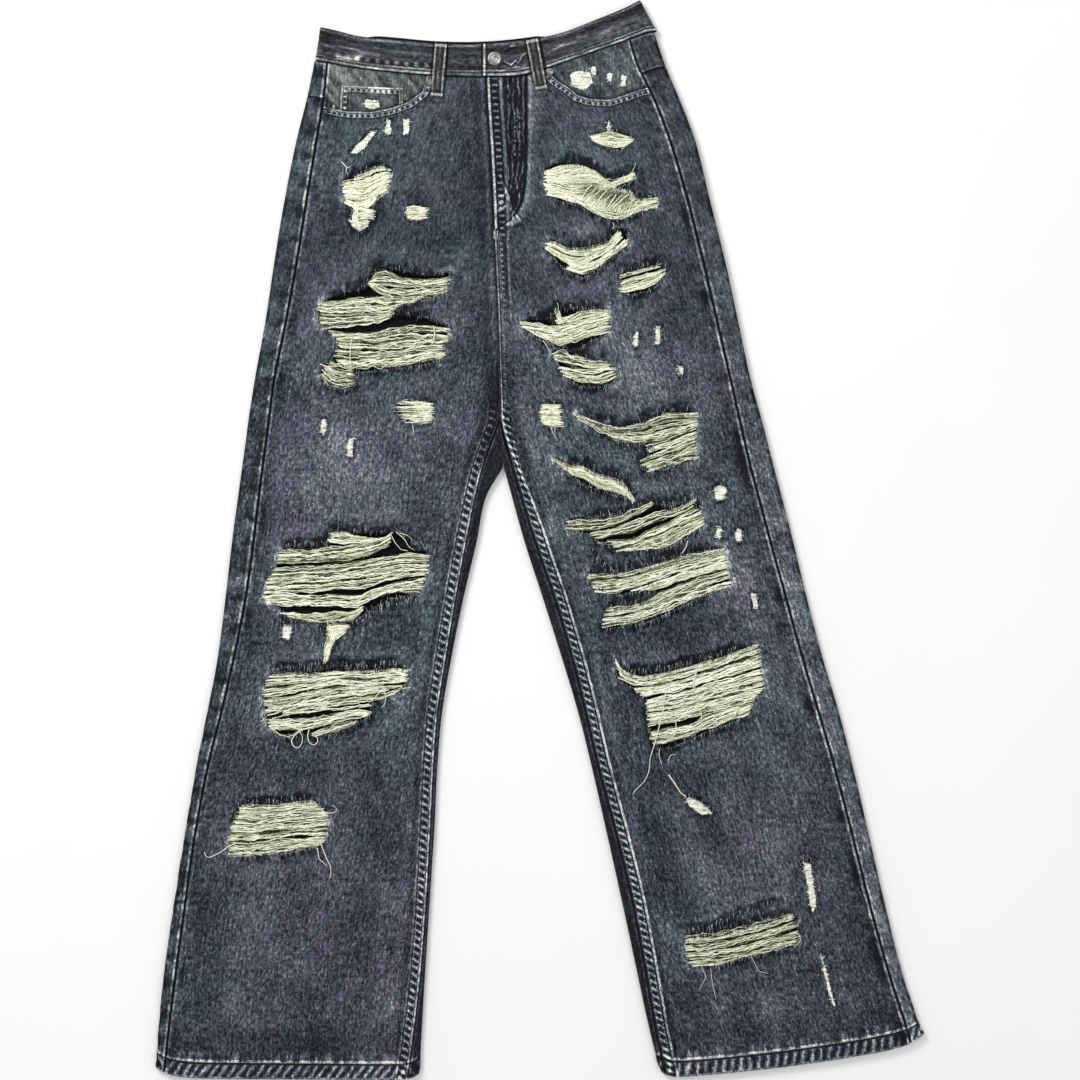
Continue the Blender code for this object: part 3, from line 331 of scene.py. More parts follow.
def rows(levels):
    """v of each section, from y measured on the inner edge."""
    return [(462.5 - y) / (462.5 + 538.0) for y in levels]
RIPS = [
    dict(name='r_hip', node='weft_r_hip', leg='right', cut=True, top=5, bottom=6,
         outline=[(-195.9, 357.9), (-191, 362.8), (-183.4, 364.4), (-175.8, 368.2),
          (-163.9, 373.9), (-156.8, 374.2), (-152, 370.9), (-149.3, 366.6), (-150.9, 358.5),
          (-153, 353.1), (-154.7, 347.1), (-161.7, 344.4), (-164.4, 339.5), (-168.2, 334.6),
          (-167.1, 325.4), (-168.2, 321.1), (-172.6, 318.9), (-174.7, 312.4), (-181.2, 308.6),
          (-186.7, 315.1), (-188.3, 320.5), (-187.2, 326), (-186.1, 331.4), (-192.1, 335.7),
          (-195.9, 342.2), (-196.7, 349.8)],
         bands=[
             ([(-183.4, 364.2), (-172.6, 369.9), (-163.3, 373.9), (-156.3, 373.9), (-151.7, 370.9)],
              [(-182.3, 360.1), (-172.6, 362.8), (-163.3, 368.8), (-157.4, 369.9),
               (-151.4, 369.6)], 1, 0),
             ([(-195.6, 358.5), (-188.8, 360.7), (-178, 359), (-167.1, 363.9), (-159, 367.7),
              (-150.3, 367.2)],
              [(-192.6, 335.7), (-186.1, 332.5), (-172.6, 332.5), (-164.4, 339.5),
               (-156.3, 346.6), (-154.1, 347.1)], 2, 0.2),
             ([(-186.1, 333), (-188.3, 322.2), (-186.1, 314.6)],
              [(-181, 333), (-182.3, 322.2), (-180.1, 311.9)], 1, 0.3),
             ([(-178.5, 332.5), (-172.6, 330.8), (-167.7, 329.8)],
              [(-179.6, 320.5), (-173.6, 321.6), (-167.7, 321.1)], 2, 0.4),
             ([(-187.2, 318.9), (-180.1, 318.4), (-172.6, 319.5)],
              [(-185, 313), (-180.1, 309.2), (-174.7, 312.4)], 2, 0.4),
         ], creases=[[(-198, 358.5), (-191, 363.9), (-175.8, 369.9), (-163.9, 375.3),
          (-156.3, 375.3)]]),
    dict(name='r_thigh_upper', node='weft_r_thigh_upper', leg='right', cut=True, top=3, bottom=7,
         outline=[(-220.9, 225.9), (-218.1, 234.5), (-212.3, 241.2), (-201.8, 245.1),
          (-173.1, 251.8), (-168.3, 261.3), (-165.4, 269.9), (-154.9, 271.8), (-134.8, 268),
          (-107.1, 264.2), (-90.8, 268), (-92.7, 260.4), (-96.6, 246), (-106.1, 243.1),
          (-122.4, 240.3), (-146.3, 233.6), (-151.1, 225.9), (-134.8, 225), (-115.7, 223.1),
          (-106.1, 218.3), (-91.8, 213.5), (-93.7, 200.1), (-97.5, 195.3), (-97.5, 181),
          (-115.7, 177.1), (-134.8, 173.3), (-154, 171.4), (-186.5, 167.6), (-189.4, 164.7),
          (-185.5, 155.1), (-194.1, 151.3), (-211.4, 154.2), (-220, 165.7), (-215.2, 172.4),
          (-206.6, 181), (-201.8, 189.6), (-202.8, 203), (-209.5, 208.7), (-216.2, 214.4),
          (-221.9, 220.2)],
         bands=[
             ([(-169.3, 259.4), (-163.5, 269), (-154, 269.9), (-139.6, 261.3), (-115.7, 259.4),
              (-106.1, 260.4), (-92.7, 262.3)],
              [(-168.3, 257.5), (-154, 254.1), (-136.7, 253.7), (-115.7, 253.2),
               (-94.7, 255.6)], 1, 0.2),
             ([(-168.3, 255.6), (-154, 251.3), (-136.7, 250.3), (-115.7, 251.8), (-95.6, 253.7)],
              [(-169.3, 253.7), (-161.6, 246), (-144.4, 241.2), (-125.3, 241.2), (-106.1, 244.1),
               (-96.6, 247)], 1, 0.2),
             ([(-216.2, 239.3), (-204.7, 237.4), (-187.5, 241.2), (-168.3, 243.1),
              (-149.2, 244.1), (-134.8, 242.2), (-122.4, 241.2)],
              [(-219, 231.7), (-192.2, 230.7), (-173.1, 231.7), (-155.9, 229.8), (-144.4, 233.6),
               (-129.1, 237.4)], 1, 0.25),
             ([(-219.5, 229.8), (-192.2, 228.8), (-173.1, 230.2), (-155.9, 228.3), (-146.3, 231.7)],
              [(-214.2, 211.6), (-201.8, 212.5), (-180.8, 215.4), (-163.5, 217.3),
               (-151.1, 222.1)], 1, 0.2),
             ([(-209.5, 209.2), (-192.2, 206.3), (-168.3, 206.3), (-154, 209.7), (-139.6, 213.5),
              (-115.7, 214.4), (-107.1, 213.5), (-91.8, 211.6)],
              [(-201.8, 203), (-182.7, 203.4), (-163.5, 203), (-149.2, 206.3), (-139.6, 206.8),
               (-125.3, 207.8), (-106.1, 209.7), (-92.7, 206.8)], 1, 0.2),
             ([(-200.8, 201.5), (-182.7, 202), (-163.5, 201.5), (-149.2, 204.4), (-139.6, 205.4),
              (-106.1, 205.8), (-92.7, 203.9)],
              [(-198.9, 193.4), (-184.6, 191.5), (-163.5, 191), (-149.2, 191.5), (-134.8, 192.9),
               (-115.7, 197.2), (-93.7, 199.1)], 1, 0.3),
             ([(-200.8, 190.5), (-184.6, 189.1), (-165.4, 189.1), (-149.2, 188.6),
              (-134.8, 190.5), (-115.7, 195.3), (-97.5, 195.3)],
              [(-202.8, 182.9), (-184.6, 182.9), (-171.2, 181.9), (-154, 184.8), (-134.8, 187.7),
               (-115.7, 190.5), (-97.5, 190.5)], 1, 0.2),
             ([(-203.7, 181), (-184.6, 180), (-169.3, 181), (-149.2, 184.3), (-134.8, 185.7),
              (-115.7, 188.6), (-97.5, 187.7)],
              [(-189.4, 173.3), (-173.1, 172.4), (-154, 172.4), (-134.8, 173.3), (-115.7, 179.1),
               (-98.5, 181)], 1, 0.3),
             ([(-208.5, 178.1), (-198.9, 176.2), (-189.4, 172.4)],
              [(-218.1, 163.7), (-211.4, 155.1), (-198.9, 152.3), (-187.5, 155.1)], 2, 0.5),
         ], creases=[[(-152.1, 270.9), (-134.8, 267.1), (-107.1, 263.7),
          (-90.8, 267.1)], [(-212.3, 241.2), (-201.8, 244.1), (-173.1, 250.8)]]),
    dict(name='r_knee_upper', node='weft_r_knee_upper', leg='right', cut=True, top=3, bottom=6,
         outline=[(-273.7, -50.1), (-271.3, -39.5), (-263.1, -25.3), (-259.5, -10),
          (-250.1, -7.6), (-210, -4.1), (-207.6, 8.9), (-198.2, 10.1), (-188.8, 7.7),
          (-149.8, 8.3), (-140.4, 6.5), (-130.9, -2.9), (-127.4, -8.8), (-113.2, -10),
          (-114.4, -21.8), (-115.6, -43), (-119.1, -46.6), (-120.3, -53.7), (-132.1, -53.7),
          (-149.8, -57.2), (-167.5, -67.8), (-179.3, -74.9), (-187.6, -80.8), (-202.9, -84.3),
          (-226.5, -82), (-244.2, -78.4), (-256, -73.7), (-261.9, -65.4), (-273.7, -57.2)],
         bands=[
             ([(-207.6, 7.7), (-198.2, 8.9), (-189.9, 4.2)],
              [(-208.8, -0.6), (-198.2, -2.9), (-188.8, -1.7), (-167.5, -0.6),
               (-158.1, 1.8)], 1, 0.2),
             ([(-258.4, -10), (-232.4, -10), (-202.9, -5.9), (-179.3, -2.9), (-155.7, 1.8),
              (-149.8, 6.5)],
              [(-261.3, -22.4), (-232.4, -21.2), (-202.9, -20), (-185.2, -18.8), (-167.5, -12.4),
               (-152.2, -5.3)], 1, 0.15),
             ([(-265.4, -27.1), (-244.2, -26.5), (-202.9, -23), (-173.4, -20), (-149.8, -16.5),
              (-132.1, -12.4), (-113.2, -14.7)],
              [(-267.8, -36), (-244.2, -34.8), (-214.7, -33.6), (-185.2, -30.1), (-155.7, -24.2),
               (-132.1, -21.2), (-114.4, -21.8)], 1, 0.2),
             ([(-268.4, -38.3), (-244.2, -37.1), (-214.7, -36.5), (-185.2, -33), (-167.5, -29.5),
              (-143.9, -24.2), (-114.4, -23.6)],
              [(-271.3, -43), (-244.2, -42.4), (-214.7, -40.1), (-185.2, -37.7), (-167.5, -35.4),
               (-143.9, -31.8), (-115.6, -31.2)], 1, 0.2),
             ([(-272.5, -45.2), (-244.2, -44.2), (-214.7, -41.9), (-185.2, -39.5),
              (-167.5, -37.1), (-143.9, -33.4), (-115.6, -32.4)],
              [(-273.7, -51.9), (-244.2, -51.3), (-214.7, -49.5), (-202.9, -48), (-185.2, -48.7),
               (-173.4, -47.5), (-155.7, -39.5), (-138, -35.4), (-116.8, -33.6)], 1, 0.2),
             ([(-273.7, -55.4), (-244.2, -54.2), (-214.7, -55.4), (-197, -54.6), (-182.9, -56),
              (-167.5, -48.3), (-143.9, -42.4), (-116.8, -36.5)],
              [(-270.2, -63.1), (-252.5, -64.9), (-226.5, -63.1), (-202.9, -65.4),
               (-182.9, -65.4), (-167.5, -58.4), (-149.8, -51.3), (-132.1, -51.3),
               (-120.3, -53.7)], 1, 0.25),
             ([(-259.5, -71.3), (-238.3, -73.7), (-214.7, -73.7), (-198.2, -70.2),
              (-187.6, -72.5), (-179.3, -66.6)],
              [(-246.6, -76.7), (-228.9, -80.8), (-202.9, -83.1), (-187.6, -79.6),
               (-179.3, -71.9)], 1, 0.2),
         ], creases=[[(-257.2, -3.5), (-250.1, 0.6), (-232.4, 1.8), (-210, 1.8)], [(-188.8, 7.7),
          (-149.8, 8.3)], [(-259.5, -74.9), (-244.2, -80.8), (-214.7, -84.3)], [(-179.3, -76.1),
          (-167.5, -69), (-149.8, -59), (-132.1, -56), (-120.3, -56)]]),
    dict(name='r_knee_tail', node=None, leg='right', cut=False, top=0, bottom=2,
         outline=[(-212.3, -83.7), (-191.1, -82), (-193.5, -91.4), (-202.9, -99.7),
          (-208.8, -109.1), (-211.2, -119.7), (-216.5, -120.9), (-214.7, -107.9), (-210, -96.1)],
         bands=[
             ([(-212.3, -85.5), (-202.9, -84.3), (-191.1, -84.3)],
              [(-210, -98.5), (-202.9, -97.3), (-195.8, -92.6)], 1, 0.4),
             ([(-212.3, -84.3), (-210, -93.8), (-214.7, -105.6), (-215.9, -119.7)],
              [(-195.8, -86.7), (-202.9, -97.3), (-208.8, -106.7), (-212.3, -119.7)], 1, 0.3),
         ], creases=[]),
    dict(name='r_knee_lower', node='weft_r_knee_lower', leg='right', cut=True, top=5, bottom=7,
         outline=[(-273.9, -142.1), (-267.6, -131.5), (-259.2, -130.5), (-243.4, -130),
          (-226.6, -131.5), (-213.9, -127.3), (-203.4, -125.2), (-188.7, -128.9),
          (-159.2, -127.9), (-143.4, -125.2), (-134, -128.4), (-134, -140), (-137.1, -145.2),
          (-145.5, -151.5), (-150.8, -156.8), (-168.7, -163.1), (-171.9, -173.6), (-178.2, -180),
          (-184.5, -182.1), (-190.8, -186.3), (-205.5, -192.6), (-222.4, -194.2), (-235, -193.6),
          (-243.4, -195.3), (-250.8, -195.9), (-263.4, -194.7), (-269.7, -188.9),
          (-273.9, -173.6), (-275, -156.8)],
         bands=[
             ([(-265.5, -131.5), (-243.4, -131.5), (-222.4, -133.1), (-205.5, -129.4),
              (-188.7, -130), (-169.7, -129.4), (-143.4, -126.3), (-135, -128.4)],
              [(-273.4, -145.2), (-253.9, -143.1), (-232.9, -141), (-211.8, -138.9),
               (-195, -135.8), (-180.3, -137.9), (-159.2, -135.8), (-135, -134.7)], 1, 0.2),
             ([(-273.7, -146.8), (-253.9, -144.7), (-232.9, -142.1), (-211.8, -140),
              (-195, -137.3), (-180.3, -138.9), (-159.2, -136.8), (-135, -135.8)],
              [(-272.9, -155.7), (-243.4, -151.5), (-222.4, -147.3), (-195, -143.1),
               (-180.3, -145.2), (-159.2, -143.1), (-136.1, -140)], 1, 0.3),
             ([(-272.3, -157.9), (-243.4, -153.6), (-220.3, -149.4), (-195, -145.8),
              (-175, -145.8), (-154, -145.2), (-138.2, -144.2)],
              [(-271.8, -165.2), (-243.4, -161), (-222.4, -155.7), (-201.3, -151.5),
               (-180.3, -148.9), (-148.7, -147.3)], 1, 0.25),
             ([(-271.8, -166.3), (-243.4, -162.6), (-222.4, -157.3), (-201.3, -153.6),
              (-180.3, -150), (-154, -148.9)],
              [(-270.8, -173.6), (-253.9, -169.4), (-232.9, -163.1), (-211.8, -158.4),
               (-190.8, -154.7), (-169.7, -153.1), (-159.2, -151)], 1, 0.3),
             ([(-253.9, -170.7), (-232.9, -164.6), (-211.8, -160.2), (-190.8, -156.6),
              (-169.7, -154.7), (-154, -152.8), (-138.2, -146.3)],
              [(-256, -172.6), (-232.9, -167.6), (-211.8, -164.6), (-190.8, -162.3),
               (-175, -160), (-159.2, -158.4), (-145.5, -152.6)], 1, 0.45),
             ([(-264.5, -176.3), (-243.4, -171), (-222.4, -168.2), (-201.3, -166.1),
              (-190.8, -164.7), (-171.9, -162.6)],
              [(-265.5, -177), (-243.4, -172.8), (-222.4, -170.7), (-201.3, -169.4),
               (-190.8, -167.3), (-171.9, -165.2)], 1, 0.2),
             ([(-269.7, -178.4), (-243.4, -177.8), (-211.8, -176), (-196.1, -171.5),
              (-180.3, -167.9), (-171.9, -170.5)],
              [(-268.7, -188.2), (-243.4, -188.6), (-222.4, -185.4), (-201.3, -180),
               (-180.3, -177), (-174, -174.7)], 1, 0.25),
             ([(-226.6, -191.5), (-211.8, -186.3), (-205.5, -182.6), (-190.8, -180.5)],
              [(-222.4, -194.7), (-205.5, -190.5), (-190.8, -186.3), (-184.5, -182.1)], 1, 0.2),
             ([(-266.6, -189.4), (-259.2, -193.6), (-245.5, -193.6), (-239.2, -188.4)],
              [(-266.6, -191), (-259.2, -195.2), (-245.5, -195.2), (-238.1, -189.4)], 1, 0.2),
         ], creases=[[(-267.6, -126.3), (-259.2, -123.1), (-232.9, -121),
          (-218.2, -118.9)], [(-205.5, -117.9), (-190.8, -120), (-159.2, -118.9),
          (-143.4, -116.8)]]),
    dict(name='r_shin', node='weft_r_shin', leg='right', cut=True, top=4, bottom=8,
         outline=[(-309.1, -301.9), (-307.2, -288.5), (-306.3, -279), (-300.5, -267.5),
          (-291.9, -261.8), (-278.5, -262.2), (-249.8, -259.8), (-230.7, -257.9),
          (-217.3, -264.6), (-212.5, -273.2), (-212.5, -283.8), (-214.4, -295.2),
          (-217.3, -302.9), (-224, -306.7), (-240.3, -307.7), (-259.4, -311.5), (-278.5, -314.4),
          (-299.6, -315.3), (-309.1, -310.6)],
         bands=[
             ([(-297.7, -264.6), (-278.5, -264.6), (-259.4, -263.7), (-245.1, -260.8),
              (-230.7, -259.4)],
              [(-299.6, -273.2), (-278.5, -273.2), (-259.4, -271.3), (-240.3, -268.5),
               (-217.3, -268)], 1, 0.2),
             ([(-300.5, -274.2), (-278.5, -274.2), (-259.4, -272.3), (-240.3, -270.4),
              (-217.3, -269.4)],
              [(-304.4, -283.8), (-278.5, -283.8), (-259.4, -281.9), (-240.3, -279),
               (-212.5, -275.2)], 1, 0.25),
             ([(-305.3, -285.2), (-278.5, -284.7), (-259.4, -282.8), (-240.3, -280.9),
              (-212.5, -277.1)],
              [(-307.2, -291.4), (-288.1, -291.4), (-272.8, -289), (-254.6, -288.5),
               (-240.3, -287.6), (-213.5, -283.8)], 1, 0.25),
             ([(-307.2, -293.3), (-288.1, -292.9), (-272.8, -291.9), (-254.6, -290.5),
              (-240.3, -288.5), (-213.5, -285.7)],
              [(-308.2, -299.1), (-288.1, -299.1), (-274.7, -297.2), (-259.4, -295.2),
               (-240.3, -292.4), (-214.4, -293.3)], 1, 0.25),
             ([(-308.2, -301), (-288.1, -301), (-269, -299.1), (-249.8, -297.2),
              (-235.5, -297.2), (-215.4, -295.2)],
              [(-307.2, -314.4), (-283.3, -314.4), (-259.4, -311.5), (-240.3, -307.7),
               (-223, -305.8)], 1, 0.25),
         ], creases=[[(-291.9, -259.8), (-269, -256), (-249.8, -257.9), (-229.7, -254.1)]]),
    dict(name='l_leaf', node=None, leg='left', cut=False, top=3, bottom=5,
         outline=[(51.4, 404.4), (61.4, 406.6), (70.4, 406.6), (78.2, 407.8), (91.6, 402.2),
          (89.3, 397.7), (84.9, 393.3), (77.1, 390.5), (71.5, 391), (61.4, 394.4), (54.7, 397.7)],
         bands=[
             ([(52, 403.9), (63.7, 406.1), (78.2, 406.6), (91.6, 401.6)],
              [(53.6, 398.8), (63.7, 394.4), (74.8, 391), (83.8, 393.3), (90.5, 397.7)], 2, 0.3),
         ], creases=[]),
    dict(name='l_hip', node='weft_l_hip', leg='left', cut=True, top=4, bottom=6,
         outline=[(5.7, 360.9), (5.4, 369.6), (11.2, 374.7), (28, 377.2), (42.5, 375.4),
          (57, 368.7), (63.7, 362), (70.4, 358.7), (79.3, 360.9), (90.5, 367.6), (92.7, 362),
          (87.1, 356.4), (72.6, 352), (74.8, 346.4), (92.7, 345.3), (99.4, 340.8), (115, 341.9),
          (116.1, 331.9), (106.1, 330.8), (91.6, 325.2), (77.1, 320.7), (65.9, 320.7),
          (57, 325.2), (48.1, 330.8), (36.9, 336.4), (15.7, 339.9), (6.5, 348.6)],
         bands=[
             ([(7, 369.6), (28, 375.9), (42.5, 375.4), (57, 368.7), (68.1, 358.7), (79.3, 360.9),
              (90.5, 366.5)],
              [(7, 353.1), (28, 346.4), (42.5, 348.6), (54.7, 353.1), (68.1, 352), (78.2, 355.3),
               (91.6, 360.9)], 2, 0.35),
             ([(7, 354.2), (28, 347.5), (42.5, 349.7), (57, 353.1), (65.9, 350.9)],
              [(8.8, 344.6), (36.9, 336.4), (48.1, 331.9), (57, 331.9), (65.9, 339.7)], 2, 0.35),
             ([(39.1, 341.9), (54.7, 335.2), (67, 328.5), (79.3, 327.4), (94.9, 331.9),
              (115, 339.7)],
              [(39.1, 336.4), (57, 326.3), (70.4, 320.7), (79.3, 320.7), (94.9, 326.3),
               (115.6, 331.9)], 2, 0.3),
             ([(77.1, 344.2), (92.7, 344.2), (100.5, 340.8), (115, 341.9)],
              [(72.6, 331.9), (89.3, 333), (100.5, 335.2), (115, 338.6)], 2, 0.3),
             ([(42.5, 340.8), (50.3, 350.9), (57, 355.3)],
              [(87.1, 325.2), (90.5, 335.2), (92.7, 344.2)], 1, 0.2),
         ], creases=[]),
    dict(name='l_moon', node=None, leg='left', cut=True, top=5, bottom=6,
         outline=[(5.7, 294), (7.9, 298.4), (12.4, 300.7), (19, 297.3), (28, 292.8),
          (46.9, 292.8), (57, 296.2), (68.1, 299.5), (74.8, 308.5), (79.3, 311.8), (87.1, 309.6),
          (86, 292.8), (77.1, 290.6), (68.1, 281.7), (57, 271.6), (43.6, 262.7), (33.5, 266.1),
          (25.7, 270.5), (16.8, 280.6), (6.8, 287.3)],
         bands=[
             ([(7.9, 298.4), (16.8, 297.3), (28, 291.7), (45.8, 291.7), (57, 295.1),
              (70.4, 300.7), (77.1, 307.4)],
              [(6.8, 290.6), (16.8, 283.9), (31.3, 276.1), (42.5, 275), (54.7, 281.7),
               (68.1, 289.5), (79.3, 300.7)], 2, 0.3),
             ([(31.3, 276.1), (42.5, 272.8), (57, 280.6), (70.4, 288.4), (83.8, 299.5)],
              [(28, 270.5), (41.4, 265), (54.7, 270.5), (65.9, 279.5), (86, 294)], 1, 0.3),
         ], creases=[]),
    dict(name='l_small', node=None, leg='left', cut=True, top=4, bottom=5,
         outline=[(80.4, 260.5), (83.8, 267.2), (100.5, 271.6), (118.3, 276.1), (122.8, 265),
          (117.2, 256), (106.1, 249.3), (90.5, 246), (82.6, 248.2)],
         bands=[
             ([(82.6, 266.1), (100.5, 270.5), (117.2, 275.6)],
              [(81, 262.2), (100.5, 268.3), (118.3, 272.8)], 1, 0.2),
             ([(81, 258.3), (94.9, 263.8), (109.4, 266.6), (121.7, 269.4)],
              [(82.6, 248.2), (100.5, 250.5), (115, 257.1), (122.8, 265)], 1, 0.3),
         ], creases=[]),
    dict(name='l_thigh_1', node='weft_l_thigh_1', leg='left', cut=True, top=4, bottom=6,
         outline=[(-19.7, 213.8), (-18.1, 218.8), (-12.3, 220.5), (-2.3, 221.3), (6.8, 220.5),
          (14.3, 219.6), (14.7, 226.3), (18.4, 231.2), (32.5, 231.2), (40.8, 230.4),
          (52.4, 232.1), (67.3, 230.4), (69, 221.3), (67.3, 206.4), (59.1, 203), (48.3, 199.7),
          (40.8, 193.1), (32.5, 190.6), (24.2, 191.4), (15.9, 193.1), (8.5, 198.1), (-3.1, 203),
          (-12.3, 208)],
         bands=[
             ([(-18.1, 217.6), (-9.8, 218), (2.7, 214.6), (12.6, 212.6), (22.6, 214.6),
              (31.7, 216.3), (44.1, 220.5), (67.3, 227.9)],
              [(-16.4, 211.3), (-5.6, 208), (6.8, 208), (15.9, 207.2), (27.5, 208.8), (40, 213),
               (52.4, 216.3), (67.3, 219.6)], 1, 0.3),
             ([(-10.6, 209.7), (2.7, 207.2), (15.9, 205.9), (27.5, 207.6), (40.8, 211.7),
              (52.4, 215.1), (67.3, 218)],
              [(-3.1, 204.7), (6.8, 200.6), (19.3, 194.7), (27.5, 195.6), (40, 200.6),
               (48.3, 203), (66.5, 208)], 1, 0.35),
             ([(15.9, 219.6), (20.9, 221.3), (29.2, 223.8), (40, 228.7), (52.4, 230.4),
              (66.5, 229.6)],
              [(19.3, 216.3), (29.2, 217.6), (40, 221.3), (52.4, 224.6), (67.3, 228.3)], 1, 0.2),
             ([(14.7, 226.3), (16.8, 221.3), (20.9, 217.1)],
              [(18.8, 229.6), (20.1, 223.8), (24.2, 219.6)], 1, 0.2),
         ], creases=[[(-18.1, 220.5), (-5.6, 222.1), (6, 220.5)], [(19.3, 232.1), (40, 232.1),
          (56.6, 233.7)]]),
    dict(name='l_thigh_2', node='weft_l_thigh_2', leg='left', cut=True, top=4, bottom=6,
         outline=[(11.8, 187.3), (16.8, 191.4), (25.9, 191.4), (35.8, 186.5), (44.1, 183.1),
          (56.6, 179.8), (64, 178.2), (70.7, 174), (75.6, 164.9), (74, 159.1), (64, 154.1),
          (52.4, 154.1), (40.8, 154.9), (34.2, 158.3), (26.7, 162.4), (20.9, 172.4), (15.9, 179.8)],
         bands=[
             ([(12.6, 187.3), (19.3, 190.6), (25.9, 188.1), (30.9, 182.3), (35.8, 185.6),
              (42.5, 181.5), (47.4, 179), (56.6, 179), (64, 178.2)],
              [(15.9, 180.7), (22.6, 178.2), (30.9, 174), (40.8, 175.7), (48.3, 173.6),
               (56.6, 173.2), (68.2, 174.8)], 1, 0.9),
             ([(20.9, 173.2), (31.7, 172.8), (44.1, 170.7), (56.6, 171.5), (63.2, 173.6),
              (71.5, 172.4)],
              [(26.7, 163.2), (35.8, 159.9), (48.3, 157.4), (59.1, 154.1), (65.7, 156.6),
               (74, 162.4)], 2, 0.5),
         ], creases=[]),
    dict(name='l_tuft', node=None, leg='left', cut=False, top=3, bottom=6,
         outline=[(1, 135.3), (19.3, 137.6), (21.6, 126.1), (21.6, 113.5), (12.5, 114.7),
          (2.1, 118.1)],
         bands=[
             ([(1, 135.3), (18.2, 135.9)],
              [(2.1, 115.8), (21.6, 114.1)], 2, 0.3),
         ], creases=[]),
    dict(name='l_thigh_3', node='weft_l_thigh_3', leg='left', cut=True, top=7, bottom=8,
         outline=[(35.4, 127.3), (43.5, 126.1), (58.4, 118.1), (69.9, 114.7), (87.1, 114.1),
          (98.6, 117.5), (113.5, 123.8), (127.3, 129), (152.5, 130.2), (154.8, 119.2),
          (154.2, 80.2), (138.7, 76.8), (110, 68.7), (102, 73.3), (99.7, 81.4), (108.9, 87.1),
          (115.8, 91.7), (104.3, 97.4), (87.1, 97.4), (74.5, 102), (60.7, 108.9), (46.9, 115.8),
          (37.7, 121.5)],
         bands=[
             ([(36, 126.1), (46.9, 122.7), (64.1, 114.7), (81.3, 112.9), (98.6, 116.9),
              (115.8, 123.8), (129.6, 128.4), (153.7, 127.3)],
              [(36.6, 122.7), (49.2, 115.8), (67.6, 110.1), (87.1, 107.8), (104.3, 111.2),
               (121.5, 116.9), (153.7, 121.5)], 1, 0.2),
             ([(38.9, 121), (51.5, 114.1), (68.7, 108.3), (87.1, 106.4), (104.3, 109.5),
              (121.5, 115.2), (153.7, 119.8)],
              [(43.5, 117.5), (56.1, 110.1), (72.2, 102.6), (87.1, 98.6), (104.3, 98),
               (121.5, 102), (138.7, 107.8), (153.7, 112.9)], 1, 0.2),
             ([(106.6, 95.1), (121.5, 99.7), (138.7, 106), (153.7, 111.2)],
              [(111.2, 89.4), (125, 94), (138.7, 99.7), (153.7, 104.9)], 1, 0.2),
             ([(100.9, 80.2), (115.8, 87.1), (133, 92.8), (153.7, 102.6)],
              [(110, 69.9), (127.3, 74.5), (144.5, 80.2), (154.8, 81.4)], 1, 0.2),
         ], creases=[]),
    dict(name='l_slash', node=None, leg='left', cut=True, top=6, bottom=9,
         outline=[(10.7, 84.8), (18.2, 82.5), (27.4, 76.8), (40, 76.8), (53.8, 69.9),
          (67.6, 65.3), (79, 61.8), (85.9, 57.3), (87.1, 52.7), (91.7, 45.8), (91.7, 38.9),
          (85.9, 43.5), (69.9, 48.1), (53.8, 52.7), (40, 59.5), (27.4, 67.6), (18.2, 75.6)],
         bands=[
             ([(11.9, 83.7), (23.9, 76.8), (41.2, 75.6), (58.4, 67.6), (72.2, 63), (85.9, 55),
              (91.7, 44.6)],
              [(15.9, 76.8), (29.7, 67.6), (46.9, 59.5), (58.4, 52.7), (75.6, 48.1),
               (87.1, 44.6), (91.7, 40.6)], 2, 0.6),
         ], creases=[]),
    dict(name='l_thigh_4', node='weft_l_thigh_4', leg='left', cut=True, top=7, bottom=8,
         outline=[(27.5, 15.1), (29.8, 21.9), (47.1, 23.1), (65.4, 24.2), (88.4, 28.3),
          (102.2, 35.7), (109, 38), (128.6, 33.4), (145.8, 36.9), (151.5, 41.5), (157.3, 36.9),
          (160.7, 15.1), (155, 9.3), (138.9, 0.1), (122.8, -7.9), (106.7, -7.9), (83.8, -11.3),
          (68.9, -5.6), (57.4, -1), (51.6, 7), (31, 9.3)],
         bands=[
             ([(28.7, 20.8), (48.2, 21.9), (71.2, 23.1), (88.4, 27.7), (98.7, 33.4), (109, 37.4)],
              [(28.7, 10.5), (51.6, 9.9), (65.4, 13.3), (82.6, 20.8), (99.9, 27.7),
               (110.2, 34.6)], 1, 0.2),
             ([(52.8, 8.2), (71.2, 11.6), (88.4, 17.9), (106.7, 24.8), (122.8, 28.3),
              (140, 33.4), (152.7, 40.9)],
              [(57.4, 2.4), (76.9, 6.5), (93, 9.3), (102.2, 13.9), (117.1, 20.8), (134.3, 25.4),
               (151.5, 33.4)], 1, 0.3),
             ([(59.1, -1.7), (74.6, -1.7), (88.4, -1)],
              [(60.8, -3.1), (74.6, -3.8), (88.4, -3.5)], 1, 0.2),
             ([(69.3, 0.4), (88.4, 0.8), (97.7, 2.9), (103.1, 7.5), (119, 13.9), (133.3, 20.2),
              (143.9, 26.4), (154.6, 31.9)],
              [(80.3, -10.8), (93, -7.9), (106.7, -1), (118.2, 3.6), (134.3, 11.6),
               (152.7, 19.7), (160.7, 23.1)], 1, 0.2),
             ([(88.4, -9.6), (106.7, -2.7), (118.2, 2.2), (134.3, 9.9), (152.7, 18.3),
              (160.7, 21.7)],
              [(102.2, -8.5), (120.5, -7.9), (134.3, -2.2), (145.8, 4.7), (160.7, 15.1)], 1, 0.3),
         ], creases=[[(47.1, 27.7), (76.9, 28.8), (99.9, 39.2)], [(47.1, -1), (58.5, -14.8),
          (76.9, -30.9)]]),
    dict(name='l_knee_upper', node='weft_l_knee_upper', leg='left', cut=True, top=7, bottom=8,
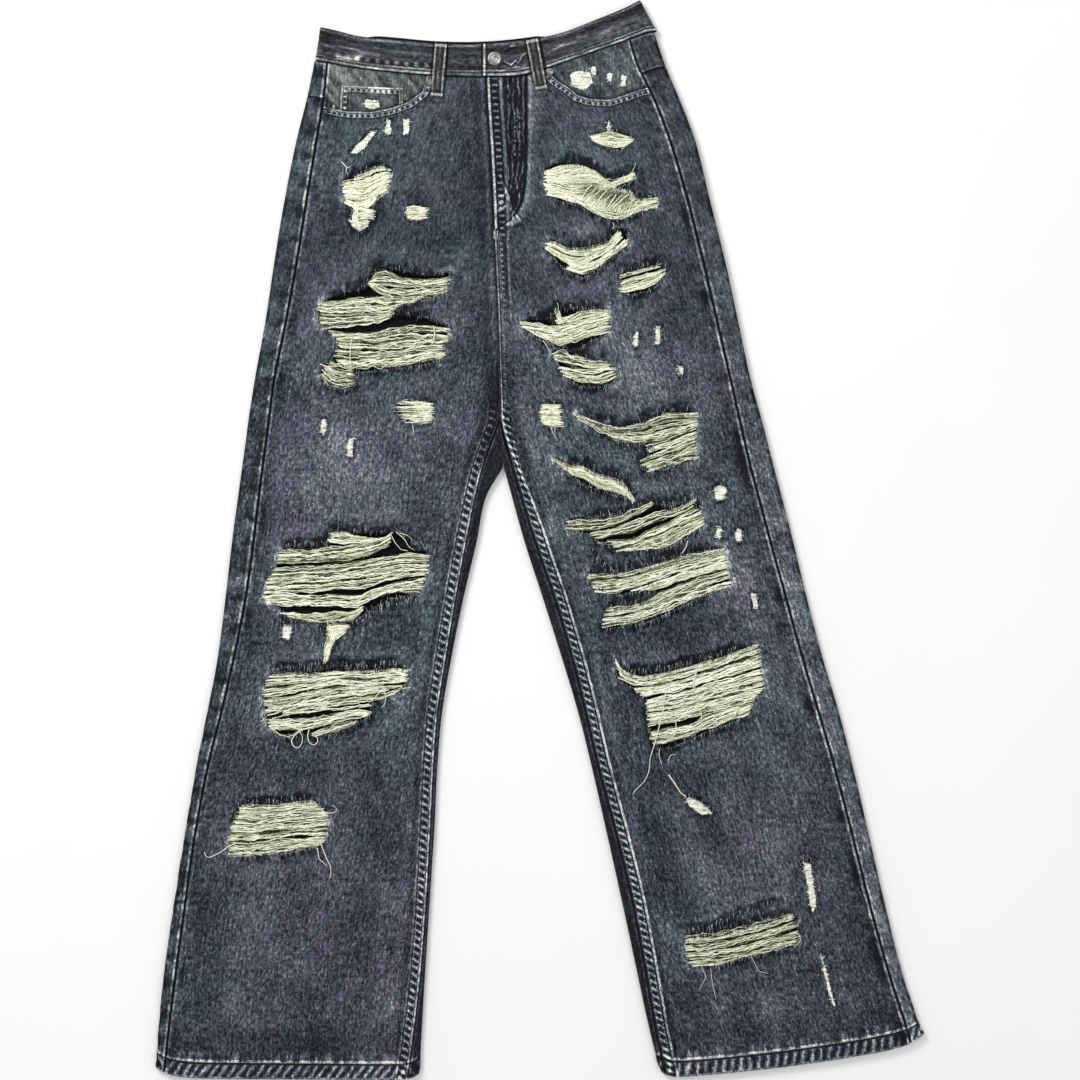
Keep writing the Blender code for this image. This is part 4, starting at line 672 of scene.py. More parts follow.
         outline=[(48.8, -29.7), (65.4, -30.9), (88.4, -29.7), (105.6, -25.1), (128.6, -17.7),
          (151.5, -11.9), (174.5, -6.8), (181.4, -7.9), (184.8, -19.4), (187.1, -33.2),
          (190.5, -44.6), (180.2, -49.2), (157.3, -57.3), (134.3, -67.6), (117.1, -76.8),
          (94.1, -83.7), (68.9, -87.1), (64.3, -84.8), (65.4, -72.2), (71.2, -65.3),
          (88.4, -63.6), (102.2, -59.6), (111.3, -53.8), (118.2, -45.8), (99.9, -49.2),
          (76.9, -53.8), (62, -52.7), (53.9, -42.3)],
         bands=[
             ([(49.3, -33.2), (65.4, -32), (88.4, -30.9), (111.3, -24), (134.3, -15.9),
              (151.5, -11.9), (180.2, -7.9)],
              [(52.8, -42.3), (67.7, -42.3), (90.7, -37.7), (114.8, -30.9), (134.3, -24),
               (157.3, -18.2), (182.5, -13.1)], 1, 0.2),
             ([(53.4, -43.7), (67.7, -43.7), (90.7, -39.1), (114.8, -32.2), (134.3, -25.7),
              (157.3, -19.7), (183.1, -14.8)],
              [(57.4, -51.5), (71.2, -52.7), (99.9, -44.1), (117.1, -38.3), (134.3, -32.2),
               (157.3, -25.7), (184.8, -18.8)], 1, 0.2),
             ([(93, -49.2), (106.7, -45.2), (122.8, -39.5), (138.9, -34.3), (160.7, -27.4),
              (184.8, -21.1)],
              [(115.9, -48.1), (128.6, -42.9), (143.5, -37.7), (160.7, -32.6),
               (186, -26.3)], 1, 0.2),
             ([(68.9, -67), (88.4, -65.3), (105.6, -60.1), (117.1, -52.7), (134.3, -45.2),
              (157.3, -36.6), (186, -28.6)],
              [(66.6, -74.5), (82.6, -72.8), (99.9, -69.9), (117.1, -63.6), (134.3, -55.5),
               (157.3, -46.9), (187.1, -38.3)], 1, 0.2),
             ([(65.4, -77.4), (83.8, -75.6), (99.9, -72.2), (118.2, -65.9), (134.3, -58.4),
              (157.3, -49.8), (188.8, -41.2)],
              [(65.4, -86.5), (88.4, -83.1), (117.1, -75.1), (134.3, -66.4), (157.3, -56.1),
               (189.4, -47.5)], 1, 0.25),
         ], creases=[]),
    dict(name='l_knee_lower', node='weft_l_knee_lower', leg='left', cut=True, top=6, bottom=7,
         outline=[(74.6, -117.3), (80.7, -125), (91.4, -131.9), (105.2, -131.9), (126.6, -128.8),
          (149.6, -121.9), (172.6, -115.8), (195.5, -108.9), (212.4, -102), (217, -109.7),
          (220, -128.1), (223.1, -151), (212.4, -155.6), (209.3, -167.9), (203.2, -175.5),
          (187.9, -182.4), (164.9, -190), (151.1, -197.2), (132.8, -205.2), (117.5, -207.6),
          (111.3, -195.4), (108.3, -177), (107.5, -158.7), (96, -148), (80.7, -140.3),
          (76.1, -131.1)],
         bands=[
             ([(76.1, -119.6), (80.7, -128.1), (96, -135.7), (114.4, -134.2), (142, -128.1),
              (169.5, -120.4), (195.5, -111.2), (213.9, -103.6)],
              [(80.7, -138), (96, -144.1), (111.3, -143.4), (142, -136), (172.6, -125.8),
               (217, -111.2)], 1, 0.15),
             ([(93, -146.4), (117.5, -144.6), (149.6, -136.5), (172.6, -128.8), (217, -114)],
              [(105.2, -155.6), (126.6, -151.8), (149.6, -145.7), (172.6, -138.8),
               (217, -125.8)], 1, 0.15),
             ([(107.5, -159.4), (126.6, -155.3), (154.2, -148.3), (172.6, -141.8), (218.5, -128.4)],
              [(109.8, -170.1), (134.3, -167.1), (157.3, -161), (172.6, -156.4),
               (220, -144.9)], 1, 0.2),
             ([(109.8, -172.4), (134.3, -169.1), (157.3, -163.3), (172.6, -158.7), (221.6, -147.2)],
              [(111.3, -183.9), (134.3, -179.3), (157.3, -173.2), (172.6, -168.6),
               (209.3, -160.2)], 1, 0.3),
             ([(111.3, -190), (134.3, -186.2), (157.3, -180.4), (161.9, -173.7), (180.2, -169.4),
              (195.5, -165.6), (209.3, -162)],
              [(114.4, -203.8), (126.6, -201.8), (149.6, -195.4), (172.6, -186.2),
               (187.9, -180.1), (206.2, -174)], 1, 0.35),
         ], creases=[[(89.9, -125), (105.2, -125.8), (134.3, -121.9), (164.9, -114.3),
          (195.5, -103.6)]]),
    dict(name='l_shin', node='weft_l_shin', leg='left', cut=True, top=7, bottom=9,
         outline=[(145.7, -394.5), (173.5, -390.4), (210.5, -382.5), (234.5, -376),
          (249.3, -370.4), (253, -377.8), (258.6, -394.5), (251.2, -405.6), (229, -408.3),
          (210.5, -413.9), (188.3, -420.4), (160.5, -425.9), (149.4, -424.1), (145.7, -409.3)],
         bands=[
             ([(147.6, -394.5), (173.5, -391.7), (201.2, -385.2), (229, -377.8), (247.5, -372.3)],
              [(148.5, -401.5), (173.5, -399.1), (201.2, -393.2), (229, -385.6),
               (251.2, -377.5)], 1, 0.2),
             ([(147.6, -404.1), (173.5, -401.9), (201.2, -396), (229, -388.6), (252.1, -380.1)],
              [(148.5, -409.3), (177.2, -407.1), (203.1, -401.5), (229, -394.1),
               (254.9, -386.2)], 1, 0.2),
             ([(148.5, -411.5), (177.2, -409.6), (203.1, -404.1), (229, -396.7), (254.9, -389.3)],
              [(149.4, -417.6), (177.2, -415.7), (203.1, -410.2), (229, -402.8),
               (255.8, -395.4)], 1, 0.25),
             ([(149.4, -420), (177.2, -418.2), (203.1, -413), (229, -405), (254.9, -398.2)],
              [(155, -425), (177.2, -423.1), (197.5, -418.5), (229, -409.3),
               (249.3, -403.7)], 1, 0.3),
         ], creases=[[(143.9, -384.3), (169.8, -381.5), (192, -370.4), (214.2, -362.1),
          (232.7, -357.1), (247.5, -362.1)]]),
    dict(name='m_diag', node=None, leg='right', cut=False, top=2.5, bottom=3,
         outline=[(-162.5, 409.5), (-168.5, 408.5), (-176.5, 400.5), (-184.5, 393.5),
          (-190.5, 387.5), (-184.5, 385.5), (-176.5, 390.5), (-171.5, 397.5)],
         bands=None, creases=[]),
    dict(name='m_a', node=None, leg='right', cut=False, top=2.5, bottom=3,
         outline=[(-153.5, 420.5), (-149, 420), (-149.5, 405.5), (-155.5, 405)],
         bands=None, creases=[]),
    dict(name='m_b', node=None, leg='right', cut=False, top=2.5, bottom=3,
         outline=[(-136.5, 420), (-129.5, 421), (-131.5, 405.5), (-137, 404.5)],
         bands=None, creases=[]),
    dict(name='m_c', node=None, leg='right', cut=False, top=2, bottom=3,
         outline=[(-133.9, 332.5), (-123.5, 334), (-113.5, 332.5), (-114.5, 321.5),
          (-124.5, 319.5), (-133.5, 321.5)],
         bands=[
             ([(-133.9, 332.5), (-123.5, 333.5), (-113.5, 332)],
              [(-133.5, 322), (-124.5, 320.5), (-114.5, 322)], 1, 0.3),
         ], creases=[]),
    dict(name='m_d', node=None, leg='right', cut=False, top=3, bottom=4,
         outline=[(-143.5, 138.5), (-128.5, 140.5), (-109.5, 138.5), (-106, 127.5),
          (-108.5, 117), (-124.5, 115.5), (-136.5, 118.5), (-145, 127.5)],
         bands=[
             ([(-143.5, 138), (-128.5, 139.5), (-109.5, 137.5)],
              [(-145, 129), (-126.5, 129.5), (-106.5, 128.5)], 1, 0.25),
             ([(-144.5, 127), (-126.5, 127.5), (-106.5, 126.5)],
              [(-136.5, 119), (-124.5, 116.5), (-109, 118)], 1, 0.3),
         ], creases=[]),
    dict(name='m_e', node=None, leg='right', cut=False, top=2.5, bottom=3,
         outline=[(-218, 122.5), (-213, 121.5), (-215, 104.5), (-219.5, 105.5)],
         bands=None, creases=[]),
    dict(name='m_f', node=None, leg='right', cut=False, top=2.5, bottom=3,
         outline=[(-191, 102.5), (-185.5, 101.5), (-188, 83.5), (-193, 84)],
         bands=None, creases=[]),
    dict(name='m_g', node=None, leg='right', cut=False, top=2.5, bottom=3,
         outline=[(-256.5, -82.5), (-248, -83.5), (-250.5, -98.5), (-258, -97.5)],
         bands=None, creases=[]),
    dict(name='m_h', node=None, leg='left', cut=False, top=2.5, bottom=3,
         outline=[(29.5, 465.5), (37.5, 468.5), (49.5, 466.5), (51.5, 456.5), (44.5, 450.5),
          (31.5, 453.5)],
         bands=None, creases=[]),
    dict(name='m_i', node=None, leg='left', cut=False, top=2.5, bottom=3,
         outline=[(66.8, 466), (71, 465.5), (70.5, 458.5), (66.5, 459)],
         bands=None, creases=[]),
    dict(name='m_j', node=None, leg='left', cut=False, top=2.5, bottom=3,
         outline=[(81, 464.5), (86, 463.5), (85, 452.5), (81, 453.5)],
         bands=None, creases=[]),
    dict(name='m_k', node=None, leg='left', cut=False, top=2.5, bottom=3,
         outline=[(93, 209.5), (98, 208.5), (97.5, 192.5), (93, 193.5)],
         bands=None, creases=[]),
    dict(name='m_l', node=None, leg='left', cut=False, top=2.5, bottom=3,
         outline=[(114.5, 215.5), (119.5, 214.5), (119.5, 196.5), (115, 196.5)],
         bands=None, creases=[]),
    dict(name='m_m', node=None, leg='left', cut=False, top=2.5, bottom=3,
         outline=[(138, 174.5), (143, 173.5), (142.5, 164), (138, 164.5)],
         bands=None, creases=[]),
    dict(name='m_n', node=None, leg='left', cut=False, top=2.5, bottom=3,
         outline=[(173.5, 53.5), (179.5, 56.5), (186, 52.5), (184.5, 41.5), (175.5, 40)],
         bands=None, creases=[]),
    dict(name='m_o', node=None, leg='left', cut=False, top=2.5, bottom=3,
         outline=[(175.5, 14.5), (181, 13.5), (180.5, 2), (176, 3.5)],
         bands=None, creases=[]),
    dict(name='m_p', node=None, leg='left', cut=False, top=2.5, bottom=3,
         outline=[(194, 13), (200.5, 11.5), (201, -2), (195.5, -0.5)],
         bands=None, creases=[]),
    dict(name='m_q', node=None, leg='left', cut=False, top=2.5, bottom=3,
         outline=[(209.5, -51), (214.5, -52.5), (218, -67), (212.5, -67.5)],
         bands=None, creases=[]),
    dict(name='m_r', node=None, leg='left', cut=False, top=2.5, bottom=3,
         outline=[(143.5, -253.5), (155.5, -257.5), (165.5, -264.5), (172.5, -272),
          (160.5, -273.5), (148.5, -264.5)],
         bands=None, creases=[]),
    dict(name='m_s', node=None, leg='left', cut=False, top=2.5, bottom=3,
         outline=[(263, -320.5), (269.5, -321.5), (271.5, -335.5), (274, -350.5),
          (275.5, -365.5), (271.5, -371.5), (268.5, -360.5), (265.5, -340.5)],
         bands=None, creases=[]),
    dict(name='m_t', node=None, leg='left', cut=False, top=2.5, bottom=3,
         outline=[(279.5, -410.5), (282, -411.5), (286, -428.5), (290.5, -450.5),
          (295.5, -465.5), (293.5, -466.5), (287.5, -450.5), (282.5, -429.5)],
         bands=None, creases=[]),
    dict(name='m_u', node=None, leg='left', cut=False, top=2.5, bottom=3,
         outline=[(50.5, 471.5), (55, 473.5), (55.5, 464.5), (51.5, 465.5)],
         bands=None, creases=[]),
    dict(name='m_v', node=None, leg='left', cut=False, top=2.5, bottom=3,
         outline=[(66.5, 417.5), (70, 418), (70, 406.5), (67, 406.5)],
         bands=None, creases=[]),
    dict(name='m_w', node=None, leg='right', cut=False, top=2.5, bottom=3,
         outline=[(-174.5, 439.5), (-161.5, 439), (-160.5, 432.5), (-167.5, 431), (-174.5, 432.5)],
         bands=None, creases=[]),
]
LOOSE = [   # leg, points, radius
    ('right', [(-303.4, -301.5), (-311.1, -304.8), (-318.7, -310.6), (-326.4, -314.4),
     (-332.1, -316.5), (-334.2, -313.9), (-335.2, -310.6)], 0.5),
    ('right', [(-220.2, -299.1), (-217.3, -306.7), (-213.5, -316.3), (-209.2, -324.9),
     (-208.7, -331.6), (-210.1, -336.9)], 0.5),
    ('right', [(-222.3, -306.7), (-221.5, -312.5), (-220.7, -317.7), (-216.4, -321.1),
     (-212.5, -324.4)], 0.45),
    ('right', [(-218.3, -268.9), (-211.6, -271.8), (-204.9, -271.1), (-202.8, -268),
     (-204.9, -265.1), (-207.7, -263.7)], 0.4),
    ('right', [(-239.2, -187.3), (-243.9, -192.6), (-248.7, -198.9), (-246.6, -205.2),
     (-241.3, -207.3), (-237.6, -202.1), (-237.1, -194.7), (-240.3, -190.5)], 0.5),
    ('right', [(-230.8, -188.4), (-232.4, -194.7), (-230.8, -201), (-226.6, -204.2),
     (-221.8, -201.5), (-222.4, -195.7), (-228.1, -194.2)], 0.5),
    ('right', [(-163.4, -147.3), (-160.3, -151.5), (-165.5, -156.8), (-170.8, -161)], 0.45),
    ('right', [(-156.1, -148.4), (-154, -155.7), (-155, -163.1), (-158.2, -166.3)], 0.45),
    ('right', [(-138.2, -147.3), (-128.7, -146.3)], 0.4),
    ('right', [(-279.2, -165.2), (-278.1, -160), (-277.1, -158.4)], 0.35),
    ('right', [(-276, -170.5), (-278.1, -175.7), (-275, -177.8), (-279.2, -180.5)], 0.35),
    ('right', [(-149.8, 7.7), (-145.1, -1.7), (-139.2, -8.8), (-132.1, -10)], 0.4),
    ('right', [(-143.9, 8.9), (-135.7, 1.8), (-130.9, -6.5), (-126.2, -8.8)], 0.4),
    ('right', [(-140.4, 7.7), (-132.1, 5.3), (-127.4, 0.6)], 0.35),
    ('right', [(-278.4, -60.7), (-280.8, -58.4), (-274.9, -56)], 0.35),
    ('right', [(-198, 377.5), (-194.8, 374.2), (-192.6, 371.5), (-194.2, 368.8),
     (-192.1, 366.1)], 0.5),
    ('right', [(-192.6, 371.5), (-189.4, 373.4)], 0.4),
    ('right', [(-188.4, 201.1), (-189.4, 191.5), (-189.8, 182.9), (-188.4, 173.3)], 0.5),
    ('right', [(-106.6, 214.4), (-105.2, 206.8), (-106.1, 200.1), (-109, 194.4)], 0.5),
    ('right', [(-220, 176.2), (-211.4, 173.3), (-201.8, 174.3)], 0.5),
    ('right', [(-127.5, 115.5), (-126, 107.5)], 0.4),
    ('left', [(125.1, -151.8), (122.4, -169.4), (117.5, -189.3), (112.9, -206.1),
     (109.4, -216.8), (108.7, -229.1), (105.2, -238.3), (99.1, -245.2), (93.7, -249.7),
     (92.7, -252.8)], 0.45),
    ('left', [(158, -127.3), (152.4, -137.2), (153, -146.4), (158, -160.2), (161.1, -175.5),
     (160, -189.3)], 0.45),
    ('left', [(135.1, -179.3), (135.5, -187.7), (132.8, -195.4), (125.1, -201.5)], 0.45),
    ('left', [(197.8, -165.6), (194, -174), (184.8, -180.1), (175.6, -183.9)], 0.6),
    ('left', [(119, -207.6), (118.2, -213.8), (121.3, -223.7)], 0.3),
    ('left', [(127.4, -219.9), (129.7, -213.8), (135.8, -213)], 0.3),
    ('left', [(128.2, -233.7), (133.5, -241.3), (140.4, -252), (145, -255.1)], 0.7),
    ('left', [(91.8, 36.9), (93, 42.6), (89.5, 47.2), (83.8, 48.4)], 0.45),
    ('left', [(83.8, -10.2), (93, -7.9), (99.9, -4.5)], 0.5),
    ('left', [(141.2, -12.5), (145.8, -5.6), (146.9, 0.1)], 0.5),
    ('left', [(160.5, -424.1), (165.2, -435.2), (158.7, -448.1)], 0.25),
    ('left', [(169.8, -425.9), (171.6, -442.6), (175.3, -457.4)], 0.25),
    ('left', [(210.5, -414.8), (217.9, -429.6), (227.1, -431.5)], 0.25),
    ('left', [(247.5, -392.6), (256.7, -390.8), (260.4, -398.2), (253, -405.6)], 0.35),
    ('left', [(68.7, 417.8), (67.6, 413.3), (67, 408.9)], 0.6),
    ('left', [(72.6, 317.4), (73.7, 312.9), (71.5, 310.7)], 0.35),
    ('left', [(90.5, 366.5), (93.8, 372.1), (94.9, 376.5)], 0.3),
    ('left', [(9.6, 115.8), (12.5, 107.8), (17.1, 99.7)], 0.35),
    ('left', [(14.8, 114.7), (14.2, 108.9), (15.3, 105.5)], 0.3),
    ('left', [(2.7, 199.7), (6, 194.7), (11, 187.3)], 0.35),
    ('left', [(17.6, 229.6), (18, 234.5), (16.8, 237)], 0.3),
    ('left', [(51.9, 355.1), (46, 349.5), (41.8, 342.2)], 0.6),
    ('left', [(56.2, 352.2), (51.5, 347.5), (46.1, 343.5)], 0.4),
    ('left', [(61, 350.5), (55.5, 345.5), (50.5, 339.5)], 0.5),
    ('left', [(66.2, 348.9), (60.5, 343), (56.2, 335.9)], 0.6),
    ('left', [(70.5, 345.5), (65.5, 339.5), (60.5, 333)], 0.4),
    ('left', [(75.8, 345), (70.5, 337.5), (66.2, 330.7)], 0.65),
    ('left', [(81.5, 345), (75.5, 338.5), (69, 331.5)], 0.45),
    ('left', [(88.3, 345.5), (79.5, 338.5), (70.5, 329.2)], 0.6),
    ('left', [(94.9, 341.7), (89.5, 336.5), (85.3, 331.1)], 0.5),
    ('left', [(98.8, 340.3), (94.5, 335.5), (91, 331.1)], 0.4),
]


# ------------------------------------------------------------------ measuring
def gauss(d, w):
    return np.exp(-(np.asarray(d, float) / w) ** 2)


def window(d, a, b, soft):
    """1 between a and b, fading over soft outside them."""
    return step(a - soft, a + soft * 0.2, d) * step(b + soft, b - soft * 0.2, d)


def _hash(i, j, seed):
    n = (i * 374761393 + j * 668265263 + seed * 974634777) & 0xffffffff
    n = ((n ^ (n >> 13)) * 1274126177) & 0xffffffff
    return ((n ^ (n >> 16)) & 0xffff) / 65535.0


def noise(x, y=0.0, sx=1.0, sy=1.0, seed=0):
    """Smooth value noise, 0 to 1."""
    x, y = np.broadcast_arrays(np.asarray(x, float) / sx,
                               np.asarray(y, float) / sy)
    xi, yi = np.floor(x).astype(np.int64), np.floor(y).astype(np.int64)
    fx, fy = x - xi, y - yi
    fx, fy = fx * fx * (3 - 2 * fx), fy * fy * (3 - 2 * fy)
    a = _hash(xi, yi, seed) * (1 - fx) + _hash(xi + 1, yi, seed) * fx
    b = _hash(xi, yi + 1, seed) * (1 - fx) + _hash(xi + 1, yi + 1, seed) * fx
    return a * (1 - fy) + b * fy


def fbm(x, y, s, seed, octaves=3):
    out, amp, tot = 0.0, 1.0, 0.0
    for k in range(octaves):
        out = out + amp * noise(x, y, s / 2 ** k, s / 2 ** k, seed + 17 * k)
        tot += amp
        amp *= 0.55
    return out / tot


def arc(pts):
    p = np.asarray(pts, float)
    return np.concatenate([[0.0], np.cumsum(np.hypot(*np.diff(p, axis=0).T))])


def resample(pts, n, smooth=0):
    """n points evenly spaced along a polyline, corners rounded."""
    p = np.asarray(pts, float)
    m = max(n, 40)
    s = arc(p[:, :2])
    q = np.linspace(0, s[-1], m)
    out = np.stack([np.interp(q, s, p[:, k]) for k in range(p.shape[1])], 1)
    for _ in range(smooth):
        out[1:-1] = 0.25 * out[:-2] + 0.5 * out[1:-1] + 0.25 * out[2:]
    s = arc(out[:, :2])
    q = np.linspace(0, s[-1], n)
    return np.stack([np.interp(q, s, out[:, k]) for k in range(p.shape[1])], 1)


def line_distance(x, y, pts, far=1e3):
    """Distance to a polyline, where along it, and the side (+1 left of it)."""
    x, y = np.broadcast_arrays(np.asarray(x, float), np.asarray(y, float))
    best = np.full(x.shape, far)
    along = np.zeros(x.shape)
    sign = np.ones(x.shape)
    s0 = 0.0
    for (ax, ay), (bx, by) in zip(pts[:-1], pts[1:]):
        dx, dy = bx - ax, by - ay
        length = math.hypot(dx, dy)
        t = np.clip(((x - ax) * dx + (y - ay) * dy) / (length * length), 0, 1)
        d = np.hypot(x - ax - t * dx, y - ay - t * dy)
        near = d < best
        best = np.where(near, d, best)
        along = np.where(near, s0 + t * length, along)
        side = dx * (y - ay) - dy * (x - ax)
        sign = np.where(near, np.sign(side), sign)
        s0 += length
    return best, along, sign


def inside(x, y, poly):
    x, y = np.asarray(x, float), np.asarray(y, float)
    hit = np.zeros(np.broadcast(x, y).shape, bool)
    n = len(poly)
    for i in range(n):
        ax, ay = poly[i]
        bx, by = poly[(i + 1) % n]
        if ay == by:
            continue
        cross = (ay > y) != (by > y)
        hit ^= cross & (x < (bx - ax) * (y - ay) / (by - ay) + ax)
    return hit


def signed(x, y, poly, reach=14.0):
    """Distance to a closed outline, negative inside; far away 'reach'."""
    x, y = np.broadcast_arrays(np.asarray(x, float), np.asarray(y, float))
    p = np.asarray(poly, float)
    out = np.full(x.shape, reach)
    m = ((x > p[:, 0].min() - reach) & (x < p[:, 0].max() + reach)
         & (y > p[:, 1].min() - reach) & (y < p[:, 1].max() + reach))
    if m.any():
        ring = list(poly) + [poly[0]]
        d, _, _ = line_distance(x[m], y[m], ring)
        out[m] = np.where(inside(x[m], y[m], poly), -d, d)
    return out


# --------------------------------------------------------------------- meshes
def mesh(name, verts, faces, mats, attrs=None, face_mat=None, flat=None,
         ride="root"):
    """verts in mm in the garment's frame; faces a list of (n, k) arrays."""
    v = np.array(verts, float)
    v = (v + np.array([X_SHIFT, Y_SHIFT, 0.0])) * MM
    me = bpy.data.meshes.new(name)
    me.vertices.add(len(v))
    me.vertices.foreach_set("co", v.astype(np.float32).ravel())
    faces = [np.asarray(f, np.int32) for f in faces if len(f)]
    loops = np.concatenate([f.ravel() for f in faces])
    total = np.concatenate([np.full(len(f), f.shape[1], np.int32)
                            for f in faces])
    start = np.concatenate([[0], np.cumsum(total)[:-1]]).astype(np.int32)
    me.loops.add(len(loops))
    me.loops.foreach_set("vertex_index", loops)
    me.polygons.add(len(total))
    me.polygons.foreach_set("loop_start", start)
    me.polygons.foreach_set("loop_total", total)
    if face_mat is not None:
        me.polygons.foreach_set("material_index", face_mat.astype(np.int32))
    me.update(calc_edges=True)
    smooth = np.ones(len(total), bool) if flat is None else ~flat
    me.polygons.foreach_set("use_smooth", smooth)
    for key, val in (attrs or {}).items():
        val = np.asarray(val, np.float32)
        if val.ndim == 2:
            a = me.attributes.new(key, "FLOAT_VECTOR", "POINT")
            a.data.foreach_set("vector", val.ravel())
        else:
            a = me.attributes.new(key, "FLOAT", "POINT")
            a.data.foreach_set("value", val)
    me.validate()
    for m in (mats if isinstance(mats, (list, tuple)) else [mats]):
        me.materials.append(m)
    ob = bpy.data.objects.new(name, me)
    bpy.context.scene.collection.objects.link(ob)
    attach(ob, ride)
    return ob


def grid_normals(p):
    du = np.gradient(p, axis=1)
    dv = np.gradient(p, axis=0)
    n = np.cross(du, dv)
    return n / np.maximum(np.linalg.norm(n, axis=2, keepdims=True), 1e-9)


def shell(name, p, wall, mats, attrs, cuts=None, out=1.0, lift_edge=None,
          inner_rough=True):
    """A closed cloth wall on a grid p (rows, columns, xyz).  cuts is a signed
    distance (negative is cut away).  out says which way the outer face looks:
    the sign on the grid's own normal.  mats: outer, inner (and rim = outer)."""
    rws, cls = p.shape[:2]
    p = p.copy()
    n = grid_normals(p) * out
    idx = np.arange(rws * cls).reshape(rws, cls)
    flatp = p.reshape(-1, 3)
    att = {k: np.asarray(v, float).reshape(rws * cls, -1).copy()
           for k, v in attrs.items()}
    wall = np.broadcast_to(np.asarray(wall, float), (rws, cls)).reshape(-1)
    on = np.zeros(rws * cls, bool)
    if cuts is not None:
        sd = cuts.reshape(-1).copy()
        ea = np.concatenate([idx[:, :-1].ravel(), idx[:-1, :].ravel()])
        eb = np.concatenate([idx[:, 1:].ravel(), idx[1:, :].ravel()])
        cross = (sd[ea] > 0) != (sd[eb] > 0)
        ea, eb = ea[cross], eb[cross]
        t = sd[ea] / (sd[ea] - sd[eb])
        # each crossed edge moves its nearer end onto the outline
        near_a = t < 0.5
        move = np.where(near_a, ea, eb)
        other = np.where(near_a, eb, ea)
        frac = np.where(near_a, t, 1 - t)
        order = np.argsort(-frac)            # the smallest move wins
        move, other, frac = move[order], other[order], frac[order]
        base = flatp.copy()
        base_n = n.reshape(-1, 3)
        for k in att:
            a0 = att[k].copy()
            att[k][move] = a0[move] + (a0[other] - a0[move]) * frac[:, None]
        flatp[move] = base[move] + (base[other] - base[move]) * frac[:, None]
        on[move] = True
        sd[on] = 0.0
    else:
        sd = np.ones(rws * cls)
    a, b = idx[:-1, :-1].ravel(), idx[:-1, 1:].ravel()
    c, d = idx[1:, 1:].ravel(), idx[1:, :-1].ravel()
    # diagonal a-c unless b and d both lie on the outline
    bd = on[b] & on[d] & ~(on[a] & on[c])
    t1 = np.stack([a, b, np.where(bd, d, c)], 1)
    t2 = np.stack([np.where(bd, b, a), c, d], 1)
    tri = np.concatenate([t1, t2])
    s3 = sd[tri]
    keep = s3.sum(1) > 1e-9
    keep &= ~((s3 < 0).any(1))
    allon = (s3 == 0).all(1)
    if allon.any():
        cen = flatp[tri[allon]].mean(1)
        keep[np.where(allon)[0]] = False
    tri = tri[keep]
    if out < 0:
        tri = tri[:, ::-1]
    used = np.unique(tri)
    remap = -np.ones(rws * cls, int)
    remap[used] = np.arange(len(used))
    tri = remap[tri]
    outer_v = flatp[used]
    inner_v = outer_v - n.reshape(-1, 3)[used] * wall[used][:, None]
    inner_v[:, 2] = np.maximum(inner_v[:, 2], 0.02)
    m = len(used)
    e = np.concatenate([tri[:, [0, 1]], tri[:, [1, 2]], tri[:, [2, 0]]])
    key = np.sort(e, 1)
    uniq, inv, count = np.unique(key[:, 0] * (m + 1) + key[:, 1],
                                 return_inverse=True, return_counts=True)
    rim = e[count[inv] == 1]
    rim_q = np.stack([rim[:, 1], rim[:, 0], rim[:, 0] + m, rim[:, 1] + m], 1)
    verts = np.concatenate([outer_v, inner_v])
    faces = [tri, tri[:, ::-1] + m, rim_q]
    fm = np.concatenate([np.zeros(len(tri)), np.ones(len(tri)),
                         np.zeros(len(rim_q))])
    fl = np.concatenate([np.zeros(2 * len(tri), bool),
                         np.ones(len(rim_q), bool)])
    full = {}
    for k, v in att.items():
        vv = np.concatenate([v[used], v[used]])
        full[k] = vv if vv.shape[1] > 1 else vv[:, 0]
    ob = mesh(name, verts, faces, mats, full, fm, fl)
    return ob


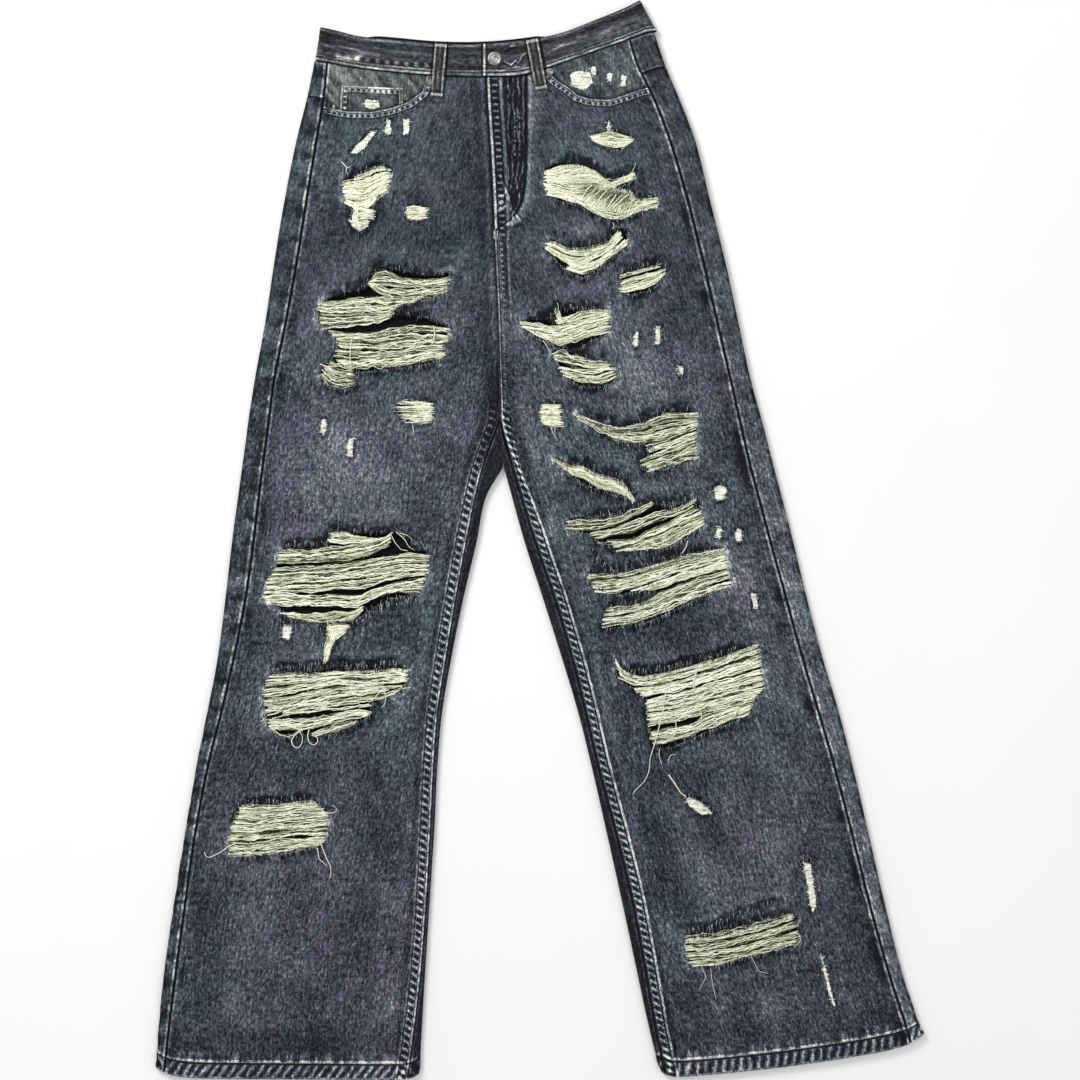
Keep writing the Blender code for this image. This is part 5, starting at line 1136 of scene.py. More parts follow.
class Strands:
    """Many thin tapered tubes joined in one mesh."""

    def __init__(self):
        self.v, self.q, self.t, self.tone = [], [], [], []
        self.n = 0

    def tube(self, pts, radius, tone, sides=4, taper=0.0):
        """pts (n,3) mm; radius and tone numbers or one for each point."""
        p = np.asarray(pts, float)
        n = len(p)
        if n < 2:
            return
        r = np.broadcast_to(np.asarray(radius, float), n).copy()
        if taper:
            r *= 1 - taper * np.linspace(0, 1, n)
        tg = np.gradient(p, axis=0)
        tg /= np.maximum(np.linalg.norm(tg, axis=1, keepdims=True), 1e-9)
        side = np.cross(tg, [0, 0, 1.0])
        sl = np.linalg.norm(side, axis=1, keepdims=True)
        side = np.where(sl > 0.05, side / np.maximum(sl, 1e-9), [1.0, 0, 0])
        up = np.cross(side, tg)
        ang = np.arange(sides) * 2 * math.pi / sides + (
            math.pi / 2 if sides == 3 else 0.0)
        ring = (p[:, None, :] + r[:, None, None] * (
            np.cos(ang)[None, :, None] * side[:, None, :]
            + np.sin(ang)[None, :, None] * up[:, None, :]))
        base = self.n
        self.v.append(ring.reshape(-1, 3))
        tone = np.broadcast_to(np.asarray(tone, float), n)
        self.tone.append(np.repeat(tone, sides))
        i = np.arange(n - 1)[:, None] * sides
        k = np.arange(sides)[None, :]
        k2 = (k + 1) % sides
        self.q.append((base + np.stack([i + k2, i + k, i + sides + k,
                                        i + sides + k2], -1)).reshape(-1, 4))
        if sides == 4:
            self.q.append(base + np.array([[0, 1, 2, 3]]))
            e = base + (n - 1) * 4
            self.q.append(np.array([[e + 3, e + 2, e + 1, e]]))
        else:
            self.t.append(base + np.array([[0, 1, 2]]))
            e = base + (n - 1) * 3
            self.t.append(np.array([[e + 2, e + 1, e]]))
        self.n += n * sides

    def hairs(self, roots, tips, radius, tone, mids=None):
        """Straight or once-bent hairs, each a slim three-sided spike."""
        roots, tips = np.asarray(roots, float), np.asarray(tips, float)
        m = len(roots)
        if not m:
            return
        d = tips - roots
        d /= np.maximum(np.linalg.norm(d, axis=1, keepdims=True), 1e-9)
        side = np.cross(d, [0, 0, 1.0])
        sl = np.linalg.norm(side, axis=1, keepdims=True)
        side = np.where(sl > 0.05, side / np.maximum(sl, 1e-9), [1.0, 0, 0])
        up = np.cross(side, d)
        r = np.broadcast_to(np.asarray(radius, float), m)[:, None]
        tone = np.broadcast_to(np.asarray(tone, float), m)

        def ring(c, rr):
            return [c + rr * (math.cos(a) * side + math.sin(a) * up)
                    for a in (math.pi / 2, math.pi * 7 / 6, math.pi * 11 / 6)]
        rings = [ring(roots, r)]
        if mids is not None:
            rings.append(ring(np.asarray(mids, float), r * 0.85))
        vs = [x for rg in rings for x in rg] + [tips]
        k = len(vs)
        v = np.stack(vs, 1).reshape(-1, 3)
        base = self.n + np.arange(m) * k
        tip = k - 1
        last = (len(rings) - 1) * 3
        t = [[0, 2, 1]]
        for a in range(3):
            t.append([last + a, last + (a + 1) % 3, tip])
        for f in t:
            self.t.append(base[:, None] + np.array(f)[None, :])
        if len(rings) == 2:
            for a in range(3):
                b = (a + 1) % 3
                self.q.append(base[:, None] + np.array(
                    [a, b, 3 + b, 3 + a])[None, :])
        self.v.append(v)
        self.tone.append(np.repeat(tone, k))
        self.n += m * k

    def build(self, name, mat, extra=None):
        v = np.concatenate(self.v)
        faces = []
        if self.q:
            faces.append(np.concatenate(self.q))
        if self.t:
            faces.append(np.concatenate(self.t))
        return mesh(name, v, faces, mat, {"tone": np.concatenate(self.tone)})


# ------------------------------------------------------------------ materials
def lin(r, g, b):
    """sRGB 0-255 to scene-linear."""
    def f(c):
        c /= 255.0
        return c / 12.92 if c <= 0.04045 else ((c + 0.055) / 1.055) ** 2.4
    return (f(r), f(g), f(b), 1.0)


class Nodes:
    """Short hand for building a node tree."""

    def __init__(self, name):
        self.mat = bpy.data.materials.new(name)
        self.mat.use_nodes = True
        self.nt = self.mat.node_tree
        self.bsdf = self.nt.nodes["Principled BSDF"]

    def add(self, kind, **props):
        nd = self.nt.nodes.new(kind)
        for k, v in props.items():
            setattr(nd, k, v)
        return nd

    def wire(self, a, b):
        self.nt.links.new(a, b)

    def put(self, node, socket, value):
        if hasattr(value, "links"):
            self.wire(value, node.inputs[socket])
        else:
            node.inputs[socket].default_value = value

    def attr(self, name, vector=False):
        nd = self.add("ShaderNodeAttribute", attribute_name=name)
        return nd.outputs["Vector" if vector else "Fac"]

    def math(self, op, a, b=0.0, c=None, clamp=False):
        nd = self.add("ShaderNodeMath", operation=op, use_clamp=clamp)
        self.put(nd, 0, a)
        self.put(nd, 1, b)
        if c is not None:
            self.put(nd, 2, c)
        return nd.outputs[0]

    def bend(self, u, pts):
        """A value that follows a line drawn through (u, value) points."""
        u0, u1 = pts[0][0], pts[-1][0]
        lo = min(p[1] for p in pts)
        k = max(p[1] for p in pts) - lo + 1e-6
        f = self.math("MULTIPLY_ADD", u, 1 / (u1 - u0), -u0 / (u1 - u0))
        r = self.ramp(f, [((a - u0) / (u1 - u0), ((b - lo) / k,) * 3 + (1.0,))
                          for a, b in pts])
        return self.math("MULTIPLY_ADD", r, k, lo)

    def mapv(self, vec, scale, loc=(0, 0, 0), rot=(0, 0, 0)):
        nd = self.add("ShaderNodeMapping")
        self.wire(vec, nd.inputs["Vector"])
        nd.inputs["Scale"].default_value = scale
        nd.inputs["Location"].default_value = loc
        nd.inputs["Rotation"].default_value = rot
        return nd.outputs[0]

    def noise(self, vec, scale, detail=2.0, rough=0.55, distort=0.0):
        nd = self.add("ShaderNodeTexNoise")
        self.wire(vec, nd.inputs["Vector"])
        nd.inputs["Scale"].default_value = scale
        nd.inputs["Detail"].default_value = detail
        nd.inputs["Roughness"].default_value = rough
        nd.inputs["Distortion"].default_value = distort
        return nd.outputs["Fac"]

    def ramp(self, fac, stops, interp="LINEAR"):
        nd = self.add("ShaderNodeValToRGB")
        nd.color_ramp.interpolation = interp
        e = nd.color_ramp.elements
        while len(e) < len(stops):
            e.new(0.5)
        for el, (pos, col) in zip(e, stops):
            el.position = pos
            el.color = col
        self.wire(fac, nd.inputs["Fac"])
        return nd.outputs["Color"]

    def span(self, d, a, b, to0=0.0, to1=1.0):
        """Smooth 0..1 as d goes from a to b (a may be above b)."""
        nd = self.add("ShaderNodeMapRange", interpolation_type="SMOOTHSTEP")
        self.put(nd, 0, d)
        nd.inputs[1].default_value, nd.inputs[2].default_value = a, b
        nd.inputs[3].default_value, nd.inputs[4].default_value = to0, to1
        return nd.outputs[0]

    def win(self, d, a, b, soft=0.5, k=1.0):
        """k between a and b, fading over soft."""
        x = self.math("MULTIPLY", self.span(d, a - soft, a + soft * 0.3),
                      self.span(d, b + soft, b - soft * 0.3))
        return x if k == 1.0 else self.math("MULTIPLY", x, k)

    def total(self, parts):
        out = parts[0]
        for q in parts[1:]:
            out = self.math("ADD", out, q)
        return out

    def mul(self, *parts):
        out = parts[0]
        for q in parts[1:]:
            out = self.math("MULTIPLY", out, q)
        return out

    def combine(self, x, y, z=0.0):
        nd = self.add("ShaderNodeCombineXYZ")
        self.put(nd, 0, x)
        self.put(nd, 1, y)
        nd.inputs[2].default_value = z
        return nd.outputs[0]

    def xyz(self, vec):
        nd = self.add("ShaderNodeSeparateXYZ")
        self.wire(vec, nd.inputs[0])
        return nd.outputs[0], nd.outputs[1], nd.outputs[2]

    def mix(self, fac, a, b, blend="MIX"):
        nd = self.add("ShaderNodeMix", data_type="RGBA", blend_type=blend)
        self.put(nd, 0, fac)
        self.put(nd, 6, a)
        self.put(nd, 7, b)
        return nd.outputs[2]


def seam_lines(N, kind, v, fleck, mott, slow):
    """Worn edges, sewn bands and the dark lines beside them, drawn from each
    place's distances to the seams (mm).  The dark lines are painted shade in
    gaps and grooves; puckers get painted highlights and painted shade.
    Returns (edge, dark, wear)."""
    so, si, hd = N.xyz(N.attr("dist1", True))
    pd, fj, pal = N.xyz(N.attr("dist2", True))
    edge, dark_and_shade, wear_and_shade = [], [], []
    lively = N.math("MULTIPLY_ADD", mott, 1.5, 0.25)        # 0.25 .. 1.75

    def wave(arg, period, wobble=1.6):
        ph = N.math("MULTIPLY_ADD", slow, wobble * 2.0, N.math(
            "MULTIPLY", arg, 2 * math.pi / period))
        return N.math("SINE", ph)
    # side seam: painted shade in the gap between two worn edges; the edge
    # facing the light gets the brighter painted highlight
    strip = kind.startswith("back")
    lit_edge_side = kind in ("left", "back_right")
    dark_and_shade.append(N.win(so, -9.0, 1.0 if strip else 0.9, 0.3, 1.0))
    edge.append(N.mul(N.win(so, 1.35, 3.2 if lit_edge_side else 3.0, 0.6), N.math(
        "MULTIPLY_ADD", mott, 1.5, -0.14 if lit_edge_side else -0.46)))
    if kind == "left":
        dark_and_shade.append(N.win(so, 4.2, 4.6, 0.6, 0.25))
    if kind in ("left", "back_right"):
        ph = N.math("MULTIPLY_ADD", v, 1 / 27.5, N.math(
            "MULTIPLY", slow, 0.8))
        off = N.math("ABSOLUTE", N.math("SUBTRACT", N.math("FRACT", ph), 0.5))
        al = N.math("MULTIPLY", off, 27.5 * 1.15)
        ac = N.math("MULTIPLY_ADD", so, 0.66,
                    -3.6 if kind != "left" else -4.4)
        rr = N.math("SQRT", N.math("ADD", N.math("MULTIPLY", al, al),
                                   N.math("MULTIPLY", ac, ac)))
        size = N.math("MULTIPLY_ADD", mott, 5.0, 2.2)
        k = N.math("DIVIDE", rr, size)
        dark_and_shade.append(N.mul(N.span(k, 1.25, 0.45), 0.78 if kind != "left"
                          else 0.55))
    # hem: worn fold edges; painted highlights and painted shade on its puckers,
    # and painted shade in the groove below its top fold
    cx = N.xyz(N.attr("cloth", True))[0]
    pk = N.noise(N.combine(N.math("MULTIPLY", cx, 0.16),
                           N.math("MULTIPLY", hd, 0.03)), 1.0, 2.0, 0.6)
    up_hem = N.win(hd, 16.4, 18.4, 0.6)
    edge.append(N.mul(up_hem, N.span(pk, 0.30, 0.58), 0.95))
    edge.append(N.mul(N.span(pk, 0.47, 0.66), N.win(hd, 18.0, 24.0, 6.0),
                      0.62))
    dark_and_shade.append(N.mul(N.span(pk, 0.50, 0.36), N.win(hd, 17.5, 24.0, 6.0),
                      0.40))
    dark_and_shade.append(N.win(hd, 14.3, 15.7, 0.5, 0.92))
    sgn = -0.62 if kind != "left" else 0.30
    hb = wave(N.math("MULTIPLY_ADD", hd, sgn, cx), 8.8, 2.6)
    in_hem = N.win(hd, 2.4, 13.4, 1.2)
    wear_and_shade.append(N.mul(in_hem, N.math("MULTIPLY_ADD", hb, 0.55, -0.05)))
    edge.append(N.mul(in_hem, N.span(hb, 0.35, 0.95), lively, 0.36))
    dark_and_shade.append(N.mul(in_hem, N.span(hb, -0.25, -0.9), lively, 0.55))
    edge.append(N.mul(N.win(hd, -4.0, 1.8, 1.4), N.math(
        "MULTIPLY_ADD", mott, 1.1, -0.15)))
    dark_and_shade.append(N.win(hd, 2.4, 3.0, 0.5, 0.30))
    if kind.startswith("back"):
        # felled inseam reached from the underside, yoke and pocket edges: a worn
        # edge, and painted shade in the seam's gap
        edge.append(N.win(si, 0.9, 2.3, 0.5, 0.45))
        dark_and_shade.append(N.win(si, -9, 0.6, 0.4, 0.9))
    else:
        # felled inseam: worn edges, painted highlights and painted shade on its puckered band, painted shade in the
        # seam's gap and the grooves by its rows
        leg = N.span(v, -150.0, -118.0)
        slant = 0.55 if kind == "right" else -0.55
        bar = wave(N.math("MULTIPLY_ADD", si, slant, v), 7.4, 1.3)
        in_band = N.mul(leg, N.win(si, 2.6, 9.2, 0.7))
        wear_and_shade.append(N.mul(in_band, N.math("MULTIPLY_ADD", bar, 0.85, -0.12)))
        edge.append(N.mul(in_band, N.span(bar, 0.3, 0.95), 0.42, lively))
        dark_and_shade.append(N.mul(in_band, N.span(bar, -0.15, -0.8), 0.62))
        if kind == "right":
            edge.append(N.mul(leg, N.win(si, 0.5, 1.7, 0.5, 0.85), lively))
            dark_and_shade.append(N.mul(leg, N.win(si, 2.2, 2.7, 0.4, 0.8)))
            dark_and_shade.append(N.mul(leg, N.win(si, 9.3, 10.0, 0.4, 0.7)))
            edge.append(N.mul(leg, N.win(si, 10.8, 11.7, 0.5, 0.45), lively))
            dark_and_shade.append(N.mul(leg, N.win(si, -9.0, 0.1, 0.3, 0.9)))
        else:
            dark_and_shade.append(N.mul(leg, N.win(si, -9.0, 1.5, 0.5, 1.0)))
            far = N.span(v, -118.0, -5.0, -9.0, 0.0)
            sf = N.math("SUBTRACT", si, far)
            edge.append(N.mul(leg, N.win(sf, 11.0, 12.9, 0.5, 0.95), lively))
            dark_and_shade.append(N.mul(leg, N.win(sf, 9.3, 10.3, 0.4, 0.85)))
            dark_and_shade.append(N.mul(leg, N.win(sf, 13.9, 14.5, 0.6, 0.35)))
    # pocket opening (or the edge of a back pocket): worn edge, painted
    # highlights and painted shade on the puckered beads, painted shade in the
    # grooves beside the stitching
    bead = wave(pal, 5.6, 1.0)
    in_p = N.win(pd, 2.7, 5.9, 0.5)
    edge.append(N.win(pd, -5.0, 1.35, 0.5, 0.62))
    dark_and_shade.append(N.win(pd, 1.9, 2.3, 0.35, 0.75))
    edge.append(N.mul(in_p, N.span(bead, -0.1, 0.9), 0.72))
    dark_and_shade.append(N.mul(in_p, N.span(bead, -0.05, -0.8), 0.80))
    dark_and_shade.append(N.win(pd, 6.5, 7.4, 0.4, 0.80))
    if kind == "left":
        up = N.span(v, -298.0, -306.0)
        down = N.math("SUBTRACT", 1.0, up)
        # above its foot the fly: worn edge with painted shade at its gap, rungs
        # with painted highlights and painted shade, ridge, darker field crossed by
        # folds with painted highlights and painted shade, painted shadow by the J line
        rung = wave(v, 6.5, 1.0)
        dark_and_shade.append(N.mul(up, N.win(si, -9.0, 1.25, 0.35)))
        edge.append(N.mul(up, N.win(si, 1.9, 3.6, 0.5, 1.0), lively))
        dark_and_shade.append(N.mul(up, N.win(si, 4.6, 5.3, 0.4, 0.85)))
        in_r = N.mul(up, N.win(si, 6.2, 11.0, 0.6))
        wear_and_shade.append(N.mul(up, N.win(si, 4.6, 12.4, 0.8), -0.75))
        edge.append(N.mul(in_r, N.span(rung, 0.1, 0.95), N.math(
            "MULTIPLY_ADD", mott, 1.6, 0.05)))
        dark_and_shade.append(N.mul(in_r, N.span(rung, 0.1, -0.6), 0.90))
        dark_and_shade.append(N.mul(up, N.win(si, 11.9, 12.6, 0.4, 0.7)))
        edge.append(N.mul(up, N.win(si, 13.8, 15.6, 1.0, 0.42), lively))
        field = N.mul(up, N.span(si, 15.8, 17.6), N.span(fj, 0.8, -0.8))
        wear_and_shade.append(N.mul(field, -0.95))
        dark_and_shade.append(N.mul(field, 0.18))
        wig = N.noise(N.combine(N.math("MULTIPLY", si, 0.30),
                                N.math("MULTIPLY", v, 0.05)), 1.0, 3.0,
                      0.62, 0.6)
        edge.append(N.mul(field, N.span(wig, 0.56, 0.66), 0.50))
        for at, sway, row in ((-2.4, 2.6, 3.0), (-7.2, 4.2, 21.0),
                              (-12.6, 4.4, 47.0), (-17.0, 3.0, 70.0)):
            wv = N.noise(N.combine(row, N.math("MULTIPLY", v, 0.062)), 1.0,
                         2.0, 0.55)
            lit = N.noise(N.combine(row + 8.0, N.math("MULTIPLY", v, 0.045)),
                          1.0, 2.0, 0.6)
            d = N.math("SUBTRACT", fj, N.math(
                "MULTIPLY_ADD", N.math("SUBTRACT", wv, 0.5), sway * 2.4, at))
            edge.append(N.mul(field, N.win(d, -0.65, 0.65, 0.6), N.span(
                lit, 0.36, 0.58), 0.95))
            dark_and_shade.append(N.mul(field, N.win(d, 1.4, 2.6, 0.7), 0.6))
        # folds at the foot of the fly: painted highlights on their crests, painted shade beside them
        for pts in ([(-368.0, 8.5), (-356.0, 10.5), (-349.0, 13.5),
                     (-343.0, 16.5), (-331.0, 18.0)],
                    [(-348.0, 13.5), (-342.0, 10.0), (-331.0, 7.5)],
                    [(-366.0, 29.0), (-352.0, 25.0), (-340.0, 27.5)],
                    [(-332.0, 16.0), (-326.0, 22.0), (-320.0, 26.0)]):
            d = N.math("SUBTRACT", si, N.bend(v, pts))
            here = N.win(v, pts[0][0] + 1.0, pts[-1][0] - 1.0, 2.0)
            edge.append(N.mul(N.win(d, -0.6, 0.7, 0.7), here, 0.80))
            dark_and_shade.append(N.mul(N.win(d, 1.6, 3.4, 0.8), here, 0.60))
        for at, per in ((-5.6, 9.0), (-10.4, 7.8)):
            col = N.win(N.math("SUBTRACT", fj, at), -1.2, 1.2, 0.7)
            rows = N.win(v, -426.0, -381.0, 7.0)
            edge.append(N.mul(field, rows, col, N.span(wave(
                v, per * 0.85, 2.4), 0.0, 0.8), 0.85))
        dark_and_shade.append(N.mul(up, N.win(fj, 0.0, 1.7, 0.8, 1.0)))
        edge.append(N.mul(up, N.win(fj, 3.0, 5.0, 1.6, 0.25), lively))
        wear_and_shade.append(N.mul(up, N.win(fj, 4.0, 12.0, 5.0, 0.30)))
        # below it the two welts of the front seam, with painted shade in the gap
        # and grooves and a painted-shade patch beside them towards the crotch
        hip = N.span(v, -118.0, -136.0)
        low = N.mul(down, hip)
        near = N.span(v, -196.0, -262.0)
        dark_and_shade.append(N.mul(low, N.win(si, -9.0, 0.9, 0.35)))
        edge.append(N.mul(low, N.win(si, 1.3, 2.3, 0.45, 0.62), lively))
        dark_and_shade.append(N.mul(low, N.win(si, 3.0, 3.5, 0.4, 0.7)))
        edge.append(N.mul(low, N.win(si, 4.1, 4.8, 0.45, 0.38), lively))
        zone = N.mul(low, near, N.win(si, 5.0, 12.0, 1.0))
        dark_and_shade.append(N.mul(zone, 0.62))
        edge.append(N.mul(low, near, N.win(si, 6.0, 8.2, 0.6), N.span(
            wave(v, 5.6, 0.8), 0.0, 0.8), 1.0))
        edge.append(N.mul(low, near, N.win(si, 12.4, 13.8, 0.7, 0.5),
                          lively))
    elif kind == "right":
        # the right front under the fly's edge: painted shade
        hip = N.span(v, -118.0, -134.0)
        dark_and_shade.append(N.mul(hip, N.win(si, -99.0, 0.3, 0.5, 1.0)))
        edge.append(N.mul(hip, N.win(si, 3.2, 4.4, 1.0, 0.20), lively))
    return N.total(edge), N.total(dark_and_shade), N.total(wear_and_shade)


def band_lines(N, mott):
    """The waistband's rows, its lapped end and the marks above its seam: worn
    edges, painted shade at the lap's end, seam and grooves, and painted
    highlights and painted shade on its creases and puckered row.
    """
    lap, low, top = N.xyz(N.attr("dist1", True))
    x, s, front = N.xyz(N.attr("dist2", True))
    lively = N.math("MULTIPLY_ADD", mott, 1.5, 0.25)

    def wave(arg, period):
        return N.math("SINE", N.math("MULTIPLY_ADD", mott, 2.0, N.math(
            "MULTIPLY", arg, 2 * math.pi / period)))
    calm = N.math("SUBTRACT", 1.0, N.win(x, -96.0, -59.0, 3.0, 0.55))
    edge = [N.mul(N.win(low, 0.9, 2.5, 0.5), lively, calm, 0.72),
            N.mul(N.win(low, 4.9, 5.7, 0.4), lively, 0.42),
            N.mul(N.win(top, 1.6, 2.8, 0.8), lively, 0.36),
            N.win(lap, 0.8, 2.5, 0.5, 0.95)]
    dark_and_shade = [N.win(low, -9.0, 0.3, 0.3, 0.9), N.win(low, 3.4, 4.2, 0.35, 0.85),
            N.win(low, 6.3, 7.0, 0.4, 0.60), N.win(top, -9.0, 0.7, 0.5, 0.75),
            N.win(lap, -1.7, 0.3, 0.3, 0.95), N.win(lap, 3.6, 4.6, 0.5, 0.85)]
    # creases crumpled round the button, and the fold left of the lap: painted
    # highlights on their crests, painted shade just below
    for pts, k in (([(-36.5, 14.5), (-29.5, 10.0), (-24.5, 13.5),
                     (-21.5, 11.0), (-18.5, 17.0), (-11.0, 20.5)], 1.0),
                   ([(-37.0, 24.5), (-31.0, 27.0), (-24.0, 28.0)], 0.7),
                   ([(-41.0, 4.0), (-30.0, 7.5), (-14.0, 6.5)], 0.5),
                   ([(6.0, 14.0), (20.0, 18.0), (36.0, 16.0)], 0.45)):
        d = N.math("SUBTRACT", low, N.bend(x, pts))
        here = N.mul(N.win(x, pts[0][0] + 0.8, pts[-1][0] - 0.8, 1.2), front)
        edge.append(N.mul(N.win(d, -0.5, 0.7, 0.6), here, N.math(
            "MULTIPLY_ADD", mott, 1.5 * k, 0.1)))
        dark_and_shade.append(N.mul(N.win(d, -2.8, -1.2, 0.8), here, 0.6 * k))
    dark_and_shade.append(N.mul(N.win(x, -34.0, -14.0, 4.0), N.win(
        low, 20.5, 26.0, 2.5), front, N.math(
            "MULTIPLY_ADD", mott, -1.0, 1.1)))
    dark_and_shade.append(N.mul(N.win(x, -94.0, -60.0, 2.0), N.win(
        low, 8.6, 10.0, 0.7), front, 0.62))
    for at, lean in ((-101.7, 0.085), (-1.8, -0.202)):
        # the shade at both sides of a belt loop
        d = N.math("ABSOLUTE", N.math("SUBTRACT", x, N.math(
            "MULTIPLY_ADD", low, lean, at)))
        dark_and_shade.append(N.mul(N.win(d, 5.0, 8.1, 0.7, 0.85), front))
    # the puckered row above the seam: painted shade and painted highlights on its puckers
    w = wave(s, 9.7)
    row = N.mul(N.win(low, 7.2, 11.0, 0.9), front)
    here = N.win(x, -184.0, -106.0, 8.0)
    dark_and_shade.append(N.mul(row, N.span(w, -0.1, 0.7), N.math(
        "MULTIPLY_ADD", here, 0.6, 0.25)))
    edge.append(N.mul(row, N.span(w, -0.2, -0.8), N.math(
        "MULTIPLY_ADD", here, 0.30, 0.12)))
    return N.total(edge), N.total(dark_and_shade)


def denim(name, base=0.0, grey=0.0, warm=0.0, contrast=1.0, lines=None,
          green=0.0):
    """Washed twill.  Reads the maps each piece carries: cloth (mm across and
    along the warp), wear (fading, with painted shading of folds and puckers),
    edge (worn edges, with painted highlights on ridges), dark (mostly painted
    shade in grooves, gaps and creases), tint, grey, bare.  All are 0 by default.
    lines: which seams' worn edges, painted highlights and painted shade to
    draw from the distance maps."""
    N = Nodes(name)
    cloth = N.attr("cloth", True)
    # grain: short vertical flecks, fine specks, slubs, mottling
    fleck = N.noise(N.mapv(cloth, (0.46, 0.22, 1.0)), 1.0, 2.0, 0.62)
    speck = N.noise(N.mapv(cloth, (0.7, 0.5, 1.0), (31, 7, 3)), 1.0, 1.0, 0.6)
    slub = N.noise(N.mapv(cloth, (0.42, 0.04, 1.0), (5, 3, 9)), 1.0, 2.0, 0.6)
    mott = N.noise(N.mapv(cloth, (0.15, 0.10, 1.0), (2, 8, 1)), 1.0, 3.0, 0.6)
    cloud = N.noise(N.mapv(cloth, (0.022, 0.016, 1.0), (9, 4, 6)), 1.0, 2.0)
    # twill: diagonal ribs about a millimetre apart
    rib = N.add("ShaderNodeTexWave", wave_type="BANDS", bands_direction="X",
                wave_profile="SIN")
    N.wire(N.mapv(cloth, (0.31, 0.31, 1.0), (0, 0, 0),
                  (0, 0, math.radians(52))), rib.inputs["Vector"])
    rib.inputs["Scale"].default_value = 1.0
    rib.inputs["Distortion"].default_value = 1.2
    rib.inputs["Detail"].default_value = 1.0
    rib.inputs["Detail Scale"].default_value = 1.4
    ribs = rib.outputs["Fac"]

    def centred(x, k):
        return N.math("MULTIPLY", N.math("SUBTRACT", x, 0.5), k)
    grain = N.total([centred(fleck, 1.25 * contrast),
                     centred(speck, 0.62 * contrast),
                     centred(slub, 0.55 * contrast), centred(ribs, 0.08)])
    wide = N.total([centred(mott, 0.44), centred(cloud, 0.30)])
    wear_and_shade, edge, dark_and_shade = N.attr("wear_and_shade"), N.attr("edge"), N.attr("dark_and_shade")
    if lines == "band":
        e2, d2 = band_lines(N, mott)
        edge = N.math("ADD", edge, e2)
        dark_and_shade = N.math("ADD", dark_and_shade, d2)
    elif lines:
        slow = N.noise(N.mapv(cloth, (0.085, 0.05, 1.0), (11, 2, 4)), 1.0,
                       2.0)
        _, v, _ = N.xyz(cloth)
        grain = N.math("MULTIPLY", grain, N.span(v, -330.0, -80.0, 0.74,
                                                 1.0))
        e2, d2, w2 = seam_lines(N, lines, v, fleck, mott, slow)
        wear_and_shade = N.math("ADD", wear_and_shade, w2)
        edge = N.math("ADD", edge, e2)
        dark_and_shade = N.math("ADD", dark_and_shade, d2)
    # the wear map lightens or darkens the cloth: fading, and painted shading that follows the folds and puckers
    t = N.total([grain, wide, N.math("MULTIPLY_ADD", wear_and_shade, 0.34,
                                     0.335 + base)])
    # the edge map lightens the cloth: worn edges, and painted highlights on ridges and crests
    edge = N.math("MULTIPLY", edge, N.math("MULTIPLY_ADD", speck, 0.55, 0.62))
    t = N.math("ADD", t, N.math("MULTIPLY", N.math("MINIMUM", edge, 1.25),
                                0.62))
    col = N.ramp(t, [(0.0, lin(9, 10, 13)), (0.16, lin(27, 31, 39)),
                     (0.34, lin(54, 59.5, 70)), (0.50, lin(79, 83.5, 95)),
                     (0.68, lin(114, 118.5, 127)), (0.86, lin(163, 167, 169)),
                     (1.0, lin(214, 217, 213))])
    # cast of the wash: teal against plum, in soft clouds and at seams
    hue = N.noise(N.mapv(cloth, (0.024, 0.015, 1.0), (40, 11, 2)), 1.0, 3.0,
                  0.6)
    hue2 = N.noise(N.mapv(cloth, (0.13, 0.06, 1.0), (3, 60, 5)), 1.0, 3.0)
    f = N.total([centred(hue, 4.0), centred(hue2, 2.6),
                 N.math("MULTIPLY", N.attr("tint"), 0.95)])
    f = N.math("MULTIPLY", f, N.span(t, 1.0, 0.45, 0.35, 1.0))
    teal = N.math("MULTIPLY", f, -1.0, clamp=True)
    plum = N.math("MULTIPLY", f, 1.0, clamp=True)
    col = N.mix(N.math("MULTIPLY", teal, 0.95), col, (0.82, 1.05, 0.90, 1.0),
                "MULTIPLY")
    col = N.mix(N.math("MULTIPLY", plum, 0.95), col, (1.09, 0.935, 1.03, 1.0),
                "MULTIPLY")
    g = N.math("ADD", N.attr("grey"), grey, clamp=True)
    bw = N.add("ShaderNodeRGBToBW")
    N.wire(col, bw.inputs[0])
    greyed = N.mix(1.0, bw.outputs[0], (1.0 + warm - green, 1.02 + green, 1.0 - warm - green,
                                     1.0),
                   "MULTIPLY")
    col = N.mix(g, col, greyed)
    # weft laid bare where the warp is worn away
    bare = N.math("ADD", N.attr("bare"), N.total([
        centred(fleck, 0.30), centred(mott, 0.38), centred(speck, 0.14)]))
    laid = N.noise(N.mapv(cloth, (0.10, 0.60, 1.0), (1, 5, 6)), 1.0, 2.0,
                   0.55)
    weft = N.ramp(N.math("ADD", laid, centred(fleck, 0.30)),
                  [(0.28, lin(96, 101, 92)), (0.42, lin(178, 182, 168)),
                   (0.54, lin(228, 231, 218)), (0.68, lin(249, 250, 242))])
    col = N.mix(N.span(bare, 0.45, 0.57), col, weft)
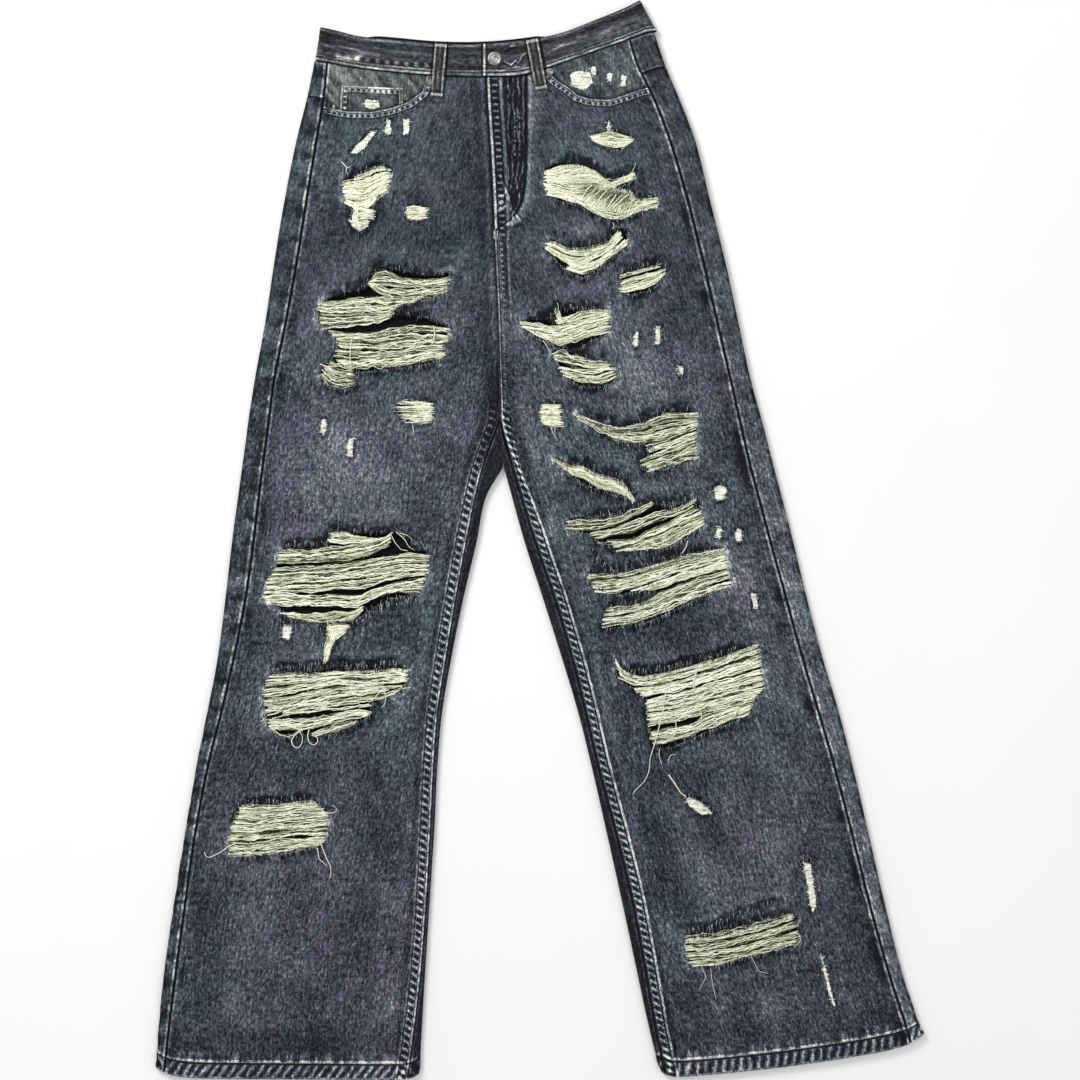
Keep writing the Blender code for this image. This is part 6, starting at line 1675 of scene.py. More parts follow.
    # the dark map turns the colour near-black, mostly as painted shade; it is cleared on bare weft and laid as a
    # painted-shade rim round it
    dark_and_shade = N.math("MULTIPLY", dark_and_shade, N.span(bare, 0.57, 0.45))
    dark_and_shade = N.math("ADD", dark_and_shade, N.mul(N.span(bare, 0.26, 0.40), N.span(
        bare, 0.50, 0.42), 0.50))
    col = N.mix(N.math("MULTIPLY", dark_and_shade, 1.0, clamp=True), col,
                lin(7, 8, 11))
    N.wire(col, N.bsdf.inputs["Base Color"])
    N.wire(N.math("MULTIPLY_ADD", grain, -0.10, 0.88),
           N.bsdf.inputs["Roughness"])
    h = N.math("ADD", N.math("MULTIPLY", ribs, 0.5),
               N.math("ADD", N.math("MULTIPLY", fleck, 0.8),
                      N.math("MULTIPLY", slub, 0.5)))
    bump = N.add("ShaderNodeBump")
    bump.inputs["Strength"].default_value = 0.55
    bump.inputs["Distance"].default_value = 0.00035
    N.wire(h, bump.inputs["Height"])
    N.wire(bump.outputs[0], N.bsdf.inputs["Normal"])
    N.bsdf.inputs["Sheen Weight"].default_value = 0.06
    N.bsdf.inputs["Sheen Roughness"].default_value = 0.5
    N.bsdf.inputs["Specular IOR Level"].default_value = 0.18
    return N.mat


def inside_shade(name):
    """The wrong side of the cloth, painted near-black as the shade inside the legs."""
    N = Nodes(name)
    cloth = N.attr("cloth", True)
    n = N.noise(N.mapv(cloth, (0.5, 0.5, 1.0)), 1.0, 2.0)
    N.wire(N.ramp(n, [(0.3, lin(7, 7, 8)), (0.7, lin(19, 20, 22))]),
           N.bsdf.inputs["Base Color"])
    N.wire(N.math("MULTIPLY_ADD", n, 0.1, 0.85), N.bsdf.inputs["Roughness"])
    N.bsdf.inputs["Specular IOR Level"].default_value = 0.1
    return N.mat


def strand_mat(name, stops, rough=0.85, fine=1.0):
    """Yarn: tone is painted on each strand; fibres break it up."""
    N = Nodes(name)
    co = N.add("ShaderNodeTexCoord").outputs["Object"]
    f = N.noise(N.mapv(co, (620 * fine, 900 * fine, 900 * fine)), 1.0, 2.0,
                0.6)
    t = N.math("ADD", N.attr("tone"),
               N.math("MULTIPLY", N.math("SUBTRACT", f, 0.5), 0.95))
    N.wire(N.ramp(t, stops), N.bsdf.inputs["Base Color"])
    N.wire(N.math("MULTIPLY_ADD", f, 0.12, rough - 0.06),
           N.bsdf.inputs["Roughness"])
    bump = N.add("ShaderNodeBump")
    bump.inputs["Strength"].default_value = 0.5
    bump.inputs["Distance"].default_value = 0.0002
    N.wire(f, bump.inputs["Height"])
    N.wire(bump.outputs[0], N.bsdf.inputs["Normal"])
    N.bsdf.inputs["Specular IOR Level"].default_value = 0.15
    return N.mat


def metal(name, col_a, col_b, rough, scratch=260.0):
    N = Nodes(name)
    co = N.add("ShaderNodeTexCoord").outputs["Object"]
    n = N.noise(N.mapv(co, (scratch, scratch, scratch)), 1.0, 3.0, 0.6)
    n2 = N.noise(N.mapv(co, (1400, 300, 900)), 1.0, 2.0)
    f = N.math("ADD", N.math("MULTIPLY", n, 0.7), N.math("MULTIPLY", n2, 0.3))
    N.wire(N.ramp(f, [(0.3, col_b), (0.62, col_a)]),
           N.bsdf.inputs["Base Color"])
    N.wire(N.math("MULTIPLY_ADD", f, 0.35, rough - 0.15),
           N.bsdf.inputs["Roughness"])
    N.bsdf.inputs["Metallic"].default_value = 0.9
    bump = N.add("ShaderNodeBump")
    bump.inputs["Strength"].default_value = 0.25
    bump.inputs["Distance"].default_value = 0.0001
    N.wire(n2, bump.inputs["Height"])
    N.wire(bump.outputs[0], N.bsdf.inputs["Normal"])
    return N.mat


M_FRONT = {q: denim("denim_front_" + q, lines=q) for q in ("right", "left")}
M_BACK = {q: denim("denim_back_" + q, base=-0.01, lines="back_" + q)
          for q in ("right", "left")}
M_BAND = denim("denim_band", base=-0.02, grey=0.58, warm=0.02, contrast=0.62,
               lines="band")
M_LOOP = denim("denim_loop", base=-0.08, grey=0.75, contrast=0.8,
               green=0.01)
M_FACING = denim("denim_facing", base=0.12, grey=0.7, contrast=0.7,
                 green=0.035)
M_COIN = denim("denim_coin", base=0.10, grey=0.6, contrast=0.8, green=0.03,
               lines="coin")
# inner faces: near-black, painted shade seen through the rips and at the hems
M_INSIDE_SHADE = inside_shade("denim_inside_shade")
CREAM = [(0.0, lin(24, 25, 17)), (0.22, lin(80, 82, 60)),
         (0.5, lin(159, 162, 132)), (0.76, lin(227, 229, 200)),
         (1.0, lin(252, 252, 238))]
M_WEFT = strand_mat("weft_yarn", CREAM)
M_FRAY = strand_mat("fray_yarn", [
    (0.0, lin(7, 8, 11)), (0.3, lin(28, 31, 40)), (0.55, lin(74, 80, 94)),
    (0.8, lin(168, 174, 180)), (1.0, lin(240, 242, 234))])
M_STITCH = strand_mat("stitch_thread", [
    (0.0, lin(40, 42, 46)), (0.4, lin(112, 116, 116)),
    (0.75, lin(176, 179, 172)), (1.0, lin(214, 216, 206))])
M_METAL = metal("button_metal", lin(172, 174, 171), lin(70, 72, 70), 0.46)
M_RIVET = metal("rivet_metal", lin(150, 150, 146), lin(48, 49, 50), 0.5)


# ----------------------------------------------------------- front: the maps
SGN = {"right": -1.0, "left": 1.0}       # towards the outseam
HEM_LINE = {}
for _s in ("right", "left"):
    _w = np.linspace(0, 1, 240)
    _x, _y = section_plan(_s, _w, np.ones_like(_w))
    _o = np.argsort(_x)
    HEM_LINE[_s] = (_x[_o], _y[_o])
# J-shaped stitching of the fly: y, distance from the fly's edge
FLY_J = [(500.0, 39.5), (461.0, 39.5), (421.0, 37.4), (382.0, 34.6),
         (357.0, 32.5), (339.0, 28.6), (328.0, 23.0), (320.0, 16.7),
         (314.0, 6.5), (309.0, 1.0)]
LEG_RIPS = {s: [r for r in RIPS if r["leg"] == s] for s in ("right", "left")}


def seam_x(side, y):
    return table(LEG[side], 2, y)


def inner_x(side, y):
    mix = step(CROTCH_FROM, CROTCH_TO, y)
    return inner(side, y) * (1 - mix) + table(LEG[side], 3, y) * mix


def hem_up(side, x, y):
    hx, hy = HEM_LINE[side]
    slope = 0.0 if side == "right" else 0.12
    return (y - np.interp(x, hx, hy)) / math.hypot(1, slope)


# soft folds added on top of the main ones:
# x0, y0, x1, y1, half width, rise, curve (sideways bow)
SOFT = {
    "right": [
        (-213, 428, -240, 300, 7, 0.9, -4), (-196, 420, -205, 372, 9, -0.6, 2),
        (-120, 430, -96, 340, 12, 0.8, 6), (-70, 432, -64, 330, 9, -0.7, 3),
        (-150, 300, -62, 318, 10, -0.9, 6), (-60, 300, -84, 262, 8, 0.7, 3),
        (-62, 250, -90, 178, 9, -0.9, -6), (-70, 150, -88, 40, 7, -0.9, 3),
        (-150, 146, -96, 96, 12, 0.7, 6), (-240, 190, -258, 40, 10, 0.6, 4),
        (-180, 110, -226, 20, 16, 0.9, 8), (-130, 60, -116, -2, 10, -0.8, 4),
        (-285, 60, -282, -50, 8, -0.6, 0), (-232, -70, -226, -128, 14, 0.8, 4),
        (-110, -60, -104, -150, 9, 0.8, 4), (-128, -150, -134, -260, 12, 0.9, 6),
        (-160, -205, -116, -140, 10, -0.9, 8), (-205, -200, -150, -260, 15, 0.8, 9),
        (-325, -120, -322, -240, 10, -0.5, 3), (-258, -316, -262, -420, 16, 0.7, 6),
        (-200, -320, -178, -470, 13, -0.7, -9), (-150, -330, -150, -500, 12, 0.7, 4),
        (-330, -330, -338, -500, 10, -0.5, 4), (-232, -430, -222, -518, 10, -0.5, 3),
        (-300, -400, -296, -515, 12, 0.6, 5), (-104, 130, -60, 96, 7, 0.8, 5)],
    "left": [
        (30, 430, 24, 372, 9, 0.7, 4), (90, 430, 118, 330, 12, -0.7, -6),
        (-22, 420, -20, 320, 8, -0.6, 3), (122, 420, 148, 300, 8, 0.8, 4),
        (-30, 300, 60, 322, 9, 0.8, 5), (-32, 262, 12, 216, 8, -0.9, -5),
        (60, 250, 120, 218, 12, 0.8, 6), (98, 300, 170, 268, 11, -0.7, 5),
        (-28, 190, -8, 60, 7, -0.8, 6), (150, 230, 168, 120, 10, 0.6, 5),
        (178, 190, 206, 60, 8, -0.6, 4), (60, 120, 16, 60, 10, 0.8, 6),
        (180, 40, 205, -40, 9, 0.7, 4), (20, -10, 44, -90, 8, -0.9, 5),
        (200, -30, 236, -110, 12, 0.7, 4), (60, -110, 80, -220, 9, 0.9, 3),
        (226, -150, 262, -250, 14, 0.8, 8), (92, -240, 112, -420, 8, 0.9, 4),
        (160, -210, 196, -330, 12, -0.8, 7), (238, -270, 262, -380, 14, 0.7, 6),
        (258, -340, 288, -460, 9, -0.7, 6), (128, -430, 140, -520, 9, -0.7, 3),
        (196, -420, 208, -512, 10, -0.7, 4), (300, -380, 322, -500, 13, 0.7, 5),
        (150, -300, 130, -400, 9, 0.6, 5), (262, -200, 300, -330, 9, -0.5, 6)]}

# Broad patches, lighter (+) and darker (-): faded wear, with painted shade
# along some folds; x, y, half width, half height
PATCH = {
    "right": [
        (-185, 62, 42, 60, 0.50), (-150, 110, 60, 30, 0.10),
        (-260, 40, 26, 60, 0.22), (-220, 160, 24, 60, 0.10),
        (-205, -70, 90, 22, -0.04), (-140, -40, 22, 40, -0.25),
        (-200, 150, 60, 16, -0.15), (-96, 40, 22, 60, -0.10),
        (-90, 230, 30, 30, -0.18), (-160, 320, 70, 26, -0.20),
        (-240, 330, 14, 60, 0.18), (-120, 400, 40, 22, -0.10),
        (-150, -240, 60, 30, -0.12), (-235, -420, 90, 60, 0.12), (-325, -390, 15, 60, -0.26),
        (-330, -250, 16, 60, 0.10), (-270, -230, 60, 24, -0.16),
        (-160, -280, 34, 80, -0.16),
        (-230, -500, 110, 20, -0.12), (-62, 380, 12, 60, -0.15),
        (-210, 300, 26, 26, -0.20)],
    "left": [
        (104, 172, 34, 34, 0.40), (140, 140, 40, 40, 0.14),
        (120, 240, 60, 30, -0.10), (30, 130, 40, 30, -0.16),
        (150, 20, 60, 14, -0.10), (50, 40, 34, 30, -0.24),
        (130, -92, 80, 16, -0.30), (190, 60, 20, 60, 0.14),
        (210, -60, 24, 60, 0.16), (60, -130, 24, 60, -0.12),
        (118, -250, 24, 60, -0.26), (96, -300, 9, 90, 0.18),
        (130, -315, 26, 60, -0.24), (220, -310, 60, 50, 0.12),
        (250, -250, 26, 80, 0.12), (252, -110, 26, 70, 0.22), (200, -450, 80, 30, -0.12), (300, -420, 40, 80, -0.10),
        (-10, 400, 40, 26, -0.22), (0, 250, 26, 60, -0.14),
        (60, 330, 50, 20, -0.22), (130, 400, 14, 60, 0.16),
        (150, -430, 12, 60, -0.12), (232, -480, 12, 40, 0.14)]}
# Cast: plum (+) and teal (-)
CAST = {
    "right": [(-200, -100, 70, 22, -1.1), (-240, -400, 85, 90, 0.55),
              (-165, 118, 40, 34, -0.7), (-170, 390, 80, 46, -0.7), (-265, 30, 40, 60, 0.7),
              (-110, 110, 60, 50, 0.35), (-250, -280, 90, 80, 0.45),
              (-350, -460, 26, 60, -0.8), (-150, -200, 60, 60, -0.5),
              (-120, 300, 60, 60, -0.45), (-200, -460, 90, 60, 0.35),
              (-215, 250, 30, 60, 0.4), (-110, -60, 40, 40, -0.5),
              (-300, -120, 20, 80, -0.4), (-170, 420, 60, 40, -0.6),
              (-130, 190, 60, 24, -0.6), (-190, 100, 50, 40, 0.5),
              (-240, -200, 60, 30, -0.5), (-130, -340, 40, 90, 0.5),
              (-110, 360, 30, 60, 0.5)],
    "left": [(40, -130, 30, 40, -0.8), (20, 340, 60, 60, -0.5),
             (130, 300, 50, 60, 0.4), (110, 170, 60, 40, 0.5),
             (50, 150, 50, 50, -0.5), (30, 20, 40, 60, -0.6),
             (200, -100, 60, 80, 0.35), (180, -300, 80, 80, 0.4),
             (110, -260, 30, 80, -0.6), (300, -460, 60, 60, 0.3),
             (200, -480, 90, 40, 0.2), (120, 430, 40, 30, -0.4),
             (100, 90, 80, 30, -0.6), (150, 30, 60, 24, -0.5),
             (110, -60, 70, 30, -0.6), (220, -200, 40, 60, -0.4),
             (140, -400, 40, 60, -0.5), (250, -380, 50, 60, 0.4),
             (60, 260, 40, 30, 0.4), (180, 120, 30, 60, 0.4)]}


def blobs(x, y, rows_):
    out = np.zeros(np.broadcast(x, y).shape)
    for px, py, hw, hh, a in rows_:
        out = out + a * np.exp(-((x - px) / hw) ** 2 - ((y - py) / hh) ** 2)
    return out


def soft_folds(side, x, y):
    dz = np.zeros(np.broadcast(x, y).shape)
    for x0, y0, x1, y1, half, rise, bow in SOFT[side]:
        dx, dy = x1 - x0, y1 - y0
        length = math.hypot(dx, dy)
        t = ((x - x0) * dx + (y - y0) * dy) / (length * length)
        off = ((x - x0) * dy - (y - y0) * dx) / length
        off = off - bow * np.sin(np.pi * np.clip(t, 0, 1)) * 2
        ends = step(-0.15, 0.3, t) * step(1.15, 0.7, t)
        hw = half * (0.75 + 0.5 * np.clip(t, 0, 1))
        dz = dz + rise * ends * np.exp(-(off / hw) ** 2)
    return dz


def front_detail(side, x, y):
    """Relief on the plain surface (mm) and the maps the cloth's finish reads,
    at any place on a front panel; painted shading, painted highlights and
    painted shade are among those maps."""
    x, y = np.broadcast_arrays(np.asarray(x, float), np.asarray(y, float))
    so = np.abs(x - seam_x(side, y)) * 0.975
    si = (x - inner_x(side, y)) * SGN[side] * 0.985
    hd = hem_up(side, x, y)
    along = -y
    leg = step(150.0, 118.0, y)                  # 1 on a leg, 0 on the hips
    g = {k: np.zeros(x.shape) for k in
         ("wear_and_shade", "edge", "dark_and_shade", "tint", "bare", "grey")}
    n27 = noise(along, 0, 27, 1, 11 if side == "right" else 23)
    n9 = noise(along, 0, 9, 1, 31)
    n5 = noise(along, so, 5, 30, 37)
    dz = np.zeros(x.shape)

    # ---- broad form, soft folds and wear; the cloth is also painted lighter where
    # folds and swells rise, as painted shading
    sf = soft_folds(side, x, y)
    calm = step(2.0, 24.0, so) * step(1.0, 16.0, si) * step(2.0, 20.0, hd)
    big = fbm(x, y, 46, 5) - 0.5
    mid = fbm(x, y * 0.8, 15, 9) - 0.5
    dz += calm * (sf + 1.1 * big + 0.55 * mid)
    dz += 0.10 * (noise(x, y, 5.0, 7.0, 77) - 0.5)
    g["wear_and_shade"] += 0.55 * sf * 0.5 + 0.35 * big + 0.30 * mid
    g["wear_and_shade"] += 0.9 * blobs(x, y, PATCH[side])
    g["tint"] += blobs(x, y, CAST[side])
    f0 = folds(x, y)
    g["wear_and_shade"] += 0.14 * f0
    g["wear_and_shade"] -= 0.18 * step(26.0, 4.0, so) * step(0, 6, so)

    # ---- side seam: front's edge a little proud, puckered behind it; the pucker
    # hollows are painted darker and their crests lighter, as painted shading
    dz += 0.40 * gauss(so - 1.9, 1.6) - 0.75 * step(1.3, 0.0, so)
    dz += 0.40 * (n27 - 0.45) * gauss(so - 6.5, 4.0) \
        - 0.22 * gauss(so - 11, 3.0)
    spot = step(0.42, 0.18, n27) if side == "left" else step(0.32, 0.12, n27)
    g["wear_and_shade"] -= 0.75 * spot * gauss(so - 6.0, 2.8)
    g["dark_and_shade"] += (0.55 if side == "left" else 0.25) * spot * gauss(
        so - 6.6, 3.0) * (y < 250)
    g["wear_and_shade"] += 0.30 * step(0.55, 0.8, n27) * gauss(so - 7.0, 4.0)

    # ---- inseam: felled band
    band = leg * step(0.0, 0.8, si) * step(12.4, 11.0, si)
    slant = 0.55 if side == "right" else -0.55
    bars = np.sin(2 * np.pi * (along + slant * si) / 7.4
                  + 2.0 * (noise(along, 0, 16, 1, 41) - 0.5))
    in_band = leg * window(si, 2.4, 9.6, 0.9)
    dz += 0.45 * band + 0.16 * bars * in_band - 0.45 * leg * step(
        0.9, 0.0, si) - 0.30 * leg * gauss(si - 12.9, 1.3)
    g["wear_and_shade"] -= leg * 0.35 * gauss(si - 16.0, 2.6)
    g["wear_and_shade"] += leg * 0.22 * gauss(si - 20.0, 5.0) * (0.4 + n27)

    # ---- hem: turned up twice and sewn, puckered above
    pk = noise(x, 0, 4.6, 1, 51)
    hbars = np.sin(2 * np.pi * (x * (1 if side == "right" else -1) * 0.92
                                - 0.75 * hd) / 9.0
                   + 1.6 * (noise(x, 0, 19, 1, 57) - 0.5))
    hem = step(17.4, 16.0, hd)
    dz += 0.55 * hem + 0.22 * hbars * window(hd, 2.5, 14.0, 1.5) \
        - 0.35 * gauss(hd - 15.6, 0.8) \
        + 0.35 * (pk - 0.5) * window(hd, 17, 24, 4)
    g["wear_and_shade"] -= 0.20 * window(hd, 22, 44, 10)

    # ---- waist edge tucked under the waistband: painted shade under the band's
    # edge, painted shading on the puckers below it
    wd = table(WAIST_SEAM, 1, x) - y
    g["dark_and_shade"] += 0.75 * step(2.2, 0.6, wd) * (wd > -2)
    dz += 0.25 * gauss(wd - 4.5, 2.5) * (noise(x, 0, 9.7, 1, 61) - 0.3)
    g["wear_and_shade"] += 0.5 * (noise(x, 0, 9.7, 1, 61) - 0.5) * gauss(wd - 5, 4)

    # painted shadow beside each front belt loop
    for _, lx0, ly0, lx1, ly1, shown in BELT_LOOPS:
        if shown:
            ld, _, _ = line_distance(x, y, [(lx0, ly0), (lx1, ly1)])
            g["dark_and_shade"] += 0.62 * gauss(ld - 0.5 * LOOP_WIDTH - 0.6, 1.7)

    # ---- front pocket opening
    pd, pal, _ = line_distance(x, y, POCKET_EDGE[side])
    pd = np.minimum(pd, 60.0)
    dz += 0.42 * step(7.2, 6.0, pd) - 0.35 * step(1.0, 0.0, pd) \
        + 0.12 * np.sin(2 * np.pi * pal / 5.6) * window(pd, 2.4, 6.0, 0.8) \
        - 0.2 * gauss(pd - 7.4, 0.8)
    g["wear_and_shade"] -= 0.20 * gauss(pd - 10.0, 3.0)

    # ---- centre front
    fj = np.interp(y, [r[0] for r in FLY_J[::-1]],
                   [r[1] for r in FLY_J[::-1]])
    fjd = si - fj
    if side == "left":
        up = step(296.0, 306.0, y)
        low = 1 - up
        rung = np.sin(2 * np.pi * along / 6.5 + 1.4 * (n9 - 0.5))
        dz += up * (0.35 * gauss(si - 2.8, 2.0) - 0.6 * step(0.9, 0, si)
                    + 0.14 * rung * window(si, 5.4, 12, 0.8)
                    + 0.30 * gauss(si - 15, 2.6)
                    - 0.35 * gauss(fjd - 1.5, 1.4))
        zone = up * step(16.5, 18.5, si) * step(0.5, -1.0, fjd)
        g["tint"] += zone * 0.9
        dz += zone * 0.8 * (noise(si, along, 3.6, 24, 67) - 0.5)
        g["wear_and_shade"] += up * 0.30 * step(0, 2, fjd - 2.5) * step(
            13.0, 3.0, fjd)
        # foot of the fly, and the seam below it: folds with painted highlights on
        # their crests and painted shade below them
        for fpts in ([(-44, 362), (-42, 350), (-37, 343), (-36, 330)],
                     [(-40, 346), (-45, 338), (-46, 330)]):
            fc, _, _ = line_distance(x, y, resample(fpts, 20, 3))
            dz += 0.4 * gauss(fc, 1.9)
        hook = gauss(np.hypot((x + 39.5) * 0.9, (y - 336) * 0.6), 4.2)
        g["edge"] += 0.8 * hook
        ridge = gauss((y - 317.5) - 0.25 * (x + 26), 1.8) * window(
            x, -33, -20, 2)
        g["edge"] += 0.55 * ridge
        dz += 0.4 * ridge
        g["dark_and_shade"] += 0.8 * gauss((y - 313.5) - 0.25 * (x + 26), 1.5) \
            * window(x, -40, -18, 3)
        lf = low * step(118.0, 132.0, y)
        dz += lf * (0.35 * gauss(si - 2.2, 1.6) - 0.5 * step(0.8, 0, si)
                    + 0.25 * gauss(si - 8.0, 3.0))
    else:
        # the right front runs on under the fly: painted shade there
        hipz = step(118.0, 134.0, y)
        g["dark_and_shade"] += np.where(si < -0.2, hipz, 0)
        dz -= hipz * (0.5 * step(1.5, 0.0, si))
        g["wear_and_shade"] -= hipz * 0.25 * gauss(si - 10.0, 4.0)

    # ---- crotch: the thigh rolls down into the valley, painted dark as its shade;
    # the left panel's raised edge gets a painted highlight
    vl = valley(y) * step(60.0, 90.0, y)
    if side == "right":
        g["dark_and_shade"] += vl * 0.75 * step(13.0, 1.0, si)
        g["wear_and_shade"] -= vl * 0.5 * step(34.0, 8.0, si)
    else:
        g["edge"] += vl * 0.5 * gauss(si - 2.0, 1.0)
        g["wear_and_shade"] -= vl * 0.25 * step(26.0, 6.0, si)

    # ---- rips: dark frayed halo, partly the warp ends' own colour and partly
    # painted shade; worn ends, creases; bare weft on small marks
    for k, r in enumerate(LEG_RIPS[side]):
        o = np.array(r["outline"])
        m = ((x > o[:, 0].min() - 24) & (x < o[:, 0].max() + 24)
             & (y > o[:, 1].min() - 24) & (y < o[:, 1].max() + 24))
        if not m.any():
            continue
        xm, ym = x[m], y[m]
        sd = signed(xm, ym, r["outline"], 24.0)
        cx, cy = o[:, 0].mean(), o[:, 1].mean()
        hw = 0.5 * np.ptp(o[:, 0]) + 1e-3
        hh = 0.5 * np.ptp(o[:, 1]) + 1e-3
        endness = step(0.55, 1.0, np.abs(xm - cx) / hw)
        above = step(-0.2, 0.8, (ym - cy) / hh)
        big_rip = 1.0 if r["cut"] else 0.45
        ragged = noise(xm, ym, 2.6, 12, 71 + k)
        ragg2 = noise(xm, ym, 6.0, 9, 171 + k)
        reach_up = (6.0 + 8.0 * ragg2) * big_rip
        reach_dn = (3.5 + 6.0 * ragg2) * big_rip
        reach_m = reach_up * above + reach_dn * (1 - above)
        halo = step(reach_m, reach_m * 0.55, sd) * (1 - 0.75 * endness)
        streaks = noise(xm, ym, 1.9, 9, 271 + k)
        g["wear_and_shade"][m] -= halo * big_rip * (0.50 + 1.3 * (streaks - 0.35))
        g["dark_and_shade"][m] += 0.76 * halo * big_rip * step(0.38, 0.62, streaks)
        g["edge"][m] += 0.45 * halo * big_rip * step(0.40, 0.24, streaks) \
            * step(0.35, 0.6, ragged)
        pale = gauss(sd - 2.0, 4.5) * endness * (1.0 if r["cut"] else 0.12)
        g["edge"][m] += 0.75 * pale * (0.35 + 0.9 * noise(
            xm, ym, 7, 2.4, 91 + k)) * (1.0 if hw > 12 else 0.6)
        g["tint"][m] -= 0.12 * pale
        g["wear_and_shade"][m] += 0.16 * big_rip * gauss(sd - 17.0, 6.0)
        dz[m] += 0.35 * big_rip * gauss(sd - 2.5, 4.0)
        if not r["cut"]:
            if r["bands"]:
                # painted black under the weft, as the shade of a hole
                g["dark_and_shade"][m] += 0.80 * step(0.6, -0.8, sd)
            else:
                thin = 0.01 if min(hw, hh) < 5.0 else 0.0
                g["bare"][m] = np.maximum(g["bare"][m], np.clip(
                    0.50 - thin - sd / 10.0, 0, 1))
            # painted shadow along each small mark's lower right rim
            shadow_side = step(-0.3, 0.6, 0.7 * (xm - cx) / max(hw, 3.0)
                       - 0.7 * (ym - cy) / hh)
            g["dark_and_shade"][m] += 0.42 * gauss(sd - 2.0, 1.5) * shadow_side
            g["edge"][m] += 0.10 * gauss(sd - 2.0, 2.4) * ragged
        for c in r["creases"]:
            d, al, _ = line_distance(xm, ym, c)
            tot = arc(c)[-1]
            ends = step(-1.0, 7.0, al) * step(tot + 1.0, tot - 7.0, al)
            wob = 1.2 + 0.9 * noise(al, 0, 9, 1, 101 + k)
            # painted shade in the crease, painted light on the ridge above it
            g["dark_and_shade"][m] += 0.85 * np.maximum(ends, 0.25) * gauss(
                d, wob) * step(-0.5, 0.6, sd)
            dz[m] -= 0.42 * np.maximum(ends, 0.25) * gauss(d, 2.2)
            dz[m] += 0.38 * gauss(d - 4.2, 3.0) * (ym > np.interp(
                xm, *zip(*sorted(c))))
            g["wear_and_shade"][m] += 0.20 * gauss(d - 5.0, 3.0) * (ym > np.interp(
                xm, *zip(*sorted(c))))
    g["dark_and_shade"] = np.clip(g["dark_and_shade"], 0, 1)
    g["wear_and_shade"] = np.clip(g["wear_and_shade"], -1.6, 1.3)
    g["edge"] = np.clip(g["edge"], 0, 1.25)
    g["bare"] = np.clip(g["bare"], 0, 1)
    g["cloth"] = np.stack([(x - outer(side, y)) * 0.975 * SGN[side] * -1,
                           -y, np.full(x.shape, 3.0 if side == "left"
                                       else 57.0)], -1)
    g["dist1"] = np.stack([so, si, hd], -1)
    g["dist2"] = np.stack([pd, fjd, pal], -1)
    return dz, g


def front_z(side, x, y):
    z = top_z(side, x, y)
    if side == "left":
        z = z + fly_lift(x, y)
    return z


def surface_z(side, x, y):
    """Outer face of the finished front cloth at any place."""
    return front_z(side, x, y) + front_detail(side, x, y)[0]


def pocket_cut(side):
    edge = POCKET_EDGE[side]
    a, b = edge[0], edge[-1]
    return edge + [(b[0] + 30 * SGN[side], b[1] + 20),
                   (b[0] + 30 * SGN[side], 560.0), (a[0], 560.0)]


def levels(spans):
    out = [spans[0][0]]
    for a, b, s in spans:
        n = max(1, int(round(abs(a - b) / s)))
        out += list(np.linspace(a, b, n + 1)[1:])
    return np.array(out)


def make_front(side):
    ys = levels([(462.5, 400.0, 1.6), (400.0, 195.0, 2.2),
                 (195.0, -512.0, 2.5), (-512.0, -538.0, 1.6)])
    v = np.array(rows(ys))
    v[0] += GAP / 1000.0
    v[-1] = 1.0
    ws, wi = across(side, 2, v), across(side, 3, v)
    xo, yo = section_plan(side, np.zeros_like(v), v)
    xi, yi = section_plan(side, np.ones_like(v), v)
    width = np.hypot(xi - xo, yi - yo)
    ws = ws + SIDE_GAP / width
    _, y_edge = section_plan(side, wi, v)
    wi = wi - np.maximum(0.12, 0.5 * seam_gap(y_edge)
                         * step(CROTCH_FROM, CROTCH_TO, y_edge)) / width
    under = 8.0 * step(318.0, 336.0, y_edge) if side == "right" else 0 * v
    a_off = np.array([0, .45, .9, 1.4, 2, 2.7, 3.6, 4.8, 6.4, 8.4])
    b_off = np.array([16, 14.2, 12.8, 11.6, 10.4, 9.2, 8, 6.8, 5.6, 4.4, 3.2,
                      2.2, 1.4, .8, .35, 0])
    if side == "left":
        # denser across the fly
        t_mid = np.linspace(0, 1, 64)[1:-1]
        t_mid = t_mid + 0.06 * np.sin(np.pi * t_mid) * t_mid
    else:
        t_mid = np.linspace(0, 1, 64)[1:-1]
    nr = len(v)
    cols = len(a_off) + len(t_mid) + len(b_off) + 2
    X, Y = np.zeros((nr, cols)), np.zeros((nr, cols))
    for i in range(nr):
        tot = (wi[i] - ws[i]) * width[i]
        mid = a_off[-1] + (tot - b_off[0] - a_off[-1]) * t_mid
        d = np.concatenate([a_off, mid, tot - b_off,
                            [tot + 0.5 * under[i] + 0.02,
                             tot + under[i] + 0.04]])
        w = ws[i] + d / width[i]
        X[i], Y[i] = section_plan(side, w, np.full(w.shape, v[i]))
    if side == "left":
        X, Y = X[:, :-2], Y[:, :-2]
    z = front_z(side, X, Y)
    dz, g = front_detail(side, X, Y)
    if side == "right":
        past = (inner_x(side, Y) - X) < -0.05
        dz = np.where(past, -0.5, dz)
    sd = signed(X, Y, pocket_cut(side), 20.0)
    for r in LEG_RIPS[side]:
        if r["cut"]:
            sd = np.minimum(sd, signed(X, Y, r["outline"], 20.0))
    hd = hem_up(side, X, Y)
    wall = 0.95 + 0.9 * step(17.0, 15.5, hd)
    p = np.stack([X, Y, z + dz], -1)
    ob = shell("jeans_front_" + side, p, wall, [M_FRONT[side], M_INSIDE_SHADE], g, sd,
               out=-1.0 if side == "right" else 1.0)
    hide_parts("front_panel_" + side)
    return ob


FRONT = {s: make_front(s) for s in ("right", "left")}


